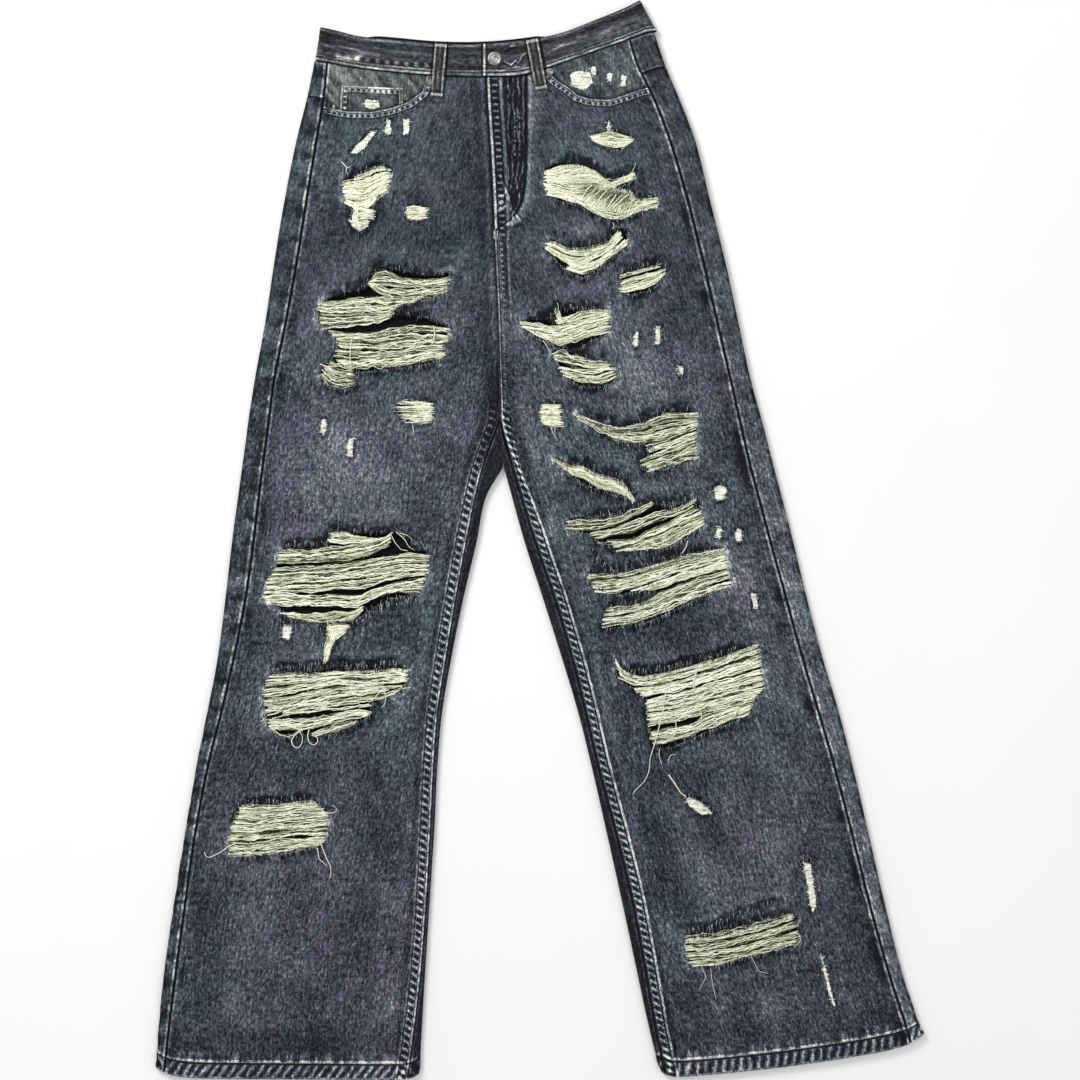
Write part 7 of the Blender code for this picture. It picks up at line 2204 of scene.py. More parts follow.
# ------------------------------------------------------------ back and yokes
def yoke_v(frac):
    return (YOKE_SIDE + (YOKE_CENTRE - YOKE_SIDE) * np.clip(frac, 0, 1)) \
        / 1001.0


N_STRIP, N_ROLL, N_FLAT, N_FOLD = 9, 8, 22, 13


def back_points(side, vgrid):
    """Surface points of the back; columns run from the side seam on the
    front, round the outer fold, across underneath, round the inner fold."""
    v = np.asarray(vgrid, float)
    nr, nc = v.shape
    ws, wi = across(side, 2, v), across(side, 3, v)
    xo, yo = section_plan(side, np.zeros_like(v), v)
    xi, yi = section_plan(side, np.ones_like(v), v)
    width = np.hypot(xi - xo, yi - yo)
    u = underside(yi)
    r = 0.5 * (height(yi) - u)
    c = valley(yi)
    d_seam = ws * width - SIDE_GAP
    e_seam = (1 - wi) * width - 0.5 * seam_gap(yi)
    flat = width - 2 * r
    full = np.where(e_seam < r,
                    r * (math.pi / 2 + np.arccos(np.clip(
                        1 - np.maximum(e_seam, 0) / r, -1, 1))),
                    math.pi * r + np.maximum(e_seam - r, 0.05))
    t = step(CROTCH_FROM, CROTCH_TO, yi)
    end = (0.5 * math.pi * r - 1.0) * (1 - t) + full * t
    mix = step(CROTCH_FROM, 215.0, yi)
    hip_len = flat + 0.5 * math.pi * r - 1.0
    j = np.arange(nc)[None, :] + np.zeros((nr, 1))
    D = np.zeros_like(v)
    Z = np.full(v.shape, np.nan)
    S = np.zeros_like(v)
    # strip
    k = np.clip(j / N_STRIP, 0, 1)
    strip = j < N_STRIP
    D = np.where(strip, d_seam + (r - d_seam) * k, D)
    S = np.where(strip, (r - d_seam) * k, S)
    # outer fold
    a = math.pi * (j - N_STRIP) / N_ROLL
    roll = (j >= N_STRIP) & (j <= N_STRIP + N_ROLL)
    D = np.where(roll, r - r * np.sin(a), D)
    Z = np.where(roll, u + r + r * np.cos(a), Z)
    S = np.where(roll, np.abs(d_seam - r) + a * r, S)
    # the rest
    q = j - N_STRIP - N_ROLL
    rest = q > 0
    f = np.clip(q / N_FLAT, 0, 1)
    gg = np.clip((q - N_FLAT) / N_FOLD, 0, 1)
    s_leg = flat * f + end * gg
    s_hip = hip_len * np.clip(q / float(N_FLAT + N_FOLD), 0, 1)
    s = mix * s_hip + (1 - mix) * s_leg
    S = np.where(rest, np.abs(d_seam - r) + math.pi * r + s, S)
    on_flat = rest & (s <= flat)
    D = np.where(on_flat, r + s, D)
    Z = np.where(on_flat, u, Z)
    aa = (s - flat) / r
    curl = rest & (s > flat) & (aa <= math.pi)
    e = r - r * np.sin(np.clip(aa, 0, math.pi))
    zz = r - r * np.cos(np.clip(aa, 0, math.pi))
    e_flat = r * (1 - (s - flat) / (0.5 * math.pi * r))
    opening = (c < 1.0) & (aa <= math.pi / 2 + 0.01)
    e = np.where(opening, e * c + np.maximum(e_flat, 0.5 * GAP) * (1 - c), e)
    zz = np.where(opening, zz * c, zz)
    D = np.where(curl, width - e, D)
    Z = np.where(curl, u + zz, Z)
    on_top = rest & (aa > math.pi)
    D = np.where(on_top, width - (r + (aa - math.pi) * r), D)
    x, y = section_plan(side, D / width, v)
    top = np.isnan(Z) | on_top
    Z = np.where(top, top_z(side, x, y), Z)
    kind = np.where(strip, 0, np.where(roll, 1, np.where(
        on_flat | (curl & (aa < math.pi / 2)), 2, 3)))
    return x, y, Z, S, kind, D, width, r


N_BACK = N_STRIP + N_ROLL + N_FLAT + N_FOLD + 1
YOKE_FRAC = np.clip((np.arange(N_BACK) - N_STRIP - N_ROLL / 2.0)
                    / (N_FLAT + N_FOLD + N_ROLL / 2.0), 0, 1)


def back_maps(side, x, y, S, kind, D, width, r, j, top_gap):
    """Relief along the outer normal, and the finish maps (painted shade among
    them), of the back.
    """
    shape = x.shape
    g = {k: np.zeros(shape) for k in
         ("wear_and_shade", "edge", "dark_and_shade", "tint", "bare", "grey")}
    along = -y
    n26 = noise(along, 0, 13, 1, 7 if side == "right" else 19)
    n5 = noise(along, 0, 5, 1, 29)
    dn = np.zeros(shape)
    S = np.abs(S)
    strip = (kind <= 1) * 1.0
    d_sew = S                                     # from the side seam line
    # pressed-open turnings make a blotchy, worn band along the seam
    band = step(-1, 1, d_sew) * step(17.0, 12.0, d_sew)
    dn += 0.35 * gauss(d_sew - 1.6, 1.3) - 0.5 * step(0.9, 0.0, d_sew)
    dn += band * 0.45 * (n26 - 0.5) + 0.10 * (noise(S, y, 4, 6, 73) - 0.5)
    g["grey"] += 0.12 * strip
    g["tint"] -= 0.45 * strip
    g["wear_and_shade"] += strip * ((-0.02 if side == "right" else 0.46)
                          + 0.7 * (n26 - 0.5)
                          + 0.5 * (noise(S, y, 5, 9, 75) - 0.5))
    if side == "left":
        g["wear_and_shade"] -= strip * (0.10 * step(40, 110, y)
                              + 0.26 * step(290, 370, y))
        g["dark_and_shade"] += 0.50 * strip * step(0.50, 0.66, n26) * step(60, 130, y)
        g["tint"] += 0.25 * strip
    ph = along / 27.0 + 0.9 * (noise(along, 0, 60, 1, 77) - 0.5)
    knot = (ph - np.floor(ph) - 0.5) * 27.0
    dn -= 0.35 * strip * gauss(np.hypot(knot * 0.75, d_sew - 4.6), 3.0)
    dn += 0.35 * strip * gauss(np.abs(knot) - 9, 4.0) * window(
        d_sew, 2, 14, 3)
    g["dark_and_shade"] += 0.55 * gauss(D, 0.9) * strip
    # dark dashes along the folded outer edge
    g["dark_and_shade"] += 0.75 * (kind == 1) * step(0.46, 0.60, noise(
        along, 0, 5.0, 1, 89))
    # underneath: plain, a little worn at seat and seams
    under = (kind == 2) * 1.0
    g["wear_and_shade"] += under * (0.35 * (fbm(x, y, 60, 81) - 0.5)
                          + 0.25 * (fbm(x, y, 14, 83) - 0.5) + 0.05)
    g["wear_and_shade"] += under * blobs(x, y, [
        (-150, 250, 60, 60, 0.35), (60, 250, 60, 60, 0.35),
        (-190, -60, 60, 60, 0.22), (130, -60, 60, 60, 0.22)])
    # inner fold and strip: painted shade, more plum
    inn = (kind == 3) * step(200, 130, y)
    g["wear_and_shade"] -= 0.55 * inn
    g["dark_and_shade"] += 0.50 * inn
    g["tint"] += 0.35 * inn
    if side == "left":
        g["grey"] += 0.3 * inn
    # hem
    hd = hem_up(side, x, y)
    hb = np.sin(2 * np.pi * (x - 0.6 * hd) / 9.0)
    dn += 0.45 * step(17.4, 16.0, hd) + 0.22 * hb * window(hd, 2.5, 14, 1.5)
    # centre seam of the seat, felled: worn edges, painted shade in its gap
    ec = np.abs(x - inner(side, y)) + 200 * (y < 128) + 200 * (kind < 2)
    dn += 0.4 * step(11.5, 10.0, ec) * (ec < 100)
    g["edge"] += 0.5 * gauss(ec - 11.0, 1.0) + 0.4 * gauss(ec - 1.2, 0.8)
    g["dark_and_shade"] += 0.7 * step(0.9, 0.2, ec)
    g["wear_and_shade"] += 0.4 * np.sin(2 * np.pi * along / 7.5) * window(
        ec, 3, 9, 1)
    # the seam that top_gap measures from: waistband or yoke; worn edge and
    # painted shade at its gap
    g["edge"] += 0.6 * gauss(top_gap - 1.4, 1.0)
    g["dark_and_shade"] += 0.75 * step(0.9, 0.2, top_gap)
    g["wear_and_shade"] += 0.35 * np.sin(2 * np.pi * x / 8.0) * window(
        top_gap, 2.5, 9, 1)
    for k in g:
        g[k] = np.clip(g[k], -1.5, 1.3)
    g["dark_and_shade"] = np.clip(g["dark_and_shade"], 0, 1)
    g["edge"] = np.clip(g["edge"], 0, 1.2)
    g["cloth"] = np.stack([S, -y, np.full(shape, 121.0 if side == "left"
                                          else 87.0)], -1)
    s_in = np.where(S[:, -1:] - S < 90, S[:, -1:] - S, 90.0)
    s_in = np.where(y > 150, 90.0, s_in)
    g["dist1"] = np.stack([S, s_in, hd], -1)
    g["dist2"] = np.stack([np.full(shape, 60.0)] * 3, -1)
    return dn, g


def make_back(side, part):
    if part == "yoke":
        n = 26
        t = np.linspace(0, 1, n)[:, None]
        top = np.full(N_BACK, GAP / 1001.0)[None, :]
        low = (yoke_v(YOKE_FRAC) - GAP / 1001.0)[None, :]
        vg = top + (low - top) * t
    else:
        top = (yoke_v(YOKE_FRAC) + GAP / 1001.0)[None, :]
        v_hip = 0.12
        ladder = np.linspace(0, 1, 22)[:, None]
        a = top + (v_hip - top) * ladder
        ys = levels([(342.0, 150.0, 3.8), (150.0, 60.0, 2.8),
                     (60.0, -510.0, 3.8), (-510.0, -538.0, 1.8)])[1:]
        b = np.array(rows(ys))
        b[-1] = 1.0
        vg = np.concatenate([a, np.repeat(b[:, None], N_BACK, 1)])
    x, y, z, S, kind, D, width, r = back_points(side, vg)
    j = np.arange(N_BACK)
    if part == "yoke":
        top_gap = (vg - GAP / 1001.0) * 1001.0
    else:
        top_gap = (vg - (yoke_v(YOKE_FRAC) + GAP / 1001.0)[None, :]) * 1001.0
    dn, g = back_maps(side, x, y, S, kind, D, width, r, j, top_gap)
    if part == "yoke":
        # painted shade at the gap under the yoke's lower edge, worn edge beside it
        low_gap = (low - vg) * 1001.0
        dn = dn - 0.4 * step(0.9, 0.0, low_gap)
        g["dark_and_shade"] = np.clip(g["dark_and_shade"] + 0.6 * step(0.8, 0.2, low_gap), 0, 1)
        g["edge"] = g["edge"] + 0.5 * gauss(low_gap - 1.6, 0.9)
    p = np.stack([x, y, z], -1)
    out = 1.0 if side == "right" else -1.0
    n = grid_normals(p) * out
    # relief is kept off the underside where the cloth rests
    keep = np.where(kind == 2, np.clip(dn, -0.5, 0.1) * 0.6, dn)
    p = p + n * keep[..., None]
    p[..., 2] = np.maximum(p[..., 2], 0.02)
    name = ("jeans_back_" if part == "back" else "jeans_yoke_") + side
    hd = hem_up(side, x, y)
    ob = shell(name, p, 0.95 + (0.8 * step(17, 15.5, hd)
                                if part == "back" else 0.0),
               [M_BACK[side], M_INSIDE_SHADE], g, None, out=out)
    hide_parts(("back_panel_" if part == "back" else "yoke_") + side)
    return ob


BACK = {s: make_back(s, "back") for s in ("right", "left")}
YOKE = {s: make_back(s, "yoke") for s in ("right", "left")}


# ------------------------------------------------------ pocket facings, coin
def edge_y(side, x):
    return table([(a, b) for a, b in POCKET_EDGE[side]], 1, x)


def facing_drop(side, x, y):
    near, _, _ = line_distance(x, y, POCKET_EDGE[side])
    edge = POCKET_EDGE[side]
    ins = (y > edge_y(side, x)) & (np.abs(x - edge[-1][0])
                                   < abs(edge[0][0] - edge[-1][0]))
    return FACING_DROP - (FACING_DROP - 0.25) * step(
        1.5, 13.0, np.where(ins, near, 0.0))


def make_facing(side):
    n, m = 72, 34
    x_a = POCKET_EDGE[side][0][0]
    sgn = SGN[side]
    q = np.linspace(0, 1, m)[:, None] + np.zeros((1, n))
    f = np.linspace(0, 1, n)[None, :] + np.zeros((m, 1))
    x_top, x_bot = x_a + sgn * 1.5, x_a - sgn * (FACING_UNDER - 3.0)
    xin = x_top + (x_bot - x_top) * step(0.0, 0.5, q)
    y = np.full((m, n), 440.0)
    x = xin.copy()
    for _ in range(8):
        xs = seam_x(side, y) - sgn * 0.6
        x = xin + (xs - xin) * f
        y_top = table(WAIST_SEAM, 1, x) - GAP
        xe = np.clip(x * sgn, x_a * sgn + 1.0, 999.0) * sgn
        y_bot = np.minimum(edge_y(side, xe) - FACING_UNDER, y_top - 14.0)
        y = y_top + (y_bot - y_top) * q
    g = {k: np.zeros(x.shape) for k in
         ("wear_and_shade", "edge", "dark_and_shade", "tint", "bare", "grey")}
    pd, _, _ = line_distance(x, y, POCKET_EDGE[side])
    ins = y > edge_y(side, x)
    # diagonal worn streaks and the shade along the pocket's edge
    st = noise(x + y * 0.8, y - x * 0.8, 5.0, 34.0, 201) - 0.5
    g["wear_and_shade"] += (1.3 if side == "right" else 0.8) * st + 0.4 * (
        fbm(x, y, 16, 207) - 0.5) + (0.1 if side == "right" else -0.28)
    if side == "left":
        g["tint"] -= 0.4
        g["grey"] -= 0.3
    g["dark_and_shade"] += 0.85 * np.where(ins, step(4.5, 0.3, pd), 1.0)
    # painted shade under the waist seam
    g["dark_and_shade"] += 0.5 * step(2.2, 0.5, table(WAIST_SEAM, 1, x) - y)
    g["tint"] -= 0.35
    so = np.abs(x - seam_x(side, y))
    g["edge"] += 0.7 * window(so, 0.6, 2.4, 0.6)
    if side == "right":
        blk = window(x, -226, -214, 3) * window(y, 433, 455, 4)
        g["wear_and_shade"] -= 1.1 * blk
        g["grey"] -= 0.7 * blk
        g["tint"] += 1.6 * blk
    else:
        g["wear_and_shade"] += 0.2 * (noise(x, y, 9, 9, 203) - 0.5)
    dzf = 0.5 * (fbm(x, y, 17, 205) - 0.5) * step(2, 10, so)
    z = top_z(side, x, y) - facing_drop(side, x, y) + dzf
    for k in g:
        g[k] = np.clip(g[k], -1.4, 1.2)
    g["dark_and_shade"] = np.clip(g["dark_and_shade"], 0, 1)
    g["cloth"] = np.stack([x * 0.97, -y, np.full(x.shape, 200.0)], -1)
    # small marks on the facing, worn to the weft
    for r in LEG_RIPS[side]:
        if r["cut"]:
            continue
        o = np.array(r["outline"])
        if edge_y(side, o[:, 0].mean()) < o[:, 1].mean():
            sd = signed(x, y, r["outline"], 10.0)
            rg = noise(x, y, 2.4, 6.0, 209)
            g["bare"] = np.maximum(g["bare"], np.clip(
                0.52 - sd / 9.0 + 0.1 * (rg - 0.5), 0, 1))
            g["edge"] = g["edge"] + 0.2 * gauss(sd - 2, 1.8)
    p = np.stack([x, y, z], -1)
    ob = shell("jeans_facing_" + side, p, 1.0, [M_FACING, M_INSIDE_SHADE], g, None,
               out=-1.0 if side == "left" else 1.0)
    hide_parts("pocket_facing_" + side)
    return ob


FACING = {s: make_facing(s) for s in ("right", "left")}


def coin_points(x, y):
    return top_z("right", x, y) - facing_drop("right", x, y) + LIFT + 1.0


def make_coin():
    c = COIN_POCKET
    n, m = 56, 30
    f = np.linspace(0, 1, n)[None, :] + np.zeros((m, 1))
    q = np.linspace(0, 1, m)[:, None] + np.zeros((1, n))
    x = c["x0"] + (c["x1"] - c["x0"]) * f
    top = c["top0"] + (c["top1"] - c["top0"]) * f
    bot = edge_y("right", x) + 1.2
    y = top + (bot - top) * q
    xx = x + 0.5 * (top - y) * -0.16 * (1 - f)
    z = coin_points(xx, y)
    g = {k: np.zeros(x.shape) for k in
         ("wear_and_shade", "edge", "dark_and_shade", "tint", "bare", "grey")}
    dt = top - y
    dl = (x - c["x0"])
    dr = (c["x1"] - x)
    per = np.minimum(np.minimum(dt, dl), dr)
    beads = np.sin(2 * np.pi * np.where(dt < dl, x, y) / 5.0)
    z += 0.35 * gauss(per - 2.4, 2.2) - 0.4 * step(0.9, 0.0, per) \
        + 0.12 * beads * window(per, 2, 6, 0.8)
    g["dist1"] = np.full(x.shape + (3,), 60.0)
    g["dist2"] = np.stack([per, np.full(x.shape, 60.0),
                           np.where(dt < dl, x, y)], -1)
    # painted shade along the lower edge, where it meets the pocket opening
    g["dark_and_shade"] += 0.6 * step(3.5, 0.5, y - edge_y("right", x))
    g["wear_and_shade"] += 0.6 * (noise(x + y * 0.8, y - x * 0.8, 4.0, 20.0, 221) - .5)
    bar = window(x, -171, -151, 1.5) * window(y, 445, 452, 1.2)
    g["edge"] += 0.6 * bar
    g["tint"] -= 0.3
    for r in LEG_RIPS["right"]:
        if not r["cut"]:
            sd = signed(xx, y, r["outline"], 10.0)
            rg = noise(xx, y, 2.4, 6.0, 223)
            g["bare"] = np.maximum(g["bare"], np.clip(
                0.52 - sd / 9.0 + 0.1 * (rg - 0.5), 0, 1))
    g["dark_and_shade"] = np.clip(g["dark_and_shade"], 0, 1)
    g["cloth"] = np.stack([xx, -y, np.full(x.shape, 260.0)], -1)
    ob = shell("jeans_coin_pocket", np.stack([xx, y, z], -1), 0.9,
               [M_COIN, M_INSIDE_SHADE], g, None, out=-1.0)
    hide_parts("coin_pocket")
    return ob


COIN = make_coin()


# -------------------------------------------------------------- back pockets
def back_pocket_point(side, a, t):
    """a -1..1 across, t 0..1 down."""
    p = BACK_POCKET
    sgn = SGN[side]
    cx = float(centre(360.0)) + sgn * (p["width"] * 0.5 + 32.0)
    y_top = 462.5 - p["below"] + (0.0 if side == "right" else 6.0)
    turn = math.radians(4.0) * sgn
    low = -(p["side"] + (p["point"] - p["side"]) * (1 - np.abs(a)))
    wid = 0.5 * p["width"] * (1 - 0.07 * t)
    px, py = a * wid, low * t
    return (cx + px * math.cos(turn) - py * math.sin(turn),
            y_top + px * math.sin(turn) + py * math.cos(turn), px, -py, low)


def make_back_pocket(side):
    n, m = 45, 42
    a = np.linspace(-1, 1, n)[None, :] + np.zeros((m, 1))
    t = np.linspace(0, 1, m)[:, None] + np.zeros((1, n))
    x, y, px, dn, low = back_pocket_point(side, a, t)
    g = {k: np.zeros(x.shape) for k in
         ("wear_and_shade", "edge", "dark_and_shade", "tint", "bare", "grey")}
    wid = 0.5 * BACK_POCKET["width"] * (1 - 0.07 * t)
    per = np.minimum(wid - np.abs(px), (-low - dn) * 0.93)
    top = dn
    beads = np.sin(2 * np.pi * (np.where(per < top, y, x)) / 6.0)
    g["wear_and_shade"] += 0.4 * (fbm(x, y, 22, 231) - 0.5) + 0.12
    g["cloth"] = np.stack([px, dn, np.full(x.shape, 300.0)], -1)
    g["dist1"] = np.full(x.shape + (3,), 60.0)
    g["dist2"] = np.stack([np.minimum(per, top), np.full(x.shape, 60.0),
                           np.where(per < top, y, x)], -1)
    z = np.full(x.shape, 0.02) + 0.3 * step(1.2, 0.0, np.minimum(per, top)) \
        + 0.12 * gauss(per - 9.4, 0.9) + 0.12 * gauss(top - 14.4, 0.9)
    for k in ("wear_and_shade", "edge", "dark_and_shade"):
        g[k] = np.clip(g[k], -1.2, 1.2)
    ob = shell("jeans_back_pocket_" + side, np.stack([x, y, z], -1), 1.05,
               [M_BACK[side], M_INSIDE_SHADE], g, None, out=1.0)
    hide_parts("back_pocket_" + side)
    return ob


BACK_POCKETS = {s: make_back_pocket(s) for s in ("right", "left")}


# ----------------------------------------------------------------- waistband
BAND_TOP_Z = HEIGHT_WAIST + 0.5
LAP_START, LAP_END = -57.5, -18.0


def band_plan(x_frac, q):
    xl = -219.5 + (-224.5 + 219.5) * q
    xr = 99.5 + (116.5 - 99.5) * q
    x = xl + (xr - xl) * x_frac
    xt = -219.5 + (99.5 + 219.5) * x_frac
    xb = -224.5 + (116.5 + 224.5) * x_frac
    y = table(BAND_TOP, 1, xt) * (1 - q) + (table(WAIST_SEAM, 1, xb)
                                           + GAP) * q
    return x, y


def make_band():
    r = 0.5 * (BAND_TOP_Z - UNDERSIDE_WAIST)
    q = np.array([0, .02, .045, .075, .11, .15, .2, .25, .31, .37, .44, .51,
                  .58, .65, .71, .77, .82, .86, .89, .92, .945, .965, .985, 1])
    x_lap0 = (LAP_START + 222.0) / 338.0
    x_lap1 = (LAP_END + 222.0) / 338.0
    nodes = [("front", f) for f in np.linspace(x_lap0, 1.0, 96)[:-1]]
    nodes += [("rollR", f) for f in np.linspace(0, 1, 11)]
    nodes += [("back", f) for f in np.linspace(1.0, 0.0, 90)[1:-1]]
    nodes += [("rollL", f) for f in np.linspace(0, 1, 11)]
    nodes += [("under", f) for f in np.linspace(0.0, x_lap1, 122)[1:]]
    nn, nq = len(nodes), len(q)
    P = np.zeros((nq, nn, 3))
    F = np.zeros((nq, nn))
    K = np.zeros(nn, int)
    xl, _ = band_plan(0.0, q)
    xr, _ = band_plan(1.0, q)
    w = xr - xl
    for i, (kind, f) in enumerate(nodes):
        if kind == "rollR":
            a = math.pi * f
            ff = 1.0 - (r - r * math.sin(a)) / w
            z = UNDERSIDE_WAIST + r + r * math.cos(a)
        elif kind == "rollL":
            a = math.pi * f
            ff = (r - r * math.sin(a)) / w
            z = UNDERSIDE_WAIST + r - r * math.cos(a)
        else:
            ff = np.clip(f, r / w, 1 - r / w)
            z = UNDERSIDE_WAIST if kind == "back" else BAND_TOP_Z
        x, y = band_plan(ff, q)
        z = np.full(nq, float(z))
        K[i] = {"front": 0, "rollR": 1, "back": 2, "rollL": 3,
                "under": 4}[kind]
        if kind == "back":
            y = y + 3.2 * (1 - q) * step(-180.0, -160.0, x) * step(
                12.0, -6.0, x)
        if kind == "front":
            z = z + (BAND_WALL + LIFT) * step(24.0, 0.0, x - LAP_END)
        P[:, i] = np.stack([x, y, z], -1)
        F[:, i] = ff
    x, y = P[..., 0], P[..., 1]
    top = q[:, None] * 32.0 + 0 * x               # below the top edge
    low = (1 - q[:, None]) * 32.0 + 0 * x
    front = np.isin(K, (0, 4, 1, 3))[None, :] + np.zeros_like(x)
    g = {k: np.zeros(x.shape) for k in
         ("wear_and_shade", "edge", "dark_and_shade", "tint", "bare", "grey")}
    s = np.concatenate([[0], np.cumsum(np.hypot(
        *np.diff(P[12, :, :2], axis=0).T))])[None, :] + np.zeros_like(x)
    streak = noise(s, top, 42, 3.0, 241) - 0.5
    fine = noise(s, top, 14, 1.2, 243) - 0.5
    dn = 0.40 * gauss(top - 2.6, 2.6) + 0.30 * gauss(low - 3.4, 2.4) \
        - 0.55 * step(1.4, 0.0, top) - 0.5 * step(1.0, 0.0, low) \
        - 0.22 * gauss(low - 7.2, 0.9) + 0.5 * streak + 0.16 * fine \
        + 0.22 * (noise(s, 0, 9.7, 1, 245) - 0.5) * window(low, 3, 10, 3)
    # streaks: wear, and painted shading that follows the streaked relief
    g["wear_and_shade"] += 0.75 * streak + 0.7 * fine + 0.10
    g["wear_and_shade"] -= 0.55 * gauss(top - 7.0, 3.2) * front \
        + 0.30 * gauss(x + 212, 9) * front
    g["dark_and_shade"] += 0.35 * front * gauss(top - 6.0, 1.6) * step(
        0.35, 0.7, noise(s, 0, 21, 1, 249))
    # creases lying along the band near the right hip: painted highlights on
    # their crests, painted shade beside them
    cr, _, _ = line_distance(x, y, [(-216, 494), (-196, 492), (-178, 487.5),
                                    (-160, 484)])
    g["edge"] += 0.75 * gauss(cr, 1.1) * front
    g["dark_and_shade"] += 0.45 * gauss(cr - 2.4, 0.8) * front
    dn += 0.5 * gauss(cr, 1.6) * front
    cr, _, _ = line_distance(x, y, [(-203, 482.5), (-190, 480), (-178, 483)])
    g["edge"] += 0.8 * gauss(cr, 2.2) * front
    cr, _, _ = line_distance(x, y, [(60, 505), (84, 517), (98, 521)])
    g["edge"] += 0.5 * gauss(cr, 1.4) * front
    # front end of the band, with the buttonhole's side
    lap = np.where(K[None, :] == 0, x - LAP_START, 99.0)
    g["dist1"] = np.stack([lap, low, top], -1)
    g["dist2"] = np.stack([x, s, front], -1)
    # soft crumpled creases to the wearer's left of the button
    for cpts, cw, ck in (([(-36, 478), (-29.5, 473.5), (-24.5, 477),
                           (-21.5, 474.5), (-18.5, 481), (-13, 484.5)],
                          1.4, 1.0), ([(6, 478), (18, 484), (30, 487)], 1.6,
                                      0.6)):
        cr, _, _ = line_distance(x, y, resample(cpts, 24, 3))
        dn += 0.55 * ck * gauss(cr, cw + 0.3) * front
    dn -= 0.5 * step(1.0, 0.0, lap)
    # painted shade where the band's under end meets the lap
    near_lap = np.where(K[None, :] == 4, x - LAP_START, 99.0)
    g["dark_and_shade"] += 0.35 * step(-2.4, -0.4, near_lap) * (near_lap < 60)
    g["dark_and_shade"] = np.clip(g["dark_and_shade"], 0, 1)
    g["wear_and_shade"] = np.clip(g["wear_and_shade"], -1.2, 1.0)
    g["cloth"] = np.stack([top * 1.0, s * 0.8, np.full(x.shape, 340.0)], -1)
    n = grid_normals(P)
    n = n * np.sign(n[nq // 2, 20, 2])
    out = float(np.sign(grid_normals(P)[nq // 2, 20, 2]))
    keep = np.where((K == 2)[None, :], np.clip(dn, -0.5, 0.1), dn)
    P = P + n * keep[..., None]
    P[..., 2] = np.maximum(P[..., 2], 0.02)
    ob = shell("jeans_waistband", P, 1.9, [M_BAND, M_INSIDE_SHADE], g, None, out=out)
    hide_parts("waistband")
    return ob


BAND = make_band()


# ---------------------------------------------------------------- belt loops
def front_level(x, y):
    if y > float(table(WAIST_SEAM, 1, x)) - 1.5:
        lap = (BAND_WALL + LIFT) * float(step(24.0, 0.0, x - LAP_END)) \
            if x > LAP_START else 0.0
        return BAND_TOP_Z + lap
    side = "right" if x < float(centre(y)) else "left"
    z = float(top_z(side, x, y))
    return z + (float(fly_lift(x, y)) if side == "left" else 0.0)


LOOPS = {}
LOOP_FRAME = {}
for name, xt, yt, xf, yf, is_front in BELT_LOOPS:
    m, n = 62, 17
    length = math.hypot(xt - xf, yt - yf)
    ux, uy = (xf - xt) / length, (yf - yt) / length
    sx, sy = -uy, ux
    prof = []
    for t in np.linspace(0, 1, m):
        if is_front:
            lev = max(front_level(xt + ux * length * t + dx,
                                  yt + uy * length * t + dy)
                      for dx in (-1.5, 0, 1.5) for dy in (-5, 0, 5))
            prof.append(lev + LIFT + LOOP_WALL
                        + 1.5 * math.sin(math.pi * t) ** 0.7)
        else:
            prof.append(0.0)
    prof = np.array(prof)
    if is_front:
        for _ in range(6):
            prof[1:-1] = 0.25 * prof[:-2] + 0.5 * prof[1:-1] + 0.25 * prof[2:]
    t = np.linspace(0, 1, m)[:, None] + np.zeros((1, n))
    o = np.linspace(-1, 1, n)
    o = (np.sign(o) * np.abs(o) ** 0.85)[None, :] + np.zeros((m, 1))
    off = o * 0.5 * LOOP_WIDTH
    x = xt + ux * length * t + sx * off
    y = yt + uy * length * t + sy * off
    z = prof[:, None] + np.zeros((1, n))
    d_end = np.minimum(t, 1 - t) * length
    ed = (1 - np.abs(o)) * 0.5 * LOOP_WIDTH
    g = {k: np.zeros(x.shape) for k in
         ("wear_and_shade", "edge", "dark_and_shade", "tint", "bare", "grey")}
    relief = 0.35 * gauss(ed - 1.2, 1.0) + 0.30 * gauss(off, 1.6) \
        - 0.45 * step(0.8, 0.0, ed) - 0.15 * gauss(ed - 3.3, 0.7)
    nz = noise(t * length, off, 6, 3, 251)
    # worn edges, a painted highlight along the raised middle; painted shade in the grooves by the stitching and
    # beside the bar tacks
    g["edge"] += 0.80 * window(ed, 0.2, 1.9, 0.5) * (0.6 + 0.6 * nz) \
        + 0.55 * gauss(off, 1.3) * (0.3 + 0.9 * nz)
    g["dark_and_shade"] += 0.70 * gauss(ed - 3.1, 0.75)
    bt = gauss(d_end - 2.4, 1.3)
    g["edge"] += 0.95 * bt * (0.7 + 0.3 * np.abs(o))
    g["dark_and_shade"] += 0.6 * gauss(d_end - 5.0, 0.9)
    relief += 0.35 * bt
    g["dark_and_shade"] = np.clip(g["dark_and_shade"], 0, 1)
    g["cloth"] = np.stack([off, t * length, np.full(x.shape, 380.0)], -1)
    P = np.stack([x, y, z + (relief if is_front
                             else np.maximum(-relief, 0) * 0.4 + 0.02)], -1)
    gn = grid_normals(P)[m // 2, n // 2, 2]
    out = float(np.sign(gn)) * (1.0 if is_front else -1.0)
    ob = shell("jeans_" + name, P, 0.85, [M_LOOP, M_INSIDE_SHADE], g, None, out=out)
    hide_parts(name)
    LOOPS[name] = ob
    LOOP_FRAME[name] = (xt, yt, ux, uy, sx, sy, length, prof, is_front)


# ------------------------------------------------------------ threads in rips
rng = np.random.default_rng(7)


def z_under(side, x, y):
    return front_z(side, x, y)


def edge_curve(pts, n):
    return resample(pts, n, 5)


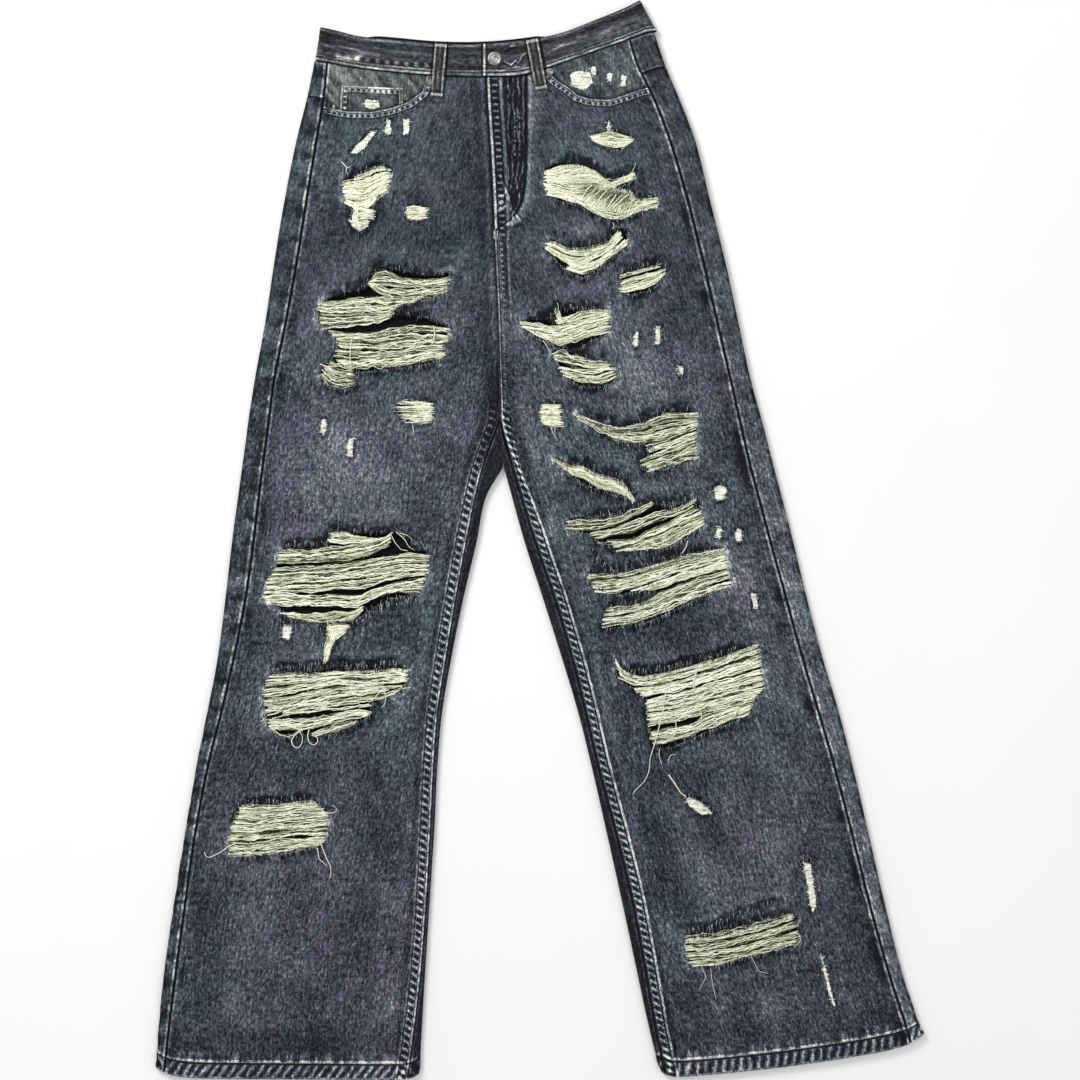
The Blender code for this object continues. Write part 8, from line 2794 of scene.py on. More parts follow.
def weave_rip(rip, st):
    """Weft left in a rip: bands of threads drawn from one end to the other.
    Loose yarn lies deepest, painted darker as the shade under the bundles;
    bundles of fine threads over it, painted lighter along their raised
    middles, and single strands wander over those."""
    side = rip["leg"]
    cut = rip["cut"]
    for bi, (up, lo, layers, wave) in enumerate(rip["bands"]):
        longest = max(arc(up)[-1], arc(lo)[-1])
        n0 = int(np.clip(longest / 3.0, 4, 70))
        probe_a, probe_b = edge_curve(up, n0), edge_curve(lo, n0)
        gap = np.hypot(*(probe_a - probe_b).T)
        wide = float(np.percentile(gap, 80))
        ang = np.arctan2(probe_a[-1, 1] - probe_a[0, 1],
                         probe_a[-1, 0] - probe_a[0, 0])
        soft = {"weft_r_hip": 1.0, "weft_l_hip": 0.9, "weft_l_thigh_1": 0.6,
                None: 0.9}.get(rip["node"], 0.0)
        shade = {"weft_r_thigh_upper": -0.08, "weft_r_knee_upper": -0.04,
                 "weft_l_knee_lower": 0.07, "weft_l_knee_upper": 0.08,
                 "weft_r_knee_lower": 0.05}.get(rip["node"], 0.0)
        plans = [("deep", 1.45, 6.0), ("main", 1.08, 2.7), ("top", 3.8, 2.9)]
        spread = 0.75
        for kind, pitch, seg in plans:
            n = int(np.clip(longest / seg, 4, 90))
            a, b = edge_curve(up, n), edge_curve(lo, n)
            ab = a - b
            ab /= np.maximum(np.hypot(*ab.T), 1.5)[:, None]
            a, b = a + ab * spread, b - ab * spread
            if kind != "deep":            # the ends lie out on the cloth
                for e in (a, b):
                    for i0, i1 in ((0, 1), (-1, -2)):
                        dv = e[i0] - e[i1]
                        dv /= max(np.hypot(*dv), 1e-6)
                        e[i0] = e[i0] + dv * (1.6 if cut else 0.5)
            s = np.linspace(0, 1, n)
            sl = s * longest
            count = max(2 if kind != "top" else 1, int(round(wide / pitch)))
            if kind == "deep" and wide < 3.0:
                continue
            ts = (np.arange(count) + 0.5) / count
            tt, place = ts.copy(), np.full(count, 0.5)
            k0 = 0
            while kind == "main" and k0 < count:
                sz = int(rng.integers(2, 6))
                idx = np.arange(k0, min(k0 + sz, count))
                c = ts[idx].mean()
                tt[idx] = c + (ts[idx] - c) * rng.uniform(0.72, 0.90)
                place[idx] = (np.arange(len(idx)) + 0.5) / len(idx)
                k0 += sz
            bseed = int(rng.integers(1, 9999))
            for i in range(count):
                if kind != "deep" and rng.random() < 0.03:
                    continue
                own = int(rng.integers(1, 99999))
                if kind == "top":
                    f0, f1 = rng.random(), rng.random()
                    f1 = f0 + np.clip(f1 - f0, -0.35, 0.35)
                    f = f0 + (f1 - f0) * s
                else:
                    f = tt[i] + (rng.random() - 0.5) * 0.3 / count \
                        + np.zeros(n)
                # neighbours wander together, each a little by itself
                com = (noise(sl, tt[i] * wide, 17, 6.0, bseed) - 0.5) * (
                    1.5 + 4.0 * wave) + (noise(sl, tt[i] * wide, 6.5, 3.0,
                                               bseed + 3) - 0.5) * 0.9
                own_d = (noise(sl, 0, 9.0, 1, own) - 0.5) * (1.9 + wave) \
                    + (noise(sl, 0, 3.2, 1, own + 1) - 0.5) * 1.5
                if kind == "top":
                    own_d = own_d * 1.8
                ends = np.clip(np.minimum(s, 1 - s) * longest / 9.0, 0.12, 1)
                d = (com + own_d) * ends
                lim = 0.8
                fx = np.clip(f, 0.02, 0.98)
                x = a[:, 0] * (1 - fx) + b[:, 0] * fx - np.sin(ang) * d * lim
                y = a[:, 1] * (1 - fx) + b[:, 1] * fx + np.cos(ang) * d * lim
                lo_i, hi_i = 0, n
                if kind != "deep" and rng.random() < (
                        0.06 if kind == "main" else 0.45) and n > 7:
                    cutp = int(rng.integers(3, n - 3))
                    lo_i, hi_i = (0, cutp) if rng.random() < 0.5 else (
                        cutp, n)
                base = z_under(side, x, y)
                lift = {"deep": -1.05, "main": -0.30, "top": 0.42}[kind]
                if not cut:
                    lift = {"deep": 0.0, "main": 0.30, "top": 0.62}[kind]
                hump = 0.40 * np.sin(np.pi * place[i]) - 0.15
                zz = base + lift + hump + 0.55 * (noise(
                    sl, 0, 8, 1, own + 9) - 0.5)
                dip = np.clip(1 - np.minimum(s, 1 - s) * longest / 4.0, 0, 1)
                if kind == "deep":
                    zz = zz - 0.3 * dip
                elif cut:
                    zz = zz * (1 - dip) + (base + 0.38 + 0.25 * rng.random()
                                           ) * dip
                else:
                    zz = zz - 0.2 * dip
                # each end runs out by its own amount
                stretch = (rng.random(2) - 0.38) * 4.4
                ex = np.array([x[0] - x[1], y[0] - y[1]])
                ex = ex / max(np.hypot(*ex), 1e-6)
                x[0] += ex[0] * stretch[0]
                y[0] += ex[1] * stretch[0]
                ex = np.array([x[-1] - x[-2], y[-1] - y[-2]])
                ex = ex / max(np.hypot(*ex), 1e-6)
                x[-1] += ex[0] * stretch[1]
                y[-1] += ex[1] * stretch[1]
                r = {"deep": rng.uniform(0.62, 0.86),
                     "main": rng.uniform(0.40, 0.62),
                     "top": rng.uniform(0.26, 0.38)}[kind]
                rr = r * (0.78 + 0.44 * noise(sl, 0, 3.4, 1, own + 5))
                # tone: the deepest yarn painted darker as shade, each bundle painted lighter at its raised middle as
                # a highlight, with random spread
                tone = {"deep": 0.14 + 0.52 * soft, "main": 0.54 + 0.24 * soft,
                        "top": 0.84}[kind] \
                    + (0.24 * (1 - 0.6 * soft) * np.sin(np.pi * place[i])
                       if kind == "main" else 0.0) \
                    + (0.64 * (1 - 0.62 * soft) if kind == "main"
                       else 0.2) * (rng.random() - .5) \
                    + 0.60 * (1 - 0.4 * soft) * (noise(sl, 0, 6, 1, own + 7)
                                                 - 0.5)
                tone = tone + shade
                if rip["node"] == "weft_l_hip":
                    # darker where warp still crosses the weft: partly the warp's own colour,
                    # partly painted shade in the hollow
                    ca, sa = math.cos(-0.28), math.sin(-0.28)
                    uu = (x - 67.5) * ca + (y - 344.5) * sa
                    vv = -(x - 67.5) * sa + (y - 344.5) * ca
                    tone = tone - 0.50 * np.exp(-(uu / 29.0) ** 4
                                                - (vv / 8.0) ** 2)
                pts = np.stack([x, y, zz], -1)[lo_i:hi_i]
                st.tube(pts, rr[lo_i:hi_i],
                        np.clip(tone, 0.02, 1.0)[lo_i:hi_i], 4)
            # down standing off the yarn
            if kind == "main":
                m = int(longest * wide * 0.055)
                r6 = rng.random((m, 7))
                j = r6[:, 0] * (n - 1)
                j0 = np.clip(j.astype(int), 0, n - 2)
                fr_ = (j - j0)[:, None]
                pa = a[j0] * (1 - fr_) + a[j0 + 1] * fr_
                pb = b[j0] * (1 - fr_) + b[j0 + 1] * fr_
                q = pa * (1 - r6[:, 1:2]) + pb * r6[:, 1:2]
                th = ang + (r6[:, 2] - 0.5) * 3.4 + np.pi * (r6[:, 3] > 0.5)
                ln = 1.2 + 3.4 * r6[:, 4] ** 2
                e = q + np.stack([np.cos(th), np.sin(th)], 1) * ln[:, None]
                z0 = z_under(side, q[:, 0], q[:, 1]) + (
                    -0.1 if cut else 0.45)
                st.hairs(np.column_stack([q, z0]),
                         np.column_stack([e, z0 + 0.5 + 0.8 * r6[:, 5]]),
                         0.13 + 0.10 * r6[:, 5], 0.62 + 0.38 * r6[:, 6])


def outline_walk(rip, pitch):
    """Places round a rip's outline with their outward normals."""
    o = list(rip["outline"]) + [rip["outline"][0]]
    total = arc(o)[-1]
    n = max(8, int(total / pitch))
    s = arc(o)
    q = (np.arange(n) + 0.5) / n * total
    p = np.array(o, float)
    x, y = np.interp(q, s, p[:, 0]), np.interp(q, s, p[:, 1])
    h = 2.5
    x1, y1 = (np.interp((q + h) % total, s, p[:, 0]),
              np.interp((q + h) % total, s, p[:, 1]))
    x0, y0 = (np.interp((q - h) % total, s, p[:, 0]),
              np.interp((q - h) % total, s, p[:, 1]))
    tx, ty = x1 - x0, y1 - y0
    ln = np.maximum(np.hypot(tx, ty), 1e-6)
    area = 0.5 * np.sum(p[:-1, 0] * p[1:, 1] - p[1:, 0] * p[:-1, 1])
    sg = 1.0 if area > 0 else -1.0
    return x, y, sg * ty / ln, -sg * tx / ln


def fray_rip(rip, st):
    """Warp ends: they hang over the weft from the upper edge, and lie out
    over the cloth from the lower edge; short ones at the ends."""
    side = rip["leg"]
    big = rip["cut"]
    for turn in range(3 if big else 2):
        pitch = (0.42, 0.50, 0.60)[turn]
        x, y, nx, ny = outline_walk(rip, pitch)
        m = len(x)
        top_len, bot_len = float(rip["top"]), float(rip["bottom"])
        if not big:
            top_len, bot_len = max(top_len, 1.6), max(bot_len, 2.0)
        up = ny > 0.30
        dn = ny < -0.25
        u = np.arange(m) * pitch
        clump = noise(u, turn * 9.0, 3.0, 1, 301)
        rnd = rng.random((m, 9))
        ln = np.where(
            up, top_len * (0.20 + 1.25 * rnd[:, 0] ** 2.0 * (0.3 + clump)),
            np.where(dn, bot_len * (0.20 + 1.30 * rnd[:, 0] ** 2.2
                                    * (0.3 + clump)),
                     0.6 + 2.0 * rnd[:, 0] ** 2))
        ln = np.clip(ln, 0.6, 11.0)
        keep = rnd[:, 1] < np.where(up | dn, 0.95, 0.75)
        back = np.where(up, 0.4 + (2.0 + 2.2 * turn) * rnd[:, 2],
                        np.where(dn, 0.2 + 1.4 * turn * rnd[:, 2],
                                 0.4 + 1.5 * rnd[:, 2]))
        rx = x + nx * back
        ry = y + ny * back
        lean = (noise(u, turn * 5.0, 6, 1, 307) - 0.5) * 1.1 \
            + (rnd[:, 3] - 0.5) * 1.2
        ends = ~(up | dn)
        # at the ends the weft's own fluff points inwards and outwards
        dx = np.where(ends, nx * np.sign(rnd[:, 8] - 0.4) + 0.5 * lean,
                      lean * 0.55)
        dy = np.where(ends, ny + 0.8 * (rnd[:, 5] - 0.6), -1.0)
        if turn == 2:
            dy = np.where(dn, 1.0, dy)
        dl = np.maximum(np.hypot(dx, dy), 1e-3)
        reach = ln + np.where(up, back, 0)
        tx, ty = rx + dx / dl * reach, ry + dy / dl * reach
        z_r = front_z(side, rx, ry) + 0.25
        z_t = front_z(side, tx, ty) + np.where(up, 0.60, 0.40) \
            + 0.7 * rnd[:, 4]
        light = np.where(up, 0.11, np.where(dn, 0.28, 0.60))
        tone = np.where(rnd[:, 7] < light, 0.60 + 0.38 * rnd[:, 6],
                        0.04 + 0.38 * rnd[:, 6])
        k = keep
        st.hairs(np.stack([rx, ry, z_r], -1)[k],
                 np.stack([tx, ty, z_t], -1)[k],
                 0.17 + 0.16 * rnd[k, 0], np.clip(tone[k], 0, 1))
    # the worn band between a crease and the rip: warp lying loose
    for c in rip["creases"]:
        for turn in range(2):
            q = resample(c, max(4, int(arc(c)[-1] / 0.85)), 3)
            n = len(q)
            rr = rng.random((n, 7))
            px = q[:, 0] + (rr[:, 0] - 0.5)
            py = q[:, 1] - 0.3 - 4.5 * rr[:, 5]
            ln2 = 2.5 + 6.0 * rr[:, 1]
            ex, ey = px + (rr[:, 2] - 0.5) * 4.0, py - ln2
            ok = signed(px, py, rip["outline"], 20.0) > 0.4
            if not ok.any():
                continue
            zr = front_z(side, px, py) + 0.35
            ze = front_z(side, ex, ey) + 0.75 + 0.6 * rr[:, 3]
            st.hairs(np.stack([px, py, zr], -1)[ok],
                     np.stack([ex, ey, ze], -1)[ok],
                     0.20 + 0.16 * rr[ok, 4],
                     np.where(rr[ok, 3] < 0.78, 0.04 + 0.36 * rr[ok, 4],
                              0.7 + 0.3 * rr[ok, 4]))


for side in ("right", "left"):
    groups = {}
    for r in LEG_RIPS[side]:
        # pieces by place on the leg, so each stays a moderate mesh
        groups.setdefault(r["node"] or "small", []).append(r)
    small = Strands()
    for node, rs in groups.items():
        st = small if node == "small" else Strands()
        for r in rs:
            if r["bands"]:
                weave_rip(r, st)
        if node == "small" or not st.n:
            continue
        ob = st.build(node.replace("weft_", "threads_"), M_WEFT)
        if node == "weft_r_thigh_upper":
            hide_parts(node, "weft_r_thigh_lower")
        else:
            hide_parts(node)
    # loose threads
    for leg, pts, rad in LOOSE:
        if leg != side:
            continue
        p = resample(pts, max(6, int(arc(pts)[-1] / 1.6)), 4)
        x, y = p[:, 0], p[:, 1]
        s = np.linspace(0, 1, len(x))
        z = front_z(side, x, y) + 0.75 + rad + 0.9 * np.sin(
            np.pi * np.clip(s * 1.1, 0, 1)) * noise(s * 40, 0, 9, 1, 311)
        small.tube(np.stack([x, y, z], -1), rad, 0.80 + 0.15 * (
            noise(s * 60, 0, 5, 1, 313) - 0.5), 4, 0.25)
    # a little fluff over each small mark
    for r in LEG_RIPS[side]:
        if r["bands"]:
            continue
        o = np.array(r["outline"])
        x0, x1 = o[:, 0].min(), o[:, 0].max()
        y0, y1 = o[:, 1].min(), o[:, 1].max()
        for k in range(int(3 + 0.085 * (x1 - x0) * (y1 - y0) ** 0.9)):
            cx, cy = rng.uniform(x0, x1), rng.uniform(y0, y1)
            if signed(np.array([cx]), np.array([cy]), r["outline"],
                      9.0)[0] > 0.0:
                continue
            half = rng.uniform(1.4, 3.6)
            th = rng.normal(0.0, 0.38) + (1.35 if rng.random() < 0.2 else 0)
            q = np.linspace(-1, 1, 4)
            bend = rng.uniform(-0.8, 0.8)
            xx = cx + half * q * math.cos(th) - bend * (1 - q * q) \
                * math.sin(th)
            yv = cy + half * q * math.sin(th) + bend * (1 - q * q) \
                * math.cos(th)
            if edge_y(side, cx) < cy:
                z = top_z(side, xx, yv) - facing_drop(side, xx, yv) + 0.35
                if side == "right" and COIN_POCKET["x0"] < cx \
                        < COIN_POCKET["x1"]:
                    z = coin_points(xx, yv) + 0.35
            else:
                z = surface_z(side, xx, yv) + 0.15
            small.tube(np.stack([xx, yv, z + 0.3 * (1 - q * q) - 0.1], -1),
                       rng.uniform(0.26, 0.42), rng.uniform(0.82, 1.0), 4,
                       0.4)
    ob = small.build("threads_small_" + side, M_WEFT)
    fr = Strands()
    for r in LEG_RIPS[side]:
        cx_, cy_ = np.array(r["outline"]).mean(0)
        if edge_y(side, cx_) < cy_:
            continue
        fray_rip(r, fr)
    ob = fr.build("frayed_edges_" + side, M_FRAY)

# ------------------------------------------------------------------- stitches
sew = {"right": Strands(), "left": Strands(), "band": Strands(),
       "back": Strands()}


def sew_line(st, pts, zf, pitch=3.2, length=2.3, radius=0.34, tone=0.6,
             seed=1, wob=0.15, up=1.0, skip=0.0):
    """Stitches along a plan polyline; zf(x, y) gives the surface."""
    total = arc(pts)[-1]
    n = int(total / pitch)
    if n < 1:
        return
    p = np.asarray(pts, float)
    s = arc(p)
    r = np.random.default_rng(seed)
    c = (np.arange(n) + 0.5) * pitch
    a, m, b = c - 0.5 * length, c, c + 0.5 * length
    rows3 = []
    for q in (a, m, b):
        rows3.append((np.interp(q, s, p[:, 0]), np.interp(q, s, p[:, 1])))
    X = np.stack([k[0] for k in rows3], 1)
    Y = np.stack([k[1] for k in rows3], 1)
    off = (r.random((n, 1)) - 0.5) * 2 * wob
    tx, ty = X[:, 2] - X[:, 0], Y[:, 2] - Y[:, 0]
    ln = np.maximum(np.hypot(tx, ty), 1e-6)
    X = X - (ty / ln)[:, None] * off
    Y = Y + (tx / ln)[:, None] * off
    Z = zf(X, Y)
    rad = radius
    Z = Z + up * np.array([[-0.10, 0.45 * rad, -0.10]])
    tn = np.clip(tone + 0.45 * (r.random(n) - 0.5), 0.03, 1)
    for k in range(n):
        if r.random() < skip:
            continue
        st.tube(np.stack([X[k], Y[k], Z[k]], -1),
                np.array([0.6, 1.0, 0.6]) * rad, tn[k], 4)


for side in ("right", "left"):
    sg = SGN[side]
    zf = (lambda s: (lambda X, Y: surface_z(s, X, Y)))(side)
    st = sew[side]
    # inseam
    ys = np.arange(96.0, -514.0, -4.0)
    for off, seed in ((2.9, 3), (8.4, 5)):
        pts = [(float(inner_x(side, y)) + sg * off / 0.985, y) for y in ys]
        sew_line(st, pts, zf, 3.75, 2.5, 0.36, 0.52, seed, skip=0.05)
    # hem
    hx, hy = HEM_LINE[side]
    xs = np.arange(hx[0] + 9.0, hx[-1] - 8.0, 4.0)
    pts = [(x, float(np.interp(x, hx, hy)) + 16.6) for x in xs]
    sew_line(st, pts, zf, 3.6, 2.6, 0.40, 0.66, 7)
    # pocket opening, two rows
    e = resample(POCKET_EDGE[side], 80, 3)
    d = np.gradient(e, axis=0)
    nrm = np.stack([d[:, 1], -d[:, 0]], 1)
    nrm /= np.linalg.norm(nrm, axis=1, keepdims=True)
    if side == "left":
        pass
    else:
        nrm = -nrm
    test = e + nrm * 3.0
    flipit = np.mean(test[:, 1] - np.array([float(edge_y(side, q))
                                            for q in test[:, 0]])) > 0
    if flipit:
        nrm = -nrm
    for off, seed in ((2.7, 11), (5.9, 13)):
        q = e + nrm * off
        q = q[(q[:, 1] < np.array([float(table(WAIST_SEAM, 1, k))
                                   for k in q[:, 0]]) - 2.0)]
        q = q[(seam_x(side, q[:, 1]) - q[:, 0]) * sg > 3.0]
        sew_line(st, [tuple(k) for k in q], zf, 2.8, 2.0, 0.36, 0.68, seed)

# fly: the J's two rows, the edge row, and the seam below
st = sew["left"]
zl = lambda X, Y: surface_z("left", X, Y)
for off, seed in ((-5.6, 17), (-10.4, 19)):
    pts = []
    for y in np.arange(428.0, 379.0, -3.0):
        fj = float(np.interp(y, [r[0] for r in FLY_J[::-1]],
                             [r[1] for r in FLY_J[::-1]]))
        if fj + off > 3:
            pts.append((float(centre(y)) + (fj + off) / 0.985, y))
    sew_line(st, pts, zl, 4.5, 2.8, 0.38, 0.45, seed)
pts = [(float(centre(y)) + 2.6, y) for y in np.arange(457.0, 318.0, -3.0)]
sew_line(st, pts, zl, 3.4, 2.4, 0.36, 0.60, 23)
for off, seed in ((2.0, 29), (6.2, 31)):
    pts = [(float(centre(y)) + off, y) for y in np.arange(305.0, 130.0, -3.0)]
    sew_line(st, pts, zl, 3.2, 2.2, 0.33, 0.55, seed)

# coin pocket
c = COIN_POCKET
zc = lambda X, Y: coin_points(X, Y) + 0.25
st = sew["right"]
for off, seed in ((2.4, 37), (5.6, 41)):
    sew_line(st, [(c["x0"] + 2, c["top0"] - off), (c["x1"] - 2,
                                                  c["top1"] - off)],
             zc, 2.7, 1.9, 0.34, 0.7, seed)
    sew_line(st, [(c["x0"] + off, c["top0"] - 2),
                  (c["x0"] + off - 1.4, c["top0"] - 19)],
             zc, 2.7, 1.9, 0.34, 0.68, seed + 1)

# waistband rows
st = sew["band"]


def band_z(X, Y):
    lap = (BAND_WALL + LIFT) * step(24.0, 0.0, X - LAP_END) * (X > LAP_START)
    return BAND_TOP_Z + lap + 0.15


for qq, tone, seed in ((0.095, 0.35, 43), (0.875, 0.42, 47)):
    pts = []
    for f in np.linspace(0.02, 0.985, 160):
        x, y = band_plan(f, qq)
        pts.append((float(x), float(y)))
    sew_line(st, pts, band_z, 3.4, 2.5, 0.36, tone, seed)
x0, y0 = band_plan((LAP_START + 222.0 + 3) / 338.0, 0.12)
x1, y1 = band_plan((LAP_START + 222.0 + 3) / 338.0, 0.85)
sew_line(st, [(float(x0), float(y0)), (float(x1), float(y1))], band_z, 3.0,
         2.1, 0.34, 0.6, 53)
for name, fr_ in LOOP_FRAME.items():
    xt, yt, ux, uy, sx, sy, length, prof, is_front = fr_
    tt = np.linspace(0, 1, len(prof))
    if not is_front:
        continue
    for off in (-4.2, 4.2):
        a = (xt + ux * 5 + sx * off, yt + uy * 5 + sy * off)
        b = (xt + ux * (length - 5) + sx * off,
             yt + uy * (length - 5) + sy * off)
        sew_line(st, [a, b], lambda X, Y: np.interp(
            ((X - xt) * ux + (Y - yt) * uy) / length, tt, prof) + 0.12,
            3.0, 2.1, 0.33, 0.58, 59)
    for d in (2.0, length - 2.2):
        for w in np.linspace(-5.2, 5.2, 13):
            px, py = xt + ux * d + sx * w, yt + uy * d + sy * w
            zz = float(np.interp(d / length, tt, prof)) + 0.55
            st.tube([(px - ux * 1.2, py - uy * 1.2, zz - 0.3),
                     (px, py, zz), (px + ux * 1.2, py + uy * 1.2, zz - 0.3)],
                    0.40, 0.70 + 0.2 * math.sin(w * 5), 4)
# bar tacks: foot of the fly, pocket ends
for (bx, by, ang, ln_, side) in ((-38.0, 331.0, 35, 9, "left"),
                                 (-27.5, 318.5, 80, 10, "left"),
                                 (-45.5, 305.5, 90, 8, "left"),
                                 (-206.0, 431.5, 84, 5, "right")):
    ca, sa = math.cos(math.radians(ang)), math.sin(math.radians(ang))
    for w in np.arange(-ln_ / 2, ln_ / 2, 0.8):
        px, py = bx + w * ca, by + w * sa
        zz = float(surface_z(side, px, py)) + 0.35
        st.tube([(px - sa * -1.1, py + ca * -1.1, zz - 0.25), (px, py, zz),
                 (px - sa * 1.1, py + ca * 1.1, zz - 0.25)], 0.38,
                0.72 + 0.15 * math.sin(w * 9), 4)

# back: yoke, centre seam, pockets
st = sew["back"]
zb = lambda X, Y: np.maximum(underside(Y), 0.25) + 0.0 * X
for side in ("right", "left"):
    for off, seed in ((3.0, 61), (8.0, 67)):
        vg = (yoke_v(YOKE_FRAC) + (GAP + off) / 1001.0)[None, :]
        x, y, z, S, kind, D, width, r = back_points(side, vg)
        ok = (kind[0] == 2)
        pts = list(zip(x[0][ok], y[0][ok]))
        sew_line(st, pts, zb, 3.4, 2.5, 0.32, 0.6, seed, up=-1.0)
        ys = np.arange(390.0, 135.0, -4.0)
        if side == "left":
            pts = [(float(inner(side, q)) + off, q) for q in ys]
            sew_line(st, pts, zb, 3.4, 2.5, 0.32, 0.6, seed + 1, up=-1.0)
    for inset, seed in ((2.6, 71), (8.2, 73)):
        pts = []
        p = BACK_POCKET
        for t in np.linspace(0.0, 1.0, 40):
            a = -1 + inset / (0.5 * p["width"])
            x, y, *_ = back_pocket_point(side, np.array(a), np.array(
                t * (1 - inset / p["side"])))
            pts.append((float(x), float(y)))
        for a in np.linspace(-1 + inset / (0.5 * p["width"]),
                             1 - inset / (0.5 * p["width"]), 30)[1:]:
            x, y, *_ = back_pocket_point(side, np.array(a), np.array(
                1 - inset * 1.05 / p["side"]))
            pts.append((float(x), float(y)))
        for t in np.linspace(1.0, 0.0, 40)[1:]:
            a = 1 - inset / (0.5 * p["width"])
            x, y, *_ = back_pocket_point(side, np.array(a), np.array(
                t * (1 - inset / p["side"])))
            pts.append((float(x), float(y)))
        sew_line(st, pts, lambda X, Y: 0.0 * X + 0.28, 3.4, 2.5, 0.30, 0.6,
                 seed, up=-0.5)
    for dtop, seed in ((3.0, 79), (12.5, 83)):
        pts = []
        for a in np.linspace(-0.97, 0.97, 30):
            x, y, *_ = back_pocket_point(side, np.array(a),
                                         np.array(dtop / 128.0))
            pts.append((float(x), float(y)))
        sew_line(st, pts, lambda X, Y: 0.0 * X + 0.28, 3.4, 2.5, 0.30, 0.6,
                 seed, up=-0.5)
for key, st in sew.items():
    ob = st.build("stitching_" + key, M_STITCH)


# --------------------------------------------------------- button and rivets
def turned(name, profile, x, y, z, mat, steps=64, wobble=0.0):
    prof = np.array(profile, float)
    k = len(prof)
    ang = np.arange(steps) * 2 * math.pi / steps
    v, faces = [(x, y, z + prof[0, 1])], []
    for r, h in prof[1:-1]:
        for a in ang:
            hh = h + wobble * math.sin(3 * a + 1) * (r > 1)
            v.append((x + r * math.cos(a), y + r * math.sin(a), z + hh))
    v.append((x, y, z + prof[-1, 1]))
    tri, quad = [], []
    for s in range(steps):
        t = (s + 1) % steps
        tri.append((0, 1 + s, 1 + t))
        for q in range(k - 3):
            a = 1 + q * steps
            quad.append((a + s, a + steps + s, a + steps + t, a + t))
        last = 1 + (k - 3) * steps
        tri.append((last + s, len(v) - 1, last + t))
    return mesh(name, v, [np.array(tri), np.array(quad)], mat)


zb_ = front_level(BUTTON["x"], BUTTON["y"]) + LIFT
btn = turned("jeans_button", [
    (0.0, 2.95), (0.5, 2.9), (1.1, 2.7), (1.5, 2.65), (2.0, 2.95),
    (2.6, 3.15), (3.2, 3.05), (3.7, 2.85), (4.3, 2.9), (4.8, 3.3),
    (5.4, 3.55), (6.0, 3.5), (6.5, 3.25), (6.85, 2.8), (7.0, 2.3),
    (6.85, 1.9), (6.3, 1.7), (3.2, 1.6), (3.0, 1.2), (2.9, -1.4),
    (2.0, -1.6), (0.0, -1.6)], BUTTON["x"], BUTTON["y"], zb_, M_METAL)
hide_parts("button")
for name, x, y in RIVETS:
    lev = max(front_level(x + 4.2 * math.cos(a), y + 4.2 * math.sin(a))
              for a in np.linspace(0, 2 * math.pi, 13))
    rv = turned("jeans_" + name, [
        (0.0, 0.85), (0.4, 0.8), (0.8, 0.55), (1.2, 0.40), (1.7, 0.42),
        (2.1, 0.85), (2.5, 1.15), (2.9, 1.2), (3.3, 1.0), (3.7, 0.65),
        (3.9, 0.3), (3.9, -0.4), (3.2, -0.9), (0.0, -0.9)],
        x, y, lev + LIFT, M_RIVET, 40)
    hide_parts(name)


# ------------------------------------------------------------ flat area of each sheet, not kept
def flat_area(ob):
    me = ob.data
    n = len(me.polygons)
    a = np.zeros(n)
    me.polygons.foreach_get("area", a)
    return float(a.sum()) * 0.5


REST = {
    "back": ([BACK["right"], BACK["left"]], ["back_pocket_right"])}


def declare(ob, flat):
    area = min(max(flat_area(ob), 0.31 * flat[0] * flat[1]),
               0.999 * flat[0] * flat[1])


declare(FRONT["right"], (0.262, 1.018))
declare(FRONT["left"], (0.262, 1.045))
declare(BACK["right"], (0.330, 0.980))
declare(BACK["left"], (0.330, 1.000))
declare(YOKE["right"], (0.215, 0.070))
declare(YOKE["left"], (0.190, 0.070))
declare(FACING["right"], (0.125, 0.060))
declare(FACING["left"], (0.125, 0.075))
declare(COIN, (0.066, 0.026))
for _s in ("right", "left"):
    declare(BACK_POCKETS[_s], (0.146, 0.152))
declare(BAND, (0.740, 0.033))
for _n, _ob in LOOPS.items():
    declare(_ob, (0.0125, 0.054))

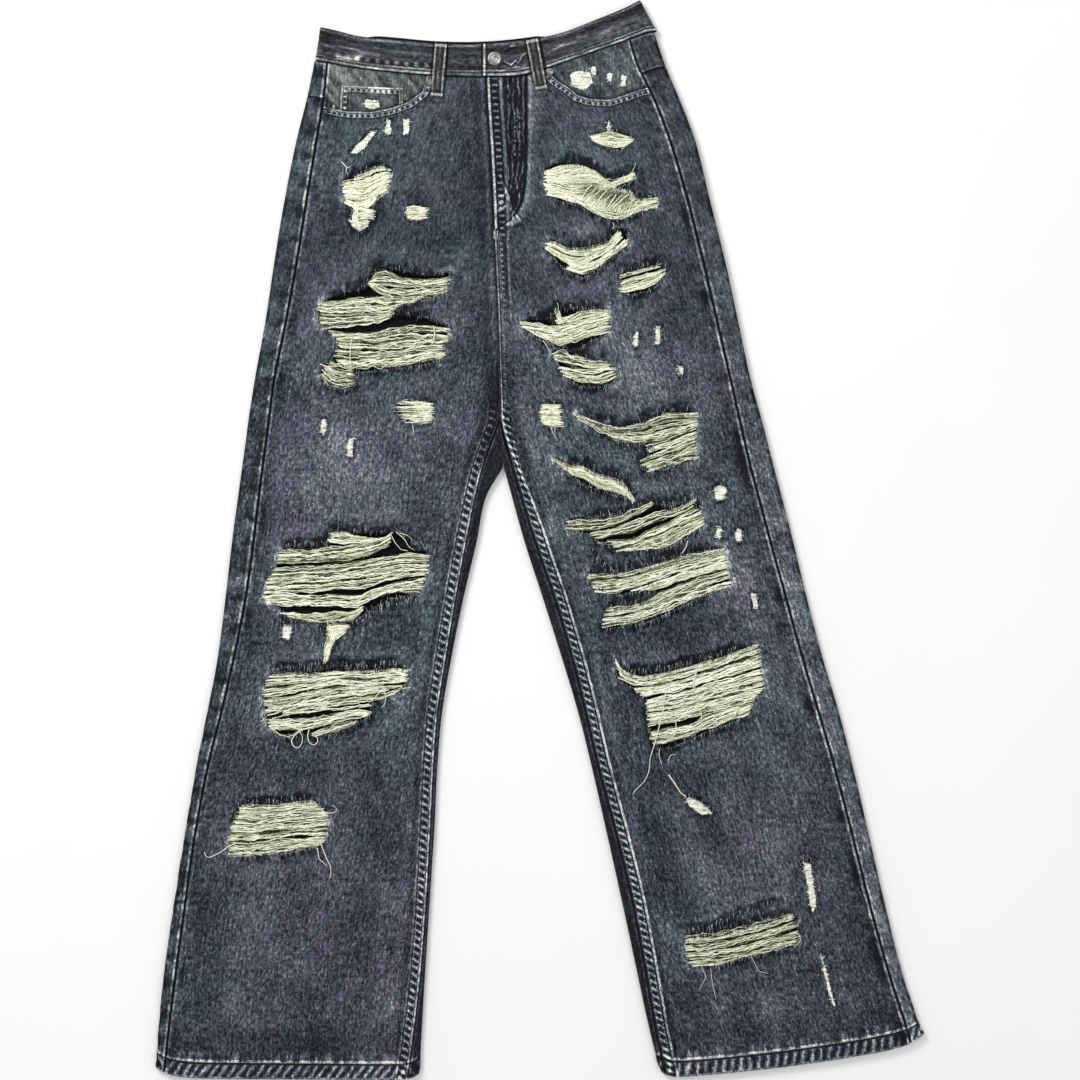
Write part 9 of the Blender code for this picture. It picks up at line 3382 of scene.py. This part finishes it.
# ---------------------------------------------------------------------- stage
N = Nodes("floor_paper")
_co = N.add("ShaderNodeTexCoord").outputs["Object"]
_f = N.noise(N.mapv(_co, (3.0, 3.0, 3.0)), 1.0, 3.0)
N.wire(N.ramp(_f, [(0.3, (0.80, 0.80, 0.80, 1)), (0.7, (0.82, 0.82, 0.82, 1))]),
       N.bsdf.inputs["Base Color"])
N.bsdf.inputs["Roughness"].default_value = 0.9
N.bsdf.inputs["Specular IOR Level"].default_value = 0.1
floor_me = bpy.data.meshes.new("floor")
floor_me.from_pydata([(-6, -6, -0.0006), (6, -6, -0.0006), (6, 6, -0.0006),
                      (-6, 6, -0.0006)], [], [(0, 1, 2, 3)])
floor_me.materials.append(N.mat)
floor = bpy.data.objects.new("floor", floor_me)
bpy.context.scene.collection.objects.link(floor)

world = bpy.data.worlds.new("studio")
bpy.context.scene.world = world
world.use_nodes = True
world.node_tree.nodes["Background"].inputs[0].default_value = (1, 1, 1, 1)
world.node_tree.nodes["Background"].inputs[1].default_value = 0.78


def area_light(name, loc, size, power, target=(0, 0, 0)):
    li = bpy.data.lights.new(name, "AREA")
    li.shape = "DISK"
    li.size = size
    li.energy = power
    ob = bpy.data.objects.new(name, li)
    ob.location = loc
    ob.rotation_euler = (Vector(target) - Vector(loc)).to_track_quat(
        "-Z", "Y").to_euler()
    bpy.context.scene.collection.objects.link(ob)
    return ob


area_light("key", (-1.3, 1.5, 1.5), 1.0, 42.0)
area_light("fill", (1.6, -0.4, 2.4), 2.2, 10.0)

cam_data = bpy.data.cameras.new("camera")
cam_data.lens = 85.0
cam_data.sensor_width = 36.0
cam = bpy.data.objects.new("camera", cam_data)
cam.location = (0.0, 0.0, 1.08 * 85.0 / 36.0)
cam.rotation_euler = (0.0, 0.0, 0.0)
cam_data.clip_end = 100.0
bpy.context.scene.collection.objects.link(cam)
bpy.context.scene.camera = cam
bpy.context.scene.view_settings.view_transform = "Standard"
bpy.context.scene.view_settings.look = "None"

bpy.context.view_layer.update()
